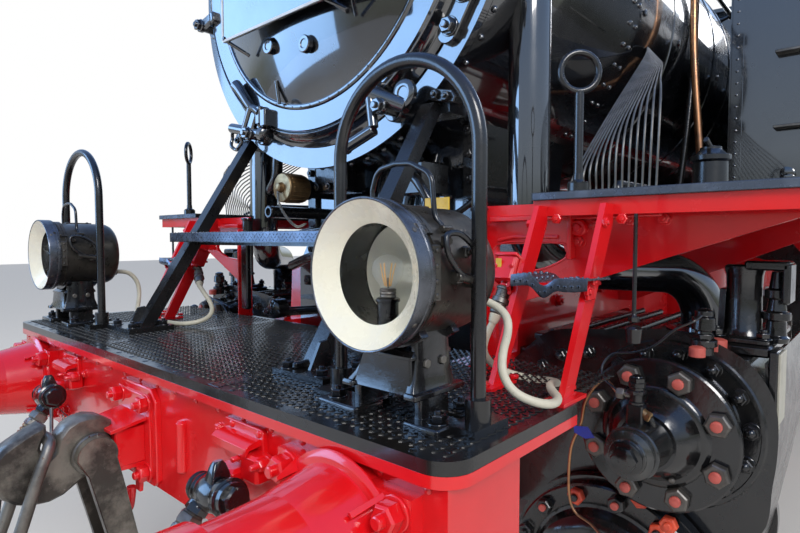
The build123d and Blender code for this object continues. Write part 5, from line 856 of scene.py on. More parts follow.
# Draw gear: guide box on its bolted plate, forged hook, shackle, link and screw. One set at each end.
def draw_gear(name, end):
    """The draw gear of one end; end is 1 at the front and -1 at the rear."""
    out = X * end
    guide = Solid(f"draw_guide_{name}", RED)
    plate = [(-125, 952), (-105, 934), (105, 934), (125, 952), (125, 1172), (96, 1205), (-96, 1205),
             (-125, 1172)]
    guide.prism([(end * u, v) for u, v in plate], (end * BEAM_X, 0, 0), Y * end, Z, 16, 3)
    inner = [(-104, 962), (-92, 950), (92, 950), (104, 962), (104, 1166), (88, 1184), (-88, 1184),
             (-104, 1166)]
    guide.prism([(end * u, v) for u, v in inner], (end * (BEAM_X + 15), 0, 0), Y * end, Z, 8, 2)
    box_front = BEAM_X + 101
    for low_y, high_y in ((38, 72), (-72, -38)):
        guide.box((end * (BEAM_X + 20), low_y, 1000), (end * box_front, high_y, 1106), edge=4)
    # Flat bars over and under the box, each between two upright rectangles: x, half width, low z, high z
    for bar in (((BEAM_X + 20, 86, 1118, 1128), (box_front + 14, 82, 1100, 1109)),
                ((BEAM_X + 20, 72, 990, 1002), (box_front, 72, 992, 1003))):
        guide.rings([[(end * x, y, z) for y, z in ((-half, low), (half, low), (half, high), (-half, high))]
                     for x, half, low, high in bar])
    for y in (-84, 84):
        for z in (1164, 972):
            guide.nut((end * (BEAM_X + 22), y, z), out, 40, 24, 0.2 if y > 0 else 0.5, stud=12, washer=27)
    loop = ((22, -112, 962), (34, -112, 920), (36, -100, 868), (36, -62, 830), (36, -16, 842), (36, 2, 880),
            (34, 4, 912))
    guide.tube(smooth([(end * (BEAM_X + x), y, z) for x, y, z in loop], 8), 13, 16)
    guide.prism([(-26, 0), (26, 0), (12, -74), (-12, -74)], (end * (BEAM_X + 30), 60, 992), Y * end, Z, 10,
                1.5)
    guide.tube(smooth([(end * (BEAM_X + 4), 250 * end, z) for z in (1012, 1040, 1120, 1149)], 3), lambda t: 15
               if 0.02 < t < 0.98 else 9, 18)
    guide.finish(bevel=0.8, slot="red_gloss")

    gear = Solid(f"draw_hook_{name}", FORGED)
    hook = [
        (4306, 1012), (4350, 1000), (4396, 976), (4428, 956), (4462, 948), (4500, 952), (4534, 966),
        (4562, 990), (4580, 1024), (4585, 1060), (4576, 1090), (4556, 1110), (4528, 1126), (4496, 1142),
        (4472, 1151), (4462, 1146), (4461, 1128), (4470, 1110), (4476, 1092), (4472, 1074), (4458, 1066),
        (4448, 1074), (4444, 1092), (4436, 1112), (4418, 1134), (4392, 1147), (4364, 1150), (4336, 1142),
        (4306, 1122),
    ]
    rows = []
    for shift, y in ((12, -36), (4, -30), (0, -22), (0, 22), (4, 30), (12, 36)):
        outline = inset(hook, shift * 0.8) if shift else hook
        rows.append([(end * px, end * y, pz) for px, pz in outline])
    gear.rings(rows)
    gear.use(DULL_STEEL)
    eye = (end * 4360, 0, 1050)
    for flank in (1, -1):
        axis = Y * flank
        gear.lathe(Vector(eye) + axis * 34, axis, [
            (0, 40), (0, 52), (4, 54), (16, 54), (20, 51), (20, 45), (24, 45), (26, 43), (27, 38), (30, 37),
            (31, 33), (30, 31), (34, 30), (36, 27), (36, 9), (35, 8), (35, 0)
        ], 48)
        split = Vector(eye) + axis * 52
        gear.use(STEEL)
        for start_z, x, z in ((30, 14, 52), (30, -10, 54), (-34, -16, -60)):
            gear.rod(split + Z * start_z, split + Vector((end * x, 0, z)), 3, 10)
        gear.use(FORGED)
        # Shackle arm: a flat bar with a round eye, swung back towards the beam
        arm = [(4360 + 50 * math.cos(a), 1050 + 50 * math.sin(a))
               for a in (math.radians(d) for d in range(-2, 199, 20))]
        arm += [(4298, 972), (4262, 800), (4248, 730), (4268, 704), (4300, 700), (4318, 730), (4334, 800),
                (4384, 1000)]
        gear.prism([(end * u, v) for u, v in arm], (0, flank * 54, 0), X, Z, -flank * 20, 3)
        gear.use(DULL_STEEL)
    low_pin = Vector((end * 4283, 0, 736))
    gear.rod(low_pin - Y * 96, low_pin + Y * 96, 24, 28)
    for flank in (1, -1):
        gear.nut(low_pin + Y * flank * 92, Y * flank, 44, 22, 0.2, stud=9)
    # Screw with its two trunnion nuts and weighted handle, hanging level under the hook
    far_pin = Vector((end * 4560, 0, 812))
    line = (far_pin - low_pin).normalized()
    gear.use(DULL_STEEL)
    gear.rod(low_pin - line * 60, far_pin + line * 60, 19, 28)
    thread = []
    length = (far_pin - low_pin).length
    for k in range(57):
        thread += [(18 + k * length / 60, 19), (20 + k * length / 60, 22), (22 + k * length / 60, 19)]
    gear.lathe(low_pin, line, [(10, 15)] + thread + [(length - 10, 15)], 24)
    for place in (low_pin, far_pin):
        gear.lathe(place - line * 42, line, [(0, 30), (4, 38), (80, 38), (84, 30)], 32)
    gear.use(FORGED)
    middle = low_pin.lerp(far_pin, 0.5)
    gear.lathe(middle - line * 26, line, [(0, 24), (4, 30), (48, 30), (52, 24)], 28)
    handle = [middle + Vector((0, end * y, z)) for y, z in ((0, 0), (60, -40), (150, -70), (212, -62))]
    gear.tube(smooth(handle, 6), lambda t: 12 + 5 * t, 18)
    gear.lathe(middle + Vector((0, end * 205, -63)), Y * end,
               [(0, 16), (6, 34), (16, 42), (46, 42), (56, 34), (60, 18)], 32)
    # Link: a round bar bow over the hook's throat with its eyes on the far pin
    gear.use(DULL_STEEL)
    gear.rod(far_pin - Y * 92, far_pin + Y * 92, 22, 24)
    for flank in (1, -1):
        gear.lathe(far_pin + Y * flank * 48, Y * flank,
                   [(0, 26), (0, 36), (3, 39), (24, 39), (27, 36), (27, 26)], 32)
    leg = ((4560, -62, 838), (4530, -62, 920), (4494, -62, 1030), (4466, -52, 1094), (4458, -26, 1106))
    bow = [(end * x, y, z) for x, y, z in leg] + [(end * x, -y, z) for x, y, z in leg[::-1]]
    gear.tube(smooth(bow, 8), 14.5, 22)
    gear.finish(slot="cast_iron", replaces=["couplings"])


draw_gear("front", 1)
draw_gear("rear", -1)


# Cocks of the brake pipe: red shelf bracket, cast cock with its lug and plug, union hexes down to the hose
COCK_Y = 545


def brake_cock(name, side):
    """One cock with its bracket; the hose hangs from its union."""
    y = side * COCK_Y
    bracket = Solid(f"cock_bracket_{name}", RED)
    bracket.prism(rounded_box(y - 78, y + 78, 1118, 1211, 12), (BEAM_X, 0, 0), Y, Z, 12, 2)
    bracket.rings([[(BEAM_X + x, y + dy, z) for dy, z in ((-68, low), (68, low), (68, high), (-68, high))]
                   for x, low, high in ((10, 1176, 1190), (40, 1172, 1185), (49, 1160, 1178))])
    for bolt_y in (y - 42, y + 62):
        bracket.lathe((BEAM_X + 11, bolt_y, 1200), X, [(0, 9), (3, 8.6), (6, 5)], 16)
    for stud_y in (y + 36, y + 104):
        bracket.nut((BEAM_X + 20, stud_y, 1152), X, 24, 22, 0.3, stud=18, washer=15)
    bracket.block((BEAM_X + 24, y + 70, 1136), (44, 62, 60), edge=6)
    bracket.block((BEAM_X + 34, y + 2, 1110), (64, 70, 34), edge=8)
    bracket.finish(bevel=0.8, slot="red_gloss")

    cock = Solid(f"brake_cock_{name}", CAST_BLACK)
    start = Vector((4298, y - 46, 1076))
    stop = Vector((4306, y + 92, 1094))
    axis = (stop - start).normalized()
    length = (stop - start).length
    cock.lathe(start, axis, [(0, 26), (4, 33), (14, 35), (18, 31), (34, 38), (60, 41), (86, 38), (100, 33),
                             (104, 39), (118, 41), (124, 41), (126, 36), (length, 34)], 44)
    cock.nut(stop - axis * 3, axis, 52, 20, 0.4)
    lug = start + axis * 70
    cock.rings([
        [lug + Vector((dx, 0, 0)) + axis * a + Z * h for dx, a in rounded(w, w * 0.8, 6, 3)]
        for h, w in ((20, 26), (44, 21), (62, 15), (70, 10))
    ])
    cock.use(SATIN_BLACK)
    cock.lathe(start - axis * 6, -axis, [(-4, 20), (0, 30), (5, 33), (12, 31), (16, 16)], 32)
    cock.tube(smooth([start - axis * 14, start - axis * 20 + Vector((10, 0, -32)),
                      start - axis * 16 + Vector((16, 0, -86))], 6), lambda t: 9 - 3 * t, 14)
    # Union down to the hose
    cock.use(CAST_BLACK)
    union_start = Vector((UNION_PLACE[0], side * UNION_PLACE[1], UNION_PLACE[2]))
    way = Vector((UNION_WAY[0], side * UNION_WAY[1], UNION_WAY[2])).normalized()
    cock.tube(smooth([start.lerp(stop, 0.35) - Z * 6, union_start - way * 12, union_start + way * 26], 6), 25,
              28)
    for along, across, height, material in ((20, 46, 18, CAST_BLACK), (42, 50, 24, DULL_STEEL),
                                            (70, 47, 18, DULL_STEEL)):
        cock.use(material)
        cock.nut(union_start + way * along, way, across, height, 0.3 + along * 0.01)
    cock.use(DULL_STEEL)
    cock.lathe(union_start + way * 36, way, [(0, 20), (4, 24), (8, 20), (28, 21), (32, 24), (52, 24),
                                             (56, 22), (80, 21.5)], 28)
    if side < 0:
        cock.use(BRASS)
        for k in range(4):
            cock.lathe(union_start + way * (88 + k * 12), way, [(0, 22), (2, 25), (7, 25), (9, 22)], 28)
        cock.use(DULL_STEEL)
        cock.rod((4318, -440, 1062), (4342, -366, 958), 5.5, 12)
    cock.finish(bevel=0.6, slot="cast_iron", replaces=["brake_cocks"])


for name, side in SIDES.items():
    brake_cock(name, side)

wire = Solid("cock_seal_wire", STEEL)
wire.tube(smooth([(4300, -500, 1080), (4290, -430, 1046), (4270, -330, 1020), (4262, -220, 1012),
                  (4262, -150, 1016)], 6), 1.4, 6)
wire.tube(smooth([(4290 + (2 * k) % 3, -418 + 9 * math.cos(k), 1030 + 9 * math.sin(k)) for k in range(6)], 4,
                 True), 1.4, 6, closed=True)
wire.finish(slot="machined_steel")


# Beams: bolts, rivets, buffer base bolts and stiffening ribs
BUFFER_PLACES = (-875, 875)
BUFFER_Z = 1078
beam_trim = Solid("beam_bolts", RED)
for end in (1, -1):
    out = X * end
    face = end * BEAM_X
    for y, z in ((-428, 1160), (432, 1170), (-1048, 960), (1048, 960), (-300, 958), (330, 958)):
        beam_trim.nut((face, y, z), out, 22, 9, 0.3, stud=3, washer=15)
    for y in (-625, 625):
        beam_trim.nut((face, y, 990), out, 36, 20, 0.2, stud=8, washer=24)
    for y in range(-1060, 1061, 106):
        beam_trim.lathe((face, y, 1214), out, [(0, 8), (2, 7.6), (4.5, 4.5), (5.2, 1)], 14)
    for buffer_y in BUFFER_PLACES:
        for dy in (-142, 142):
            for dz in (-95, 95):
                beam_trim.nut((face + end * 30, buffer_y + dy, BUFFER_Z + dz), out, 46, 30, 0.35 if dy > 0
                              else 0.1, stud=14, washer=31)
        beam_trim.lathe((face + end * 29, buffer_y, BUFFER_Z), out, [(0, 160), (4, 160), (9, 154), (12, 146)],
                        64)
        beam_trim.lathe((face + end * 338, buffer_y, BUFFER_Z), out,
                        [(0, 112), (0, 121), (4, 124), (10, 124), (13, 121), (13, 112)], 64)
        for angle in (45, 135, 225, 315):
            radial = outward(angle)
            near = Vector((face + end * 30, buffer_y, BUFFER_Z))
            beam_trim.rings([
                [near + out * far + radial * r + radial.cross(X) * w
                 for r, w in ((inner, -5), (outer, -5), (outer, 5), (inner, 5))]
                for far, inner, outer in ((0, 140, 166), (60, 136, 142))
            ])
beam_trim.finish(bevel=0.8, slot="red_gloss")

head_wear = Solid("buffer_head_faces", DULL_STEEL)
for end in (1, -1):
    for buffer_y in BUFFER_PLACES:
        head_wear.lathe((end * 4832.5, buffer_y, BUFFER_Z), X * -end,
                        [(0, 0), (0.2, 60), (2.5, 130), (5, 150), (6, 150)], 64)
        head_wear.lathe((end * 4700, buffer_y, BUFFER_Z), X * end,
                        [(0, 86), (0, 96), (5, 99), (16, 99), (20, 92), (20, 86)], 48)
head_wear.finish(slot="machined_steel")


# Smokebox door: dark cove round its rim, seam with rivets, blank plate, latches, hinge and small brackets
def ring_point(radius, degrees, x=0.0):
    return Vector((x, 0, BOILER_Z)) + outward(degrees) * radius


door_trim = Solid("smokebox_door_trim", BLACK, "smokebox_door")
door_centre = (0, 0, BOILER_Z)
door_trim.lathe(door_centre, X, [
    (3576, 690), (3579, 693), (3576, 697), (3566, 699), (3554, 703), (3543, 710), (3533, 722), (3526, 738),
    (3524, 738), (3523, 700), (3530, 690)
], 160, closed=True)
door_trim.lathe(door_centre, X, [(3579, 606), (3583, 604), (3587, 598), (3588, 592), (3586, 586),
                                 (3582, 584)], 160, closed=True)
for degrees in range(0, 360, 5):
    if 20 < degrees < 160 and degrees % 10:
        continue
    door_trim.lathe(ring_point(596, degrees, 3586), X, [(0, 4.5), (2, 4.2), (4, 2)], 12)
for y, z in ((-150, 2330), (60, 2290)):
    door_trim.lathe((3655, y, z), X, [(-12, 30), (6, 30), (9, 27), (9, 16), (6, 14)], 32)
for start, end in (((3718, -352, 2384), (3640, -300, 2330)), ((3700, 186, 2404), (3652, 268, 2352)),
                   ((3612, -168, 2216), (3600, -166, 2130)), ((3718, 352, 2384), (3640, 300, 2330))):
    door_trim.rod(start, end, 7, 14)
door_trim.rod((3655, 200, 2398), (3640, 262, 2352), 10, 14)
for z in (2398, 2998):
    strap = [(-40, -34), (380, -30), (500, -20), (520, 0), (500, 20), (380, 30), (-40, 34)]
    door_trim.prism([(752 - u, v) for u, v in strap][::-1], (3581, 0, z), Y, Z, 14, 3)
    for u in (60, 120, 260, 420):
        door_trim.nut((3594, 752 - u, z), X, 38 if u < 200 else 28, 22, 0.2, stud=8, washer=25)
door_trim.finish(bevel=0.8, slot="black_gloss")

PLATE_Z = 2464
plate = Solid("blank_number_plate", BLACK, "smokebox_door")
plate.prism(rounded(368, 92, 14, 6), (3712, 0, PLATE_Z), Y, Z, 7, 1.5)
plate.use(PLATE_RIM)
outer, inner = rounded(366, 90, 13, 6), rounded(357, 81, 9, 6)
plate.rings([[(x, u, PLATE_Z + v) for u, v in line]
             for x, line in ((3719, outer), (3721.5, outer), (3721.5, inner), (3719, inner))], closed=True)
plate.use(SATIN_BLACK)
for y in (-352, 352):
    plate.nut((3719, y, 2388), X, 13, 5, 0.2)
for y in (-230, 230):
    plate.rod((3640, y, 2470), (3713, y, 2466), 9, 14)
plate.finish(slot="black_gloss")

# Latches round the ring: a T-shaped clamp on its bolt, an eye nut and a crank
latches = Solid("smokebox_latches", BLACK)
for degrees, turn, reach in ((-120, 0.2, 86), (-61, 0.4, 60), (190, 0.1, 86), (145, 0.3, 86), (90, 0, 86)):
    centre = ring_point(753, degrees, 3521)
    radial = outward(degrees)
    across = Vector((0, -radial.z, radial.y))
    latches.lathe(centre, X, [(0, 40), (14, 40), (18, 36), (18, 24)], 32)
    latches.lathe(centre, X, [(10, 23), (62, 23), (70, 28), (84, 28), (88, 24)], 28)
    latches.nut(centre + X * 86, X, 42, 18, turn, stud=9)
    latches.block(centre - radial * 48 + X * 72, (reach, 40, 26), u=radial, v=across, edge=6)
    latches.block(centre - radial * (48 + reach / 2) + X * 64, (30, 46, 36), u=radial, v=across, edge=6)
latches.rod((3584, -524, 2088), (3584, -300, 2036), 21, 24)
latches.lathe((3584, -306, 2037), (0, 0.97, -0.23), [(0, 20), (4, 32), (30, 34), (36, 30), (42, 18)], 28)
latches.rod((3586, -424, 2066), (3592, -366, 2150), 17, 20)
latches.tube(smooth([(3592, -366, 2150), (3600, -392, 2186), (3606, -430, 2232), (3608, -452, 2252)], 5),
             lambda t: 18 + 6 * t, 20)
latches.tube(smooth([(3592, -366, 2150), (3596, -330, 2136), (3598, -300, 2118)], 5), 16, 18)
latches.block((3592, -262, 2092), (44, 34, 70), edge=5)
latches.block((3592, -306, 2108), (30, 30, 74), edge=5)
ring = [(3584 + 4 * math.sin(k), -494 + 38 * u, 2034 + 40 * v) for k, (_, u, v) in enumerate(around(24, 1))]
latches.tube(ring, 7.5, 14, closed=True)
# Crank handle of the right-hand latch
latches.rod((3600, 300, 2100), (3566, 452, 2030), 25, 28)
latches.lathe((3566, 448, 2070), X, [(0, 44), (16, 44), (20, 38), (20, 22), (16, 20)], 36)
latches.rod((3598, 318, 2092), (3604, 340, 1974), 17, 20)
latches.rod((3604, 344, 1968), (3622, 236, 1922), 20, 22)
latches.lathe((3622, 240, 1924), (0.16, -0.92, -0.36), [(0, 20), (4, 24), (14, 24), (18, 18)], 24)
latches.nut((3600, 300, 2100), (0.2, -0.9, 0.4), 44, 16, 0.1, stud=8)
# Hinge lug on the ring with its oblong link and two nuts, and the small bracket under it
link = arc((0, 62), 38, 0, 180, 8) + arc((0, -62), 38, 180, 360, 8)
tilt = math.radians(-32)
link = [(u * math.cos(tilt) - v * math.sin(tilt), u * math.sin(tilt) + v * math.cos(tilt)) for u, v in link]
latches.prism(link, (3521, 618, 2290), Y, Z, 20, 3)
for u, v in ((24, 44), (-22, -42)):
    latches.nut((3541, 618 + u, 2290 + v), X, 44, 20, 0.25, stud=10, washer=30)
latches.rod((3524, 350, 2222), (3536, 372, 2190), 7, 14)
latches.block((3528, 346, 2228), (14, 26, 16), edge=3)
for low_z in (2384, 2984):
    latches.block((3548, 770, low_z + 14), (52, 60, 30), edge=5)
latches.finish(bevel=0.8, slot="black_gloss", replaces=["smokebox_door_fittings"])

ring_bolts = Solid("smokebox_ring_rivets", BLACK)
for degrees in range(0, 360, 6):
    ring_bolts.lathe(ring_point(806, degrees, 3458), outward(degrees), [(-3, 11), (4, 10), (9, 6), (10.5, 1)],
                     12)
    for x in (2500, 2560):
        ring_bolts.lathe(ring_point(797, degrees + 3, x), outward(degrees + 3),
                         [(0, 11), (7, 10), (11, 6), (12, 1)], 12)
ring_bolts.lathe((0, 0, BOILER_Z), X, [(3440, 801), (3442, 806), (3478, 806), (3480, 801)], 140, closed=True)
ring_bolts.finish(slot="black_gloss")

# Strut heads: the bracket that holds each strut to the ring, with its nuts
struts = Solid("strut_brackets", SATIN_BLACK)
for side in (1, -1):
    struts.prism([(-52, -8), (52, -30), (60, -12), (46, 10), (-40, 30), (-54, 16)], (3478, side * 545, 2058),
                 Y, Z, 44, 3)
    struts.nut((3522, side * 530, 2062), X, 28, 14, 0.3, stud=8)
    struts.nut((3522, side * 572, 2050), X, 28, 14, 0.1, stud=8)
    foot = Vector((3985, side * 531, DECK_TOP_Z))
    for dx, dy in ((-58, -66), (-58, 66), (58, -66), (58, 66)):
        struts.nut(foot + Vector((dx, dy, 18)), Z, 27, 15, 0.2, stud=7, washer=20)
    struts.prism([(-34, 0), (44, 0), (10, 66), (-16, 70)], (3985, side * 531 - 5, DECK_TOP_Z + 18), X, Z, -10,
                 1)
    struts.block((3985, side * 490, DECK_TOP_Z + 26), (120, 16, 18), edge=4)
for side in (1, -1):
    for z in (1628, 1640):
        struts.box((3700, side * 500 - 28, z - 4), (3742, side * 500 + 28, z + 2), edge=2)
struts.finish(bevel=0.8, slot="black_satin")

# Chequer lip and treads in the bluish colour of painted sky reflection
lip = Solid("step_plate_chequer", CHEQUER_SKY_TINT)
for row in range(3):
    for k in range(58):
        y = -548 + k * 19 + (row % 2) * 9.5
        angle = 0.6 if (row + k) % 2 else -0.6
        c, s = math.cos(angle), math.sin(angle)
        z = 1613 + row * 9
        outline = [(-7, 0), (-3, -1.8), (3, -1.8), (7, 0), (3, 1.8), (-3, 1.8)]
        rows = [[(3850 + out, y + (u * c - v * s) * w, z + (u * s + v * c) * w) for u, v in outline]
                for out, w in ((-0.5, 1), (1.8, 0.7))]
        lip.rings(rows)
lip.box((3846, -560, 1606), (3850.5, 560, 1640), edge=1)
tread_bars(lip, (3600, -545), (3842, 548), 1640, 13, 26, (19, 6), 2)
lip.finish(slot="black_satin")


# Cylinder fronts: flanged block face with domed nuts, valve cover with hexagon nuts and red studs,
# lubricator, guide sleeve, pipes and the lower cylinder cover
VALVE_Y = 1140
VALVE_Z = 1090
CYLINDER_Y = 1000


def domed_nut(piece, place, across, height, turn):
    """A nut on a washer with a domed cap over its end."""
    piece.nut(place, X, across, height, turn, washer=across / 2 + 6)
    piece.lathe(place, X, [(height + up, across / 2 - less)
                           for up, less in ((-2, 3), (6, 4), (12, 8), (15, 15))], 16)


def valve_front(name, side):
    """Everything on one cylinder's front and top."""
    def at(x, y, z):
        return Vector((x, side * y, z))

    def around_valve(radius, degrees):
        a = math.radians(degrees)
        return at(0, VALVE_Y + radius * math.cos(a), VALVE_Z + radius * math.sin(a))

    block = Solid(f"valve_front_{name}", CAST_BLACK)
    outline = [(640, 1140), (700, 1215), (770, 1276), (850, 1296), (960, 1306), (1080, 1322), (1190, 1318),
               (1262, 1294), (1318, 1256), (1354, 1200), (1366, 1140), (1366, 1060), (1358, 980), (1340, 860),
               (1240, 800), (1000, 800), (760, 860), (650, 1000)]
    face = [(side * p.x, p.y) for p in smooth([(u, v, 0) for u, v in outline], 5, True)]
    if side < 0:
        face.reverse()
    plate_rows = []
    for x, shrink in ((3150, 0), (3188, 0), (3196, 4), (3199, 11), (3199, 26), (3205, 30), (3212, 30),
                      (3214, 34)):
        line = inset(face, shrink) if shrink else face
        plate_rows.append([(x, u, v) for u, v in line])
    block.rings(plate_rows)
    centre = at(0, VALVE_Y, VALVE_Z)
    block.lathe(centre, X, [(3200, 240), (3214, 240), (3219, 235), (3219, 226), (3215, 224), (3215, 182),
                            (3219, 178), (3300, 176), (3304, 190), (3312, 190), (3316, 198), (3320, 204),
                            (3330, 206), (3342, 206), (3346, 201), (3347, 140), (3352, 136), (3356, 132),
                            (3358, 128), (3359, 118), (3366, 112), (3386, 104), (3404, 92), (3420, 76),
                            (3421, 0)], 96)
    block.use(SATIN_BLACK)
    for k in range(14):
        domed_nut(block, at(3215, 0, 0) + around_valve(204, 6.2 + k * 25.7), 34, 18, 0.2 * k)
    for y, z in ((812, 1240), (744, 1196), (690, 1130), (900, 1262)):
        domed_nut(block, at(3214, y, z), 32, 16, 0.3)
    block.finish(slot="cast_iron", replaces=["cylinder_covers"])

    nuts = Solid(f"valve_nuts_{name}", NUT_STEEL)
    for k, (_, u, v) in enumerate(around(8, 166, math.pi / 8)):
        nuts.nut(at(3346, VALVE_Y + u, VALVE_Z + v), X, 55, 26, 0.35 + k * 0.4, stud=9,
                 stud_material=STUD_RED)
    for y, z in ((1030, 1050), (1190, 985)):
        nuts.lathe(at(3358, y, z), X, [(0, 9), (4, 9), (7, 5)], 14)
    nuts.finish(bevel=0.8, slot="machined_steel")

    sleeve = Solid(f"valve_sleeve_{name}", SLEEVE)
    sleeve.lathe(centre, X, [(3416, 60), (3416, 64), (3420, 67), (3424, 65), (3504, 58), (3508, 58),
                             (3509, 63), (3512, 66), (3518, 66), (3522, 63), (3523, 58), (3530, 60),
                             (3540, 60), (3544, 52), (3546, 46), (3552, 44)], 64)
    sleeve.use(CAST_BLACK)
    sleeve.lathe(centre, X, [(3545, 43), (3552, 43), (3554, 40), (3560, 40), (3562, 36)], 40)
    sleeve.nut(at(3560, VALVE_Y, VALVE_Z), X, 54, 18, 0.3)
    sleeve.finish(slot="machined_steel")

    pipes = Solid(f"valve_lubricator_{name}", SATIN_BLACK)
    body = at(3452, 1128, 0)
    pipes.block(body + Z * 1170, (34, 40, 56), edge=4)
    pipes.lathe(body + Z * 1196, Z, [(0, 18), (6, 19), (8, 16), (26, 16), (30, 21), (34, 22), (38, 18),
                                     (44, 18), (46, 21), (56, 21), (58, 17), (66, 16), (72, 13), (76, 5)], 32)
    pipes.nut(body + Z * 1222, Z, 40, 12, 0.2)
    pipes.nut(body + Z * 1252, Z, 36, 14, 0.5)
    pipes.use(DULL_STEEL)
    pipes.nut(body + at(0, -30, 1216), Y * -side, 26, 20, 0.4)
    pipes.rod(body + at(0, -14, 1216), body + at(0, -52, 1218), 8, 16)
    pipes.use(BRASS)
    pipes.rod(body + at(0, 10, 1180), body + at(4, 34, 1168), 12, 18)
    pipes.nut(body + at(4, 26, 1172), (0, side * 0.9, -0.4), 24, 12, 0.3)
    pipes.use(SATIN_BLACK)
    pipes.tube(smooth([body + at(4, 34, 1168), body + at(0, 40, 1150), body + at(-20, 34, 1136)], 5), 9, 14)
    oil_line = ((3446, 1076, 1222), (3430, 1036, 1240), (3410, 1022, 1270), (3396, 1044, 1304),
                (3392, 1100, 1316), (3396, 1150, 1340), (3398, 1200, 1388), (3390, 1240, 1412),
                (3360, 1250, 1424))
    copper_line = ((3446, 1074, 1216), (3420, 1030, 1236), (3420, 984, 1174), (3420, 968, 1100),
                   (3420, 940, 1021), (3420, 936, 902), (3420, 954, 846), (3424, 1002, 828),
                   (3440, 1060, 806), (3380, 1120, 790), (3300, 1150, 780))
    for line, radius, segments, material in ((oil_line, 3.2, 10, SATIN_BLACK), (copper_line, 4, 12, COPPER)):
        pipes.use(material)
        pipes.tube(smooth([at(*place) for place in line], 8), radius, segments)
    pipes.use(BLUE)
    tag = [at(3424, y, z) for y, z in ((950, 1092), (990, 1098), (1010, 1072), (984, 1064), (952, 1074))]
    if side < 0:
        tag.reverse()
    pipes.rings([tag, [p + X * 3 for p in tag]])
    pipes.finish(slot="cast_iron")

    # Lower cylinder cover, its outer ring of nuts and the relief valve
    cover = Solid(f"cylinder_front_{name}", CAST_BLACK)
    low = at(0, CYLINDER_Y, AXLE_Z)
    cover.lathe(low, X, [(3262, 306), (3292, 306), (3297, 300), (3297, 252), (3294, 246), (3296, 236),
                         (3306, 228), (3326, 222), (3340, 204), (3346, 180), (3346, 90), (3350, 84),
                         (3364, 80), (3367, 74), (3367, 0)], 112)
    cover.lathe(low, -X, [(-2464, 306), (-2430, 306), (-2425, 300), (-2425, 240), (-2400, 230), (-2396, 120),
                          (-2370, 100), (-2366, 60)], 96)
    cover.use(SATIN_BLACK)
    for k, (_, u, v) in enumerate(around(14, 274, math.pi / 28)):
        material = STUD_RED if k in (1, 3, 5) else SATIN_BLACK
        cover.use(ORANGE_RED if k in (2, 4) else SATIN_BLACK)
        cover.nut(low + at(3297, u, v), X, 44, 26, 0.3 * k, stud=10, stud_material=material)
    cover.use(ORANGE_RED)
    cover.nut(at(3300, 1173, 841), X, 42, 24, 0.2, stud=8)
    cover.nut(at(3300, 1096, 884), X, 42, 20, 0.5, stud=6)
    cover.use(DULL_STEEL)
    cover.nut(low + X * 3367, X, 60, 24, 0.2, stud=12)
    for z in (380, 396):
        cover.lathe(at(3310, CYLINDER_Y, z), -Z, [(0, 16), (20, 16), (24, 24), (40, 24), (44, 14), (60, 12)],
                    24)
    cover.finish(bevel=0.6, slot="cast_iron")

    # Cladding at the flank, with a panel and strip coloured pale as a painted highlight where the sheet
    # catches the light
    clad = Solid(f"cylinder_cladding_{name}", SATIN_BLACK)
    rows = []
    for y, z in ((1366, 1290), (1374, 1180), (1376, 1080), (1366, 960), (1346, 830), (1326, 720),
                 (1302, 578)):
        rows.append([at(2480, y + 3, z), at(3186, y + 3, z), at(3186, y - 4, z), at(2480, y - 4, z)])
    clad.rings(rows if side > 0 else flipped(rows))
    # Painted highlight panel on the flank
    clad.use(PAINTED_HIGHLIGHT)
    clad.box((3088, side * 1392, 1132), (3192, side * 1398, 1318), edge=1)
    clad.use(SATIN_BLACK)
    clad.box((3092, side * 1372, 1126), (3196, side * 1392, 1324), edge=3)
    # Painted highlight strip down the flank
    clad.use(PAINTED_HIGHLIGHT)
    strip = [at(3192, 1376, 1120), at(3186, 1360, 960), at(3186, 1340, 830), at(3186, 1316, 700)]
    strip_rows = [[p, p + at(0, 18, 0), p + at(-60, 18, 0), p + at(-60, 0, 0)] for p in strip]
    clad.rings(strip_rows if side < 0 else flipped(strip_rows))
    clad.use(DULL_STEEL)
    for z in (1100, 1020, 940, 860, 780):
        clad.nut(at(3160, 1384 - (1100 - z) * 0.14, z), Y * side, 18, 8, 0.1)
    clad.finish(bevel=0.8, slot="cast_iron")

    # On top of the block: relief valve column with its channel bracket and spindle, and an oil cap
    column = Solid(f"valve_column_{name}", CAST_BLACK)
    column.box((2930, side * 1218, 1300), (3170, side * 1372, 1330), edge=6)
    column.box((2950, side * 1226, 1328), (3150, side * 1362, 1346), edge=5)
    column.lathe(at(3062, 1290, 1344), Z, [(0, 56), (8, 52), (20, 46), (120, 44), (170, 46), (186, 50),
                                           (196, 50), (200, 44)], 40)
    column.prism([(-52, 0), (52, 0), (30, 130), (-30, 130)], at(3062, 1234, 1344), X, Z, -14 * side, 3)
    column.box((3010, side * 1296, 1530), (3114, side * 1400, 1556), edge=5)
    column.box((3010, side * 1384, 1440), (3114, side * 1404, 1550), edge=5)
    column.lathe(at(3062, 1368, 1330), Z, [(0, 30), (14, 34), (20, 26), (60, 24), (64, 34), (84, 34),
                                           (88, 24), (120, 20), (124, 30), (146, 30), (150, 20), (196, 14)],
                 32)
    for dx in (-90, 90):
        for y in (1240, 1350):
            column.nut(at(3050 + dx, y, 1346), Z, 30, 16, 0.3, stud=8, washer=22)
    column.lathe(at(3246, 1230, 1306), Z, [(0, 26), (20, 26), (24, 34), (40, 34), (46, 22), (64, 20),
                                           (68, 30), (100, 28), (104, 22), (118, 22), (124, 8)], 32)
    column.nut(at(3246, 1230, 1346), Z, 46, 18, 0.2)
    column.use(STUD_RED)
    column.lathe(at(3190, 1250, 1310), Z, [(0, 26), (30, 26), (34, 18)], 24)
    column.lathe(at(3290, 1226, 1306), Z, [(0, 20), (24, 20), (28, 12)], 24)
    column.finish(bevel=0.8, slot="cast_iron")

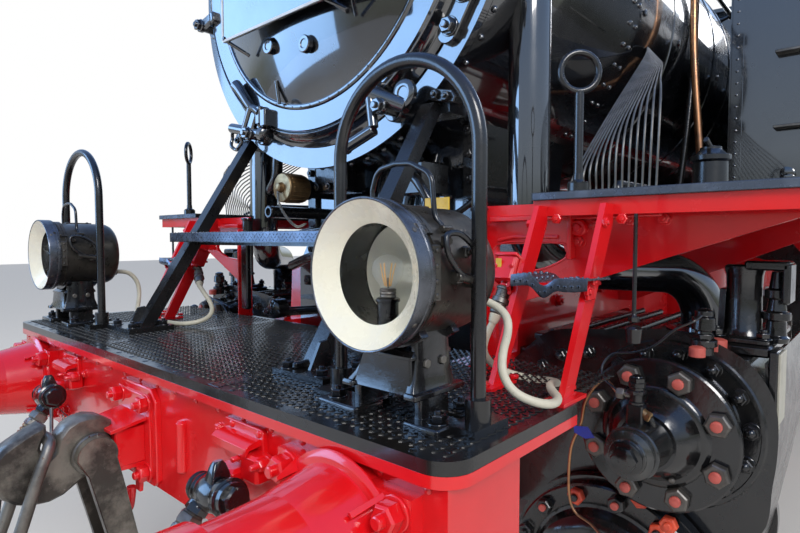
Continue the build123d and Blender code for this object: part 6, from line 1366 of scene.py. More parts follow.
    deck = Solid(f"chest_top_{name}", SATIN_BLACK)
    deck.box((2420, side * 700, 1276), (3196, side * 1330, 1300), edge=8)
    for k in range(9):
        deck.nut(at(3180, 760 + k * 62, 1300), Z, 24, 12, 0.2 * k, stud=5)
        deck.nut(at(2470 + k * 76, 1312, 1300), Z, 24, 12, 0.3 * k, stud=5)
    for y in (830, 900, 980):
        deck.rod(at(2500, y, 1318), at(3170, y, 1318), 11, 14)
    deck.finish(bevel=0.8, slot="cast_iron")


for name, side in SIDES.items():
    valve_front(name, side)


# Ladders: bent chequer treads, clips and bolts, and the junction boxes with their cable connectors
LADDERS = {1: (919, 1091), -1: (713, 885)}


def wave(low, high, count=22):
    """The ladder tread's edge as (across, height): two lands with a dip between them."""
    line = []
    for k in range(count + 1):
        t = k / count
        dip = max(0.0, 1 - abs(t - 0.44) / 0.2)
        rise = 5 * math.sin(t * math.pi * 2)
        line.append((low + (high - low) * t, 1528 + rise - 24 * dip * dip * (3 - 2 * dip)))
    return line


for name, side in SIDES.items():
    near, far = LADDERS[side]
    # Treads in the bluish colour of painted sky reflection
    tread = Solid(f"ladder_tread_{name}", CHEQUER_SKY_TINT)
    top = wave(near + 6, far + 22)
    rows = []
    for x, drop in ((3606, 2), (3622, 0), (3728, -2), (3733, -4), (3736, 6), (3736, 20)):
        rows.append([(x, side * y, z - drop) for y, z in top] + [(x - 3, side * y, z - drop - 5)
                                                                 for y, z in reversed(top)])
    if side < 0:
        rows = flipped(rows)
    tread.rings(rows)
    for k in range(11):
        y = near + 18 + (far - near - 14) * k / 10
        z = next(b for a, b in top if a >= y)
        for x in (3636, 3664, 3692, 3718):
            tread.lathe((x, side * y, z), Z, [(0, 5.6), (3.6, 4.6), (4.2, 3.4), (3.4, 2.4), (1, 2.2)], 12)
        tread.lathe((3735, side * y, z - 14), X, [(0, 4.6), (3, 4), (3.6, 2.8), (1, 2)], 10)
    tread.finish(slot="black_satin")

    clips = Solid(f"ladder_clips_{name}", RED)
    for y, out in ((near, -1), (far, 1)):
        for x, z, size in ((3706, 1500, 22), (3676, 1520, 18), (3612, 1655, 20)):
            clips.nut((x, side * (y + out * 7), z), Y * side * out, size, 10, 0.3, stud=4)
        clips.block((3695, side * (y + out * 12), 1494), (34, 10, 28), edge=2)
        clips.nut((3728, side * (y - out * 14), 1282), Z, 20, 9, 0.2)
        clips.nut((3832, side * y, 1280), Z, 20, 9, 0.4, stud=4)
    for x, y, z in ((3558, near - 12, 1640), (3558, near + 36, 1668), (3558, far + 30, 1664)):
        clips.nut((3553, side * y, z), X, 24, 12, 0.2, stud=5)
    clips.finish(bevel=0.6, slot="red_gloss")

    junction = Solid(f"junction_box_{name}", RED)
    box_y = side * (near - 7 - 30)
    slope = Vector((-0.43, 0, 0.9))
    middle = Vector((3668, box_y, 1536))
    junction.block(middle, (56, 62, 74), u=Y, v=slope.cross(Y), edge=6)
    junction.block(middle + X * 4 + slope * 34, (62, 66, 10), u=Y, v=slope.cross(Y), edge=2)
    for dy in (-22, 22):
        junction.nut(middle + Vector((26, dy, 14)), X, 11, 5, 0.2)
    junction.rod(middle - slope * 30, middle - slope * 46, 17, 24)
    junction.use(YELLOW)
    junction.block(middle + Vector((28, -side * 14, 10)), (3, 16, 44), edge=1)
    end = Vector((3722, 868, 1408)) if side > 0 else Vector((3708, -592, 1414))
    start = middle - slope * 44 if side > 0 else Vector((3672, -668, 1468))
    way = (end - start).normalized()
    reach = (end - start).length
    junction.use(DULL_STEEL)
    junction.lathe(start, way, [(0, 17), (4, 20), (8, 20), (10, 17), (reach * 0.30, 17), (reach * 0.32, 21),
                                (reach * 0.44, 22), (reach * 0.46, 18), (reach * 0.72, 17),
                                (reach * 0.75, 14)], 28)
    for k in range(7):
        junction.lathe(start + way * (12 + k * 4), way, [(0, 17), (1, 18.2), (2, 17)], 24)
    junction.use(SHEATH)
    junction.lathe(start, way, [(reach * 0.74, 12), (reach * 0.78, 14.5), (reach * 0.95, 12), (reach, 9.6),
                                (reach + 2, 8)], 24)
    junction.use(DULL_STEEL)
    if side < 0:
        junction.tube(smooth([middle - slope * 44, (3668, box_y + 6, 1480), (3672, -668, 1468)], 5), 14, 16)
    junction.finish(bevel=0.6, slot="red_gloss", replaces=["cable_boxes"])

# Board edges, valance bolts, brackets' flanges and the round pads under the board fronts
for name, side in SIDES.items():
    outer = 1500 if side > 0 else 1265
    # Board edges and treads in the bluish colour of painted sky reflection
    board = Solid(f"board_edges_{name}", CHEQUER_SKY_TINT)
    board.box((3557, side * 888, 1717), (3566, side * (outer - 3), 1737.5), edge=2)
    board.box((1968, side * (outer - 6), 1717), (3562, side * (outer + 1), 1737.5), edge=2)
    low_y, high_y = sorted((side * 900, side * (outer - 15)))
    tread_bars(board, (1990, low_y), (3540, high_y), 1737, 27, 54, (38, 9), 2)
    board.finish(slot="black_satin")

    flange = Solid(f"bracket_flanges_{name}", RED)
    flange.tube([(3434, side * y, z) for y, z in ((706, 1612), (760, 1622), (900, 1622))], 6, 10)
    rim = [(702, 1516), (702, 1600), (912, 1604), (926, 1572), (904, 1552), (838, 1527)]
    flange.tube(smooth([(3434, side * y, z) for y, z in rim], 4, True), 3.5, 8, closed=True)
    flange.box((3434, side * 642, 1180), (3490, side * 652, 1660), edge=3)
    for z in (1220, 1300, 1380, 1460, 1540, 1620):
        flange.nut((3462, side * 652, z), Y * side, 28, 15, 0.2, stud=6)
    flange.box((3434, side * 940, 1560), (3470, side * 952, 1700), edge=3)
    for y, z in ((962, 1650), (962, 1610), (1010, 1652), (1100, 1664), (1180, 1668)):
        flange.nut((3434, side * y, z), X, 26, 13, 0.3, stud=5, washer=19)
    flange.lathe((3434, side * 963, 1646), X, [(0, 24), (14, 24), (20, 20), (20, 12), (26, 10)], 28)
    flange.prism([(side * u, v) for u, v in ((690, 1666), (1180, 1672), (1180, 1684), (690, 1684))],
                 (3434, 0, 0), Y, Z, 30, 3)
    flange.use(SATIN_BLACK)
    flange.rod((3550, side * 1150, 1676), (3550, side * 1150, 1420), 5, 14)
    flange.nut((3550, side * 1150, 1420), Z, 22, 14, 0.2, stud=6)
    flange.lathe((3550, side * 1150, 1410), Z, [(-40, 16), (-6, 20), (0, 14)], 20)
    flange.use(RED)
    for count, start_x, y in ((18, 3470, outer - 8), (42, 1900, 1492)):
        for k in range(count):
            flange.lathe((start_x - 86 * k, side * y, 1697), Y * side, [(0, 8), (3, 7.6), (6, 5), (7, 2)], 12)
    flange.finish(bevel=0.5, slot="red_gloss")

    # Rounded splasher panels in front of the frame plate, and the frame's bolts and stays
    panels = Solid(f"splasher_panels_{name}", RED)
    for low_x, high_x in ((574, 1060), (-351, 457), (1330, 1500)):
        rows = []
        for k in range(13):
            t = k / 12
            x = low_x + (high_x - low_x) * t
            out = 646 + 150 * math.sin(math.pi * t) ** 0.7
            rows.append([(x, side * out, 1186), (x, side * out, 1500), (x, side * (out - 8), 1500),
                         (x, side * (out - 8), 1186)])
        if side < 0:
            rows = flipped(rows)
        panels.rings(rows)
    for x, z in ((3000, 1440), (2900, 1380), (2700, 1440), (2500, 1400), (1940, 1440), (1700, 1400),
                 (1560, 1440), (-700, 1420), (-900, 1440), (-1100, 1420), (-1300, 1440), (-1700, 1420),
                 (-1900, 1440), (-2400, 1420), (-2700, 1440), (-3000, 1420), (-3500, 1440), (-3900, 1380),
                 (3600, 1020), (3700, 1180), (4020, 1180), (4060, 1000), (2760, 830), (2600, 830),
                 (1300, 860), (650, 860), (-300, 860), (-950, 860)):
        panels.nut((x, side * 640, z), Y * side, 36, 18, x * 0.1, stud=8, washer=25)
    panels.finish(bevel=0.6, slot="red_gloss")


# Behind the platform: capped brass pipe with its chain, drain pipes and valve block
works = Solid("smokebox_underside", CAST_BLACK)
works.lathe((3500, -276, 1826), X, [(-300, 36), (-130, 36), (-126, 44), (-104, 44), (-100, 36), (-80, 36)],
            32)
works.lathe((3500, -370, 1730), X, [(-300, 25), (-12, 25), (-8, 27), (12, 27), (15, 23), (15, 16), (0, 14)],
            28)
works.tube(smooth([(3300, -470, 2150), (3360, -500, 2010), (3360, -520, 1900), (3340, -590, 1850),
                   (3300, -640, 1846)], 8), 24, 18)
works.block((3330, -120, 1880), (120, 190, 150), edge=10)
for y in (-190, -120, -50):
    works.nut((3390, y, 1930), X, 30, 14, 0.2, stud=6)
    works.nut((3390, y, 1830), X, 30, 14, 0.4, stud=6)
works.block((3260, 60, 1720), (90, 300, 36), edge=6)
for y in (-60, 20, 100, 180):
    works.nut((3305, y, 1720), X, 30, 14, 0.3, stud=6)
for y, radius in ((40, 20), (110, 14), (190, 26), (280, 16)):
    works.tube(smooth([(3220, y, 1560), (3280, y + 6, 1660), (3270, y + 20, 1800), (3230, y + 26, 1930)], 8),
               radius, 16)
works.tube(smooth([(3280, -520, 1490), (3300, -300, 1540), (3296, 0, 1520), (3300, 300, 1560),
                   (3270, 520, 1500)], 8), 22, 16)
works.tube(smooth([(3330, -430, 1640), (3340, -200, 1660), (3330, 160, 1650), (3340, 440, 1690),
                   (3300, 540, 1760)], 8), 11, 14)
works.block((3215, 0, 1420), (24, 1000, 46), edge=5)
for k in range(12):
    works.nut((3227, -462 + 84 * k, 1420), X, 34, 16, 0.2 * k, stud=7)
for side in (1, -1):
    works.block((3209, side * 445, 1800), (18, 60, 560), edge=4)
    for k in range(6):
        works.nut((3218, side * 446, 1570 + 88 * k), X, 32, 15, 0.3 * k, stud=6)
    works.lathe((3440, side * 640, 1450), Z, [(0, 28), (6, 30), (12, 24), (250, 24), (256, 30), (262, 28)],
                24)
    works.block((3540, side * 500, 1480), (26, 46, 340), edge=5)
for y in (-330, -250):
    works.rod((3216, y, 1300), (3560, y, 1316), 14, 16)
works.lathe((3560, -290, 1330), X, [(-60, 40), (-10, 40), (-4, 34), (0, 20)], 28)
works.block((3330, 330, 1830), (150, 110, 120), edge=8)
works.tube(smooth([(3400, 330, 1850), (3450, 360, 1840), (3470, 420, 1800), (3460, 480, 1700),
                   (3440, 520, 1560)], 8), 17, 16)
works.nut((3404, 330, 1850), X, 50, 16, 0.2)
works.finish(bevel=0.8, slot="cast_iron")

cap = Solid("brass_pipe_cap", BRASS)
cap.lathe((3405, -276, 1826), X, [(-6, 50), (0, 55), (8, 58), (96, 60), (104, 60), (108, 56), (110, 40),
                                  (111, 22), (118, 20), (130, 18), (134, 10)], 48)
for _, u, v in around(20, 1):
    cap.rod((3420, -276 + 58 * u, 1826 + 58 * v), (3494, -276 + 60 * u, 1826 + 60 * v), 2.4, 6)
cap.use(DULL_STEEL)
chain = smooth([(3530, -276, 1818), (3536, -262, 1760), (3524, -226, 1700), (3500, -196, 1666),
                (3470, -180, 1676)], 9)
for k, place in enumerate(chain[:-1]):
    way = (chain[k + 1] - place).normalized()
    across = way.orthogonal().normalized() if k % 2 else way.cross(way.orthogonal()).normalized()
    cap.tube([place + way * 8.5 * v + across * 4.2 * u for _, u, v in around(10, 1)], 1.7, 6, closed=True)
cap.use(YELLOW)
cap.block((3516, 532, 1722), (4, 96, 46), u=X, v=Y, edge=1)
cap.use(SATIN_BLACK)
for y in (500, 560):
    cap.rod((3480, y, 1748), (3514, y, 1742), 5, 10)
cap.finish(slot="machined_steel")

# Thin pipes that come off the boiler's side as a flat bundle and spread out down to the board's front
fan = Solid("small_pipe_fan", DULL_STEEL)
for side in (1, -1):
    for k in range(14):
        t = k / 13
        inner = Vector((2240 - 60 * t, side * (735 + 40 * t), 2470 - 40 * t))
        top = Vector((2330 - 90 * t, side * (770 + 26 * t), 2452 - 40 * t))
        foot = Vector((3268, side * (862 + 245 * t), 1700))
        knee = foot + Vector((-20, 0, 120 + 190 * t))
        shoulder = top.lerp(knee, 0.12) + Vector((0, side * 8, -6))
        fan.tube(smooth([inner, top, shoulder, top.lerp(knee, 0.6), knee, foot + Z * 60, foot], 6), 3.2, 8)
fan.finish(slot="machined_steel")

# On the boards: the grab rods' nuts and collars, the oil cup on its feet and a long pipe
fittings = Solid("board_fittings", SATIN_BLACK)
for side in (1, -1):
    for a, u, v in around(6, 20):
        fittings.nut((3535 + u, side * 1000 + v, 1757), Z, 9, 5, a)
    fittings.lathe((3535, side * 1000, 1756), Z, [(0, 20), (6, 17), (10, 13), (26, 12)], 20)
    fittings.lathe((3000, side * 1180, 1737), Z, [(0, 60), (10, 60), (14, 50), (110, 48), (116, 56),
                                                  (130, 56), (134, 44), (150, 30), (156, 30), (160, 14)], 36)
    fittings.rod((3000, side * 1180, 1890), (3060, side * 1180, 1910), 8, 12)
    for dx in (-60, 60):
        fittings.rod((3000 + dx, side * 1180, 1775), (3000 + dx * 1.9, side * 1180, 1752), 7, 10)
    fittings.tube(bent([(3110, side * 940, 1740), (3110, side * 940, 1790), (2500, side * 940, 1800),
                        (2050, side * 940, 1800)], 30), 15, 14)
fittings.finish(bevel=0.6, slot="black_satin")

pump = Solid("air_pump_details", CAST_BLACK)
for z in (1777, 2060, 2168, 2490):
    pump.lathe((2250, -1080, z), Z, [(0, 150), (4, 163), (22, 163), (26, 150)], 64)
    for a, u, v in around(12, 154):
        pump.nut((2250 + u, -1080 + v, z + 26), Z, 20, 12, a, stud=4)
for k in range(7):
    pump.lathe((2250, -1080, 1826 + k * 30), Z, [(0, 149), (3, 160), (8, 160), (11, 149)], 64)
pump.tube(smooth([(2250, -1080, 2580), (2250, -1080, 2640), (2250, -1000, 2690), (2250, -900, 2700),
                  (2250, -800, 2720)], 8), 26, 18)
pump.tube(smooth([(2250, -930, 2100), (2250, -860, 2120), (2260, -830, 2200), (2260, -800, 2400)], 8), 22, 18)
pump.block((2250, -930, 2300), (90, 60, 420), edge=8)
pump.finish(bevel=0.6, slot="cast_iron")


# Rivets along the sheet edges of tanks, cab and bunker, with the fittings that sit on them
RIVET = [(0, 8.5), (4.4, 7), (7.3, 2.4)]
TANK_TOP_Z = 3040
SKIN_Y = 1498


def rivet_line(piece, start, end, pitch, axis, size=1.0):
    start, end = Vector(start), Vector(end)
    count = max(1, round((end - start).length / pitch))
    profile = [(a * size, r * size) for a, r in RIVET]
    for k in range(count + 1):
        piece.lathe(start.lerp(end, k / count), axis, profile, 8)


for name, side in SIDES.items():
    tank = Solid(f"tank_rivets_{name}", BLACK)
    skin = side * (SKIN_Y + 1)
    for z in (1772, 2990):
        rivet_line(tank, (1930, skin, z), (-1660, skin, z), 62, Y * side)
    for x in (1930, 1890, 735, 695, -465, -505, -1620, -1665):
        rivet_line(tank, (x, skin, 1830), (x, skin, 2940), 62, Y * side)
    for y in (1045, 1470):
        rivet_line(tank, (1964, side * y, 1790), (1964, side * y, 2960), 52, X)
    for z in (1772, 3000):
        rivet_line(tank, (1964, side * 1100, z), (1964, side * 1440, z), 52, X)
    for y in (1060, 1455):
        rivet_line(tank, (1920, side * y, 3039), (-1650, side * y, 3039), 70, Z)
    for x in (715, -485):
        tank.box((x - 45, side * SKIN_Y, 1742), (x + 45, side * 1503, 3000), 1.5)
    tank.box((1962, side * 1022, 1740), (1969, side * 1070, 3010), 1.5)
    for z in (2300, 2620):
        for x in (1350, 1650):
            tank.rod((x, side * SKIN_Y, z), (x, side * 1556, z), 9, 14)
            tank.lathe((x, side * SKIN_Y, z), Y * side, [(0, 24), (5, 22), (8, 14)], 18)
        tank.rod((1350, side * 1552, z), (1650, side * 1552, z), 9, 14)
    for x in (1500, -900):
        tank.tube(bent([(x, side * 1200, TANK_TOP_Z), (x, side * 1200, 3096), (x, side * 1320, 3096),
                        (x, side * 1320, TANK_TOP_Z)], 26), 12, 14)
    tank.lathe((-1300, side * 1280, TANK_TOP_Z), Z, [(0, 90), (14, 90), (18, 84), (30, 70), (34, 0)], 40)
    for a, u, v in around(8, 76):
        tank.nut((-1300 + u, side * 1280 + v, 3054), Z, 20, 10, a)
    for z in (1880, 1900):
        tank.lathe((1966, side * 1250, z), X, [(0, 26), (10, 26), (14, 18), (34, 16), (36, 24), (50, 24),
                                               (54, 12)], 22)
    tank.use(DULL_STEEL)
    for z in (2420, 2100):
        tank.block((1990, side * 1300, z), (50, 210, 14), edge=3)
    tank.finish(slot="black_gloss")

    # Filler neck bolts and a grip on the lid
    filler = Solid(f"filler_bolts_{name}", BLACK)
    for k in range(6):
        for y in (1408,) if k in (0, 5) else (1112, 1408):
            filler.nut((725 + k * 70, side * y, TANK_TOP_Z), Z, 20, 10, 0.2 * k, washer=14)
    filler.finish(slot="black_gloss")
    lid = Solid(f"lid_ribs_{name}", BLACK, f"tank_lid_{name}")
    for x in (790, 900, 1010):
        lid.box((x - 10, side * 1150, 3114), (x + 10, side * 1400, 3124), 3)
    for x in (700, 1100):
        rivet_line(lid, (x, side * 1130, 3114), (x, side * 1400, 3114), 45, Z, 0.7)
    lid.finish(slot="black_gloss")

    cab = Solid(f"cab_rivets_{name}", BLACK)
    for z in (1690, 3490):
        rivet_line(cab, (-1730, skin, z), (-3220, skin, z), 62, Y * side, 0.9)
    for x in (-1735, -2190, -2890, -3215):
        rivet_line(cab, (x, skin, 1750), (x, skin, 3440), 64, Y * side, 0.9)
    for x, width in ((-1960, 360), (-3050, 240)):
        frame_line = rounded_box(x - width / 2 - 20, x + width / 2 + 20, 2680, 3340, 10, 3)
        hole = rounded_box(x - width / 2 + 2, x + width / 2 - 2, 2702, 3318, 4, 3)
        rows = [[(u, side * y, v) for u, v in line] for y, line in ((SKIN_Y, frame_line), (1507, frame_line),
                                                                    (1507, hole), (SKIN_Y, hole))]
        if side > 0:
            rows = flipped(rows)
        cab.rings(rows, closed=True)
        for dx in (-width / 2 - 12, width / 2 + 12):
            rivet_line(cab, (x + dx, side * 1506, 2720), (x + dx, side * 1506, 3300), 72, Y * side, 0.5)
    for x in (-2870, -2225):
        cab.box((x, side * SKIN_Y, 1700), (x + 15, side * 1508, 3420), 2)
    cab.box((-2870, side * SKIN_Y, 3402), (-2210, side * 1508, 3418), 2)
    cab.box((-3340, side * 1546, 3518), (-1610, side * 1556, 3538), 2)
    cab.use(CAB_GLASS)
    for x, width in ((-1960, 356), (-3050, 236)):
        cab.box((x - width / 2, side * 1482, 2703), (x + width / 2, side * 1487, 3317), 0.5)
    cab.finish(slot="black_gloss")

    door = Solid(f"cab_door_panels_{name}", BLACK, f"cab_door_{name}")
    for low_z, high_z in ((1800, 2240), (2290, 2840)):
        door.box((-2800, side * 1497, low_z), (-2280, side * 1501, high_z), 1.5)
    for z in (1775, 2265, 2872):
        rivet_line(door, (-2820, side * 1497, z), (-2262, side * 1497, z), 62, Y * side, 0.6)
    door.use(BRASS)
    door.lathe((-2300, side * SKIN_Y, 2650), Y * side,
               [(0, 20), (5, 20), (8, 12), (22, 10), (28, 20), (40, 20), (44, 12)], 24)
    door.finish(slot="black_gloss")

    bunker = Solid(f"bunker_rivets_{name}", BLACK)
    wall = side * 1399
    for x in (-3290, -3700, -4110):
        rivet_line(bunker, (x, wall, 1560), (x, wall, 2620 if x < -4000 else 2990), 62, Y * side)
    for x, z in ((-4110, 1540), (-3990, 3000)):
        rivet_line(bunker, (-3290, wall, z), (x, wall, z), 62, Y * side)
    bunker.rod((-3258, side * 1390, 3042), (-4006, side * 1390, 3042), 13, 16)
    bunker.use(DULL_STEEL)
    for z in (1750, 2050, 2350, 2620):
        bunker.tube(bent([(-4149, side * 1150, z), (-4185, side * 1150, z), (-4185, side * 960, z),
                          (-4149, side * 960, z)], 18), 10, 12)
    bunker.finish(slot="black_gloss")

    # Rail along the boiler on its pillars, sand pipes and the clack valve with its feed pipe
    rail = Solid(f"boiler_rail_{name}", SATIN_BLACK)
    y, z = side * 720, 3140
    rail.rod((2440, y, z), (-1500, y, z), 15, 16)
    for k in range(5):
        x = 2300 - k * 900
        rail.lathe((x, side * 640, 3116), (0, side * 0.96, 0.27),
                   [(-12, 26), (4, 22), (8, 14), (60, 11), (66, 20), (96, 22), (104, 12)], 20)
    rail.tube(smooth([(1560, side * 300, 3560), (1600, side * 560, 3400), (1640, side * 760, 3060),
                      (1700, side * 800, 2700), (1760, side * 790, 2200), (1800, side * 760, 1800)], 8), 16,
              14)
    rail.lathe((1900, side * 700, 3040), (0, side * 0.9, 0.44),
               [(-10, 60), (16, 60), (20, 50), (30, 40), (90, 38), (96, 50), (116, 50), (120, 30)], 28)
    rail.use(COPPER)
    rail.tube(smooth([(1900, side * 790, 3060), (1960, side * 850, 2900), (1990, side * 870, 2500),
                      (1990, side * 900, 2100), (1980, side * 930, 1745)], 8), 17, 14)
    rail.finish(slot="black_satin")

# Boiler bands and rivets, dome bands, safety valves, whistle and generator
boiler = Solid("boiler_bands", BLACK)
for x in (2440, 1960, 1180, 790, 60, -700, -1180, -1660):
    boiler.lathe((0, 0, BOILER_Z), X, [(x - 32, 779), (x - 30, 785), (x + 30, 785), (x + 32, 779)], 128,
                 closed=True)
    for side in (1, -1):
        boiler.nut((x, side * 786, 2560), Y * side, 26, 14, 0.2)
for _, u, v in around(28, 790):
    boiler.lathe((2452, u, BOILER_Z + v), (0, u, v), [(-4, 12), (4, 11), (9, 6)], 10)
for side in (1, -1):
    for x in (-400, -800, -1200, -1560):
        for z in (3190, 2420, 2200):
            out = math.sqrt(max(0, 781 ** 2 - (z - BOILER_Z) ** 2))
            boiler.nut((x, side * out * 0.998, z), (0, side * out, z - BOILER_Z), 44, 22, 0.3, washer=34)
boiler.finish(slot="black_gloss")

tops = Solid("dome_bands", BLACK)
for x, radius, top in ((1560, 330, 3930), (420, 350, 3990)):
    tops.lathe((x, 0, 0), Z, [(top - 168, radius), (top - 164, radius + 6), (top - 140, radius + 6),
                              (top - 136, radius)], 96, closed=True)
    tops.lathe((x, 0, 0), Z, [(3560, radius), (3564, radius + 8), (3588, radius + 8), (3592, radius)], 96,
               closed=True)
    for _, u, v in around(24, radius + 7):
        tops.lathe((x + u, v, 3576), (u, v, 0), [(0, 8), (4, 7), (7, 3)], 8)
for a, u, v in around(16, 300):
    tops.lathe((2865 + u, v, math.sqrt(806 ** 2 - v ** 2) + BOILER_Z + 10), (0, math.sin(a) * 0.37, 1),
               [(0, 15), (8, 14), (14, 8)], 12)
tops.lathe((2865, 0, 0), Z, [(4098, 233), (4104, 240), (4120, 252), (4128, 264), (4134, 268), (4164, 268),
                             (4172, 262)], 96, closed=True)
for x in (1360, 1760):
    tops.lathe((x, 0, 3800), (1 if x > 1560 else -1, 0, 0), [(110, 40), (150, 40), (154, 30)], 24)
tops.lathe((1560, 0, 3926), Z, [(0, 120), (8, 120), (12, 110), (40, 96), (44, 0)], 48)
for side in (1, -1):
    tops.rod((1560, side * 60, 3955), (1560, side * 60, 3990), 10, 12)
tops.rod((1560, -60, 3988), (1560, 60, 3988), 10, 12)
tops.finish(slot="black_gloss")

brass = Solid("safety_valve_tops", BRASS)
for side in (1, -1):
    brass.lathe((-420, side * 70, 0), Z, [(3680, 50), (3690, 54), (3740, 52), (3760, 44), (3800, 42),
                                          (3812, 50), (3828, 52), (3832, 40), (3836, 20)], 36)
    brass.rod((-420, side * 70, 3834), (-560, side * 70, 3842), 9, 12)
brass.lathe((-600, 0, 0), Z, [(3700, 40), (3706, 43), (3800, 43), (3806, 38), (3830, 22), (3838, 24),
                              (3848, 12)], 32)
brass.lathe((-600, 0, 0), Z, [(3660, 24), (3666, 30), (3684, 30), (3690, 22)], 28)
brass.rod((-600, 0, 3604), (-600, 60, 3560), 10, 12)
brass.finish(slot="machined_steel")

generator = Solid("generator_details", CAST_BLACK)
GENERATOR_Z = BOILER_Z + 910
for x, way in ((-1360, -X), (-1040, X)):
    for a, u, v in around(8, 104, 0.2):
        generator.nut((x, u, GENERATOR_Z + v), way, 22, 12, a, stud=4)
for a, u, v in around(16, 150):
    generator.nut((-1154, u, GENERATOR_Z + v), X, 18, 10, a)
generator.tube(smooth([(-1200, 150, GENERATOR_Z + 40), (-1200, 240, GENERATOR_Z + 20),
                       (-1240, 330, GENERATOR_Z - 60), (-1300, 400, 3430)], 8), 20, 16)
generator.tube(smooth([(-1150, 0, GENERATOR_Z + 130), (-1120, 0, GENERATOR_Z + 210),
                       (-1060, 0, GENERATOR_Z + 240)], 6), 24, 18)
generator.finish(slot="cast_iron")

# Front and rear cab windows: frames and glass
end_frames = Solid("cab_end_window_frames", BLACK)
for x, places, width in ((-1700, (-1120, 1120), 380), (-3250, (-760, 760), 460)):
    out = 1 if x > -2000 else -1
    for y in places:
        outer = rounded_box(y - width / 2 - 22, y + width / 2 + 22, 3108, 3452, 70, 5)
        hole = rounded_box(y - width / 2 + 2, y + width / 2 - 2, 3132, 3428, 56, 5)
        rows = [[(x + out * d, u, v) for u, v in line]
                for d, line in ((-1, outer), (10, outer), (10, hole), (-1, hole))]
        if out < 0:
            rows = flipped(rows)
        end_frames.rings(rows, closed=True)
        for _, u, v in around(10, 1):
            end_frames.lathe((x + out * 9, y + (width / 2 + 12) * u, 3280 + 160 * v), X * out,
                             [(0, 6), (3, 5), (5, 2)], 8)
        end_frames.use(CAB_GLASS)
        end_frames.prism(rounded(width / 2 - 3, 147, 54, 5), (x - out * 12, y, 3280), Y, Z, 5)
        end_frames.use(BLACK)
    if out < 0:
        rivet_line(end_frames, (x + out, -1420, 3390), (x + out, 1420, 3390), 70, X * out, 0.8)
end_frames.finish(slot="black_gloss")

# Roof ribs, with the hatch and its rivets
ROOF_RISE = 420
ROOF_HALF_WIDTH = 1560
ROOF_CROWN_Z = 3960
roof_r = (ROOF_HALF_WIDTH ** 2 + ROOF_RISE ** 2) / (2 * ROOF_RISE)
roof = Solid("roof_ribs", BLACK)
for x in (-3352, -2900, -2050, -1598):
    rows = []
    for k in range(33):
        a = math.radians(-29.2 + 58.4 * k / 32)
        rows.append([(x + dx, math.sin(a) * r, ROOF_CROWN_Z - roof_r + math.cos(a) * r)
                     for dx, r in ((-14, roof_r - 4), (-14, roof_r + 8), (14, roof_r + 8), (14, roof_r - 4))])
    roof.rings(rows)
for y in (-300, 300):
    roof.box((-2840, y - 12, 3996), (-2110, y + 12, 4010), 4)
for x in (-2830, -2120):
    roof.box((x - 12, -300, 3996), (x + 12, 300, 4010), 4)
for k in range(9):
    for y in (-270, 270):
        roof.lathe((-2800 + k * 80, y, 4000), Z, [(0, 8), (4, 7), (7, 3)], 8)
roof.tube(bent([(-2560, 0, 4000), (-2560, 0, 4050), (-2400, 0, 4050), (-2400, 0, 4000)], 20), 10, 12)
roof.finish(slot="black_gloss")

# Coal: rough lumps over a plain heap
rng = random.Random(7)
coal = Solid("coal_load", COAL)
for k in range(620):
    x = rng.uniform(-4060, -3310)
    y = rng.uniform(-1340, 1340)
    height = 2640 + 330 * (1 - (y / 1500) ** 2) - 0.9 * max(0, -3900 - x)
    size = rng.uniform(34, 74)
    rough = []
    for ring, (lift, share) in enumerate(((-0.8, 0.45), (-0.35, 1), (0.4, 0.9), (0.85, 0.4))):
        rough.append([(x + rng.uniform(0.7, 1.1) * u, y + rng.uniform(0.7, 1.1) * v,
                       height + size * lift + rng.uniform(-8, 8)) for _, u, v in around(6, size * share,
                                                                                        ring)])
    coal.rings(rough)
coal.prism([(-4040, 2300), (-3300, 2300), (-3300, 2950), (-3860, 2920), (-4040, 2560)], (0, 1350, 0), X, Z,
           2700, 20)
coal.finish(slot="cast_iron")


# Running gear: nuts, oil cups and keys on the wheels, rods, guides and brake gear
AXLE_X = {"front": 1765, "middle": 165, "driven": -1435}
CRANK_DEG = {1: -90, -1: 180}
CRANK_THROW = 275
COUPLING_ROD_Y = 890
MAIN_ROD_Y = 1038
MAIN_ROD_LENGTH = 3135


def crank_place(x, turn, throw=CRANK_THROW):
    """Where a pin turns to, as (x, z), for an axle at x and a crank at an angle in radians."""
    return x + throw * math.cos(turn), AXLE_Z + throw * math.sin(turn)


def degrees_apart(a, b):
    """The smaller angle between two directions."""
    return abs((a - b + 180) % 360 - 180)


for name, x in AXLE_X.items():
    wheel = Solid(f"wheel_details_{name}", RED, f"wheelset_{name}")
    ends = Solid(f"axle_ends_{name}", STEEL, f"wheelset_{name}")
    for side in (1, -1):
        turn = math.radians(CRANK_DEG[side])
        pin = crank_place(x, turn)
        for degrees in range(15, 360, 30):
            # The balance weight fills the rim opposite the crank
            if degrees_apart(degrees, CRANK_DEG[side] + 180) > 50:
                hole_x, hole_z = crank_place(x, math.radians(degrees), 408)
                wheel.lathe((hole_x, side * 776, hole_z), Y * side, [(-6, 34), (0, 30), (10, 12)], 14)
        wheel.lathe((x, side * 838, AXLE_Z), Y * side, [(0, 132), (6, 130), (9, 122), (9, 98), (4, 94)], 48)
        wheel.lathe((x, side * 808, AXLE_Z), Y * side,
                    [(0, 432), (4, 434), (8, 440), (8, 478), (4, 483), (0, 484)], 96, closed=True)
        ends.lathe((x, side * 838, AXLE_Z), Y * side, [(0, 89), (4, 87), (4, 20), (-2, 8)], 48)
        for a, u, v in around(3, 50):
            ends.nut((x + u, side * 842, AXLE_Z + v), Y * side, 18, 6, a)
        ends.nut((pin[0], side * 941, pin[1]), Y * side, 70, 4 if name == "driven" else 18, 0.3)
    wheel.finish(slot="red_gloss")
    ends.finish(slot="machined_steel")

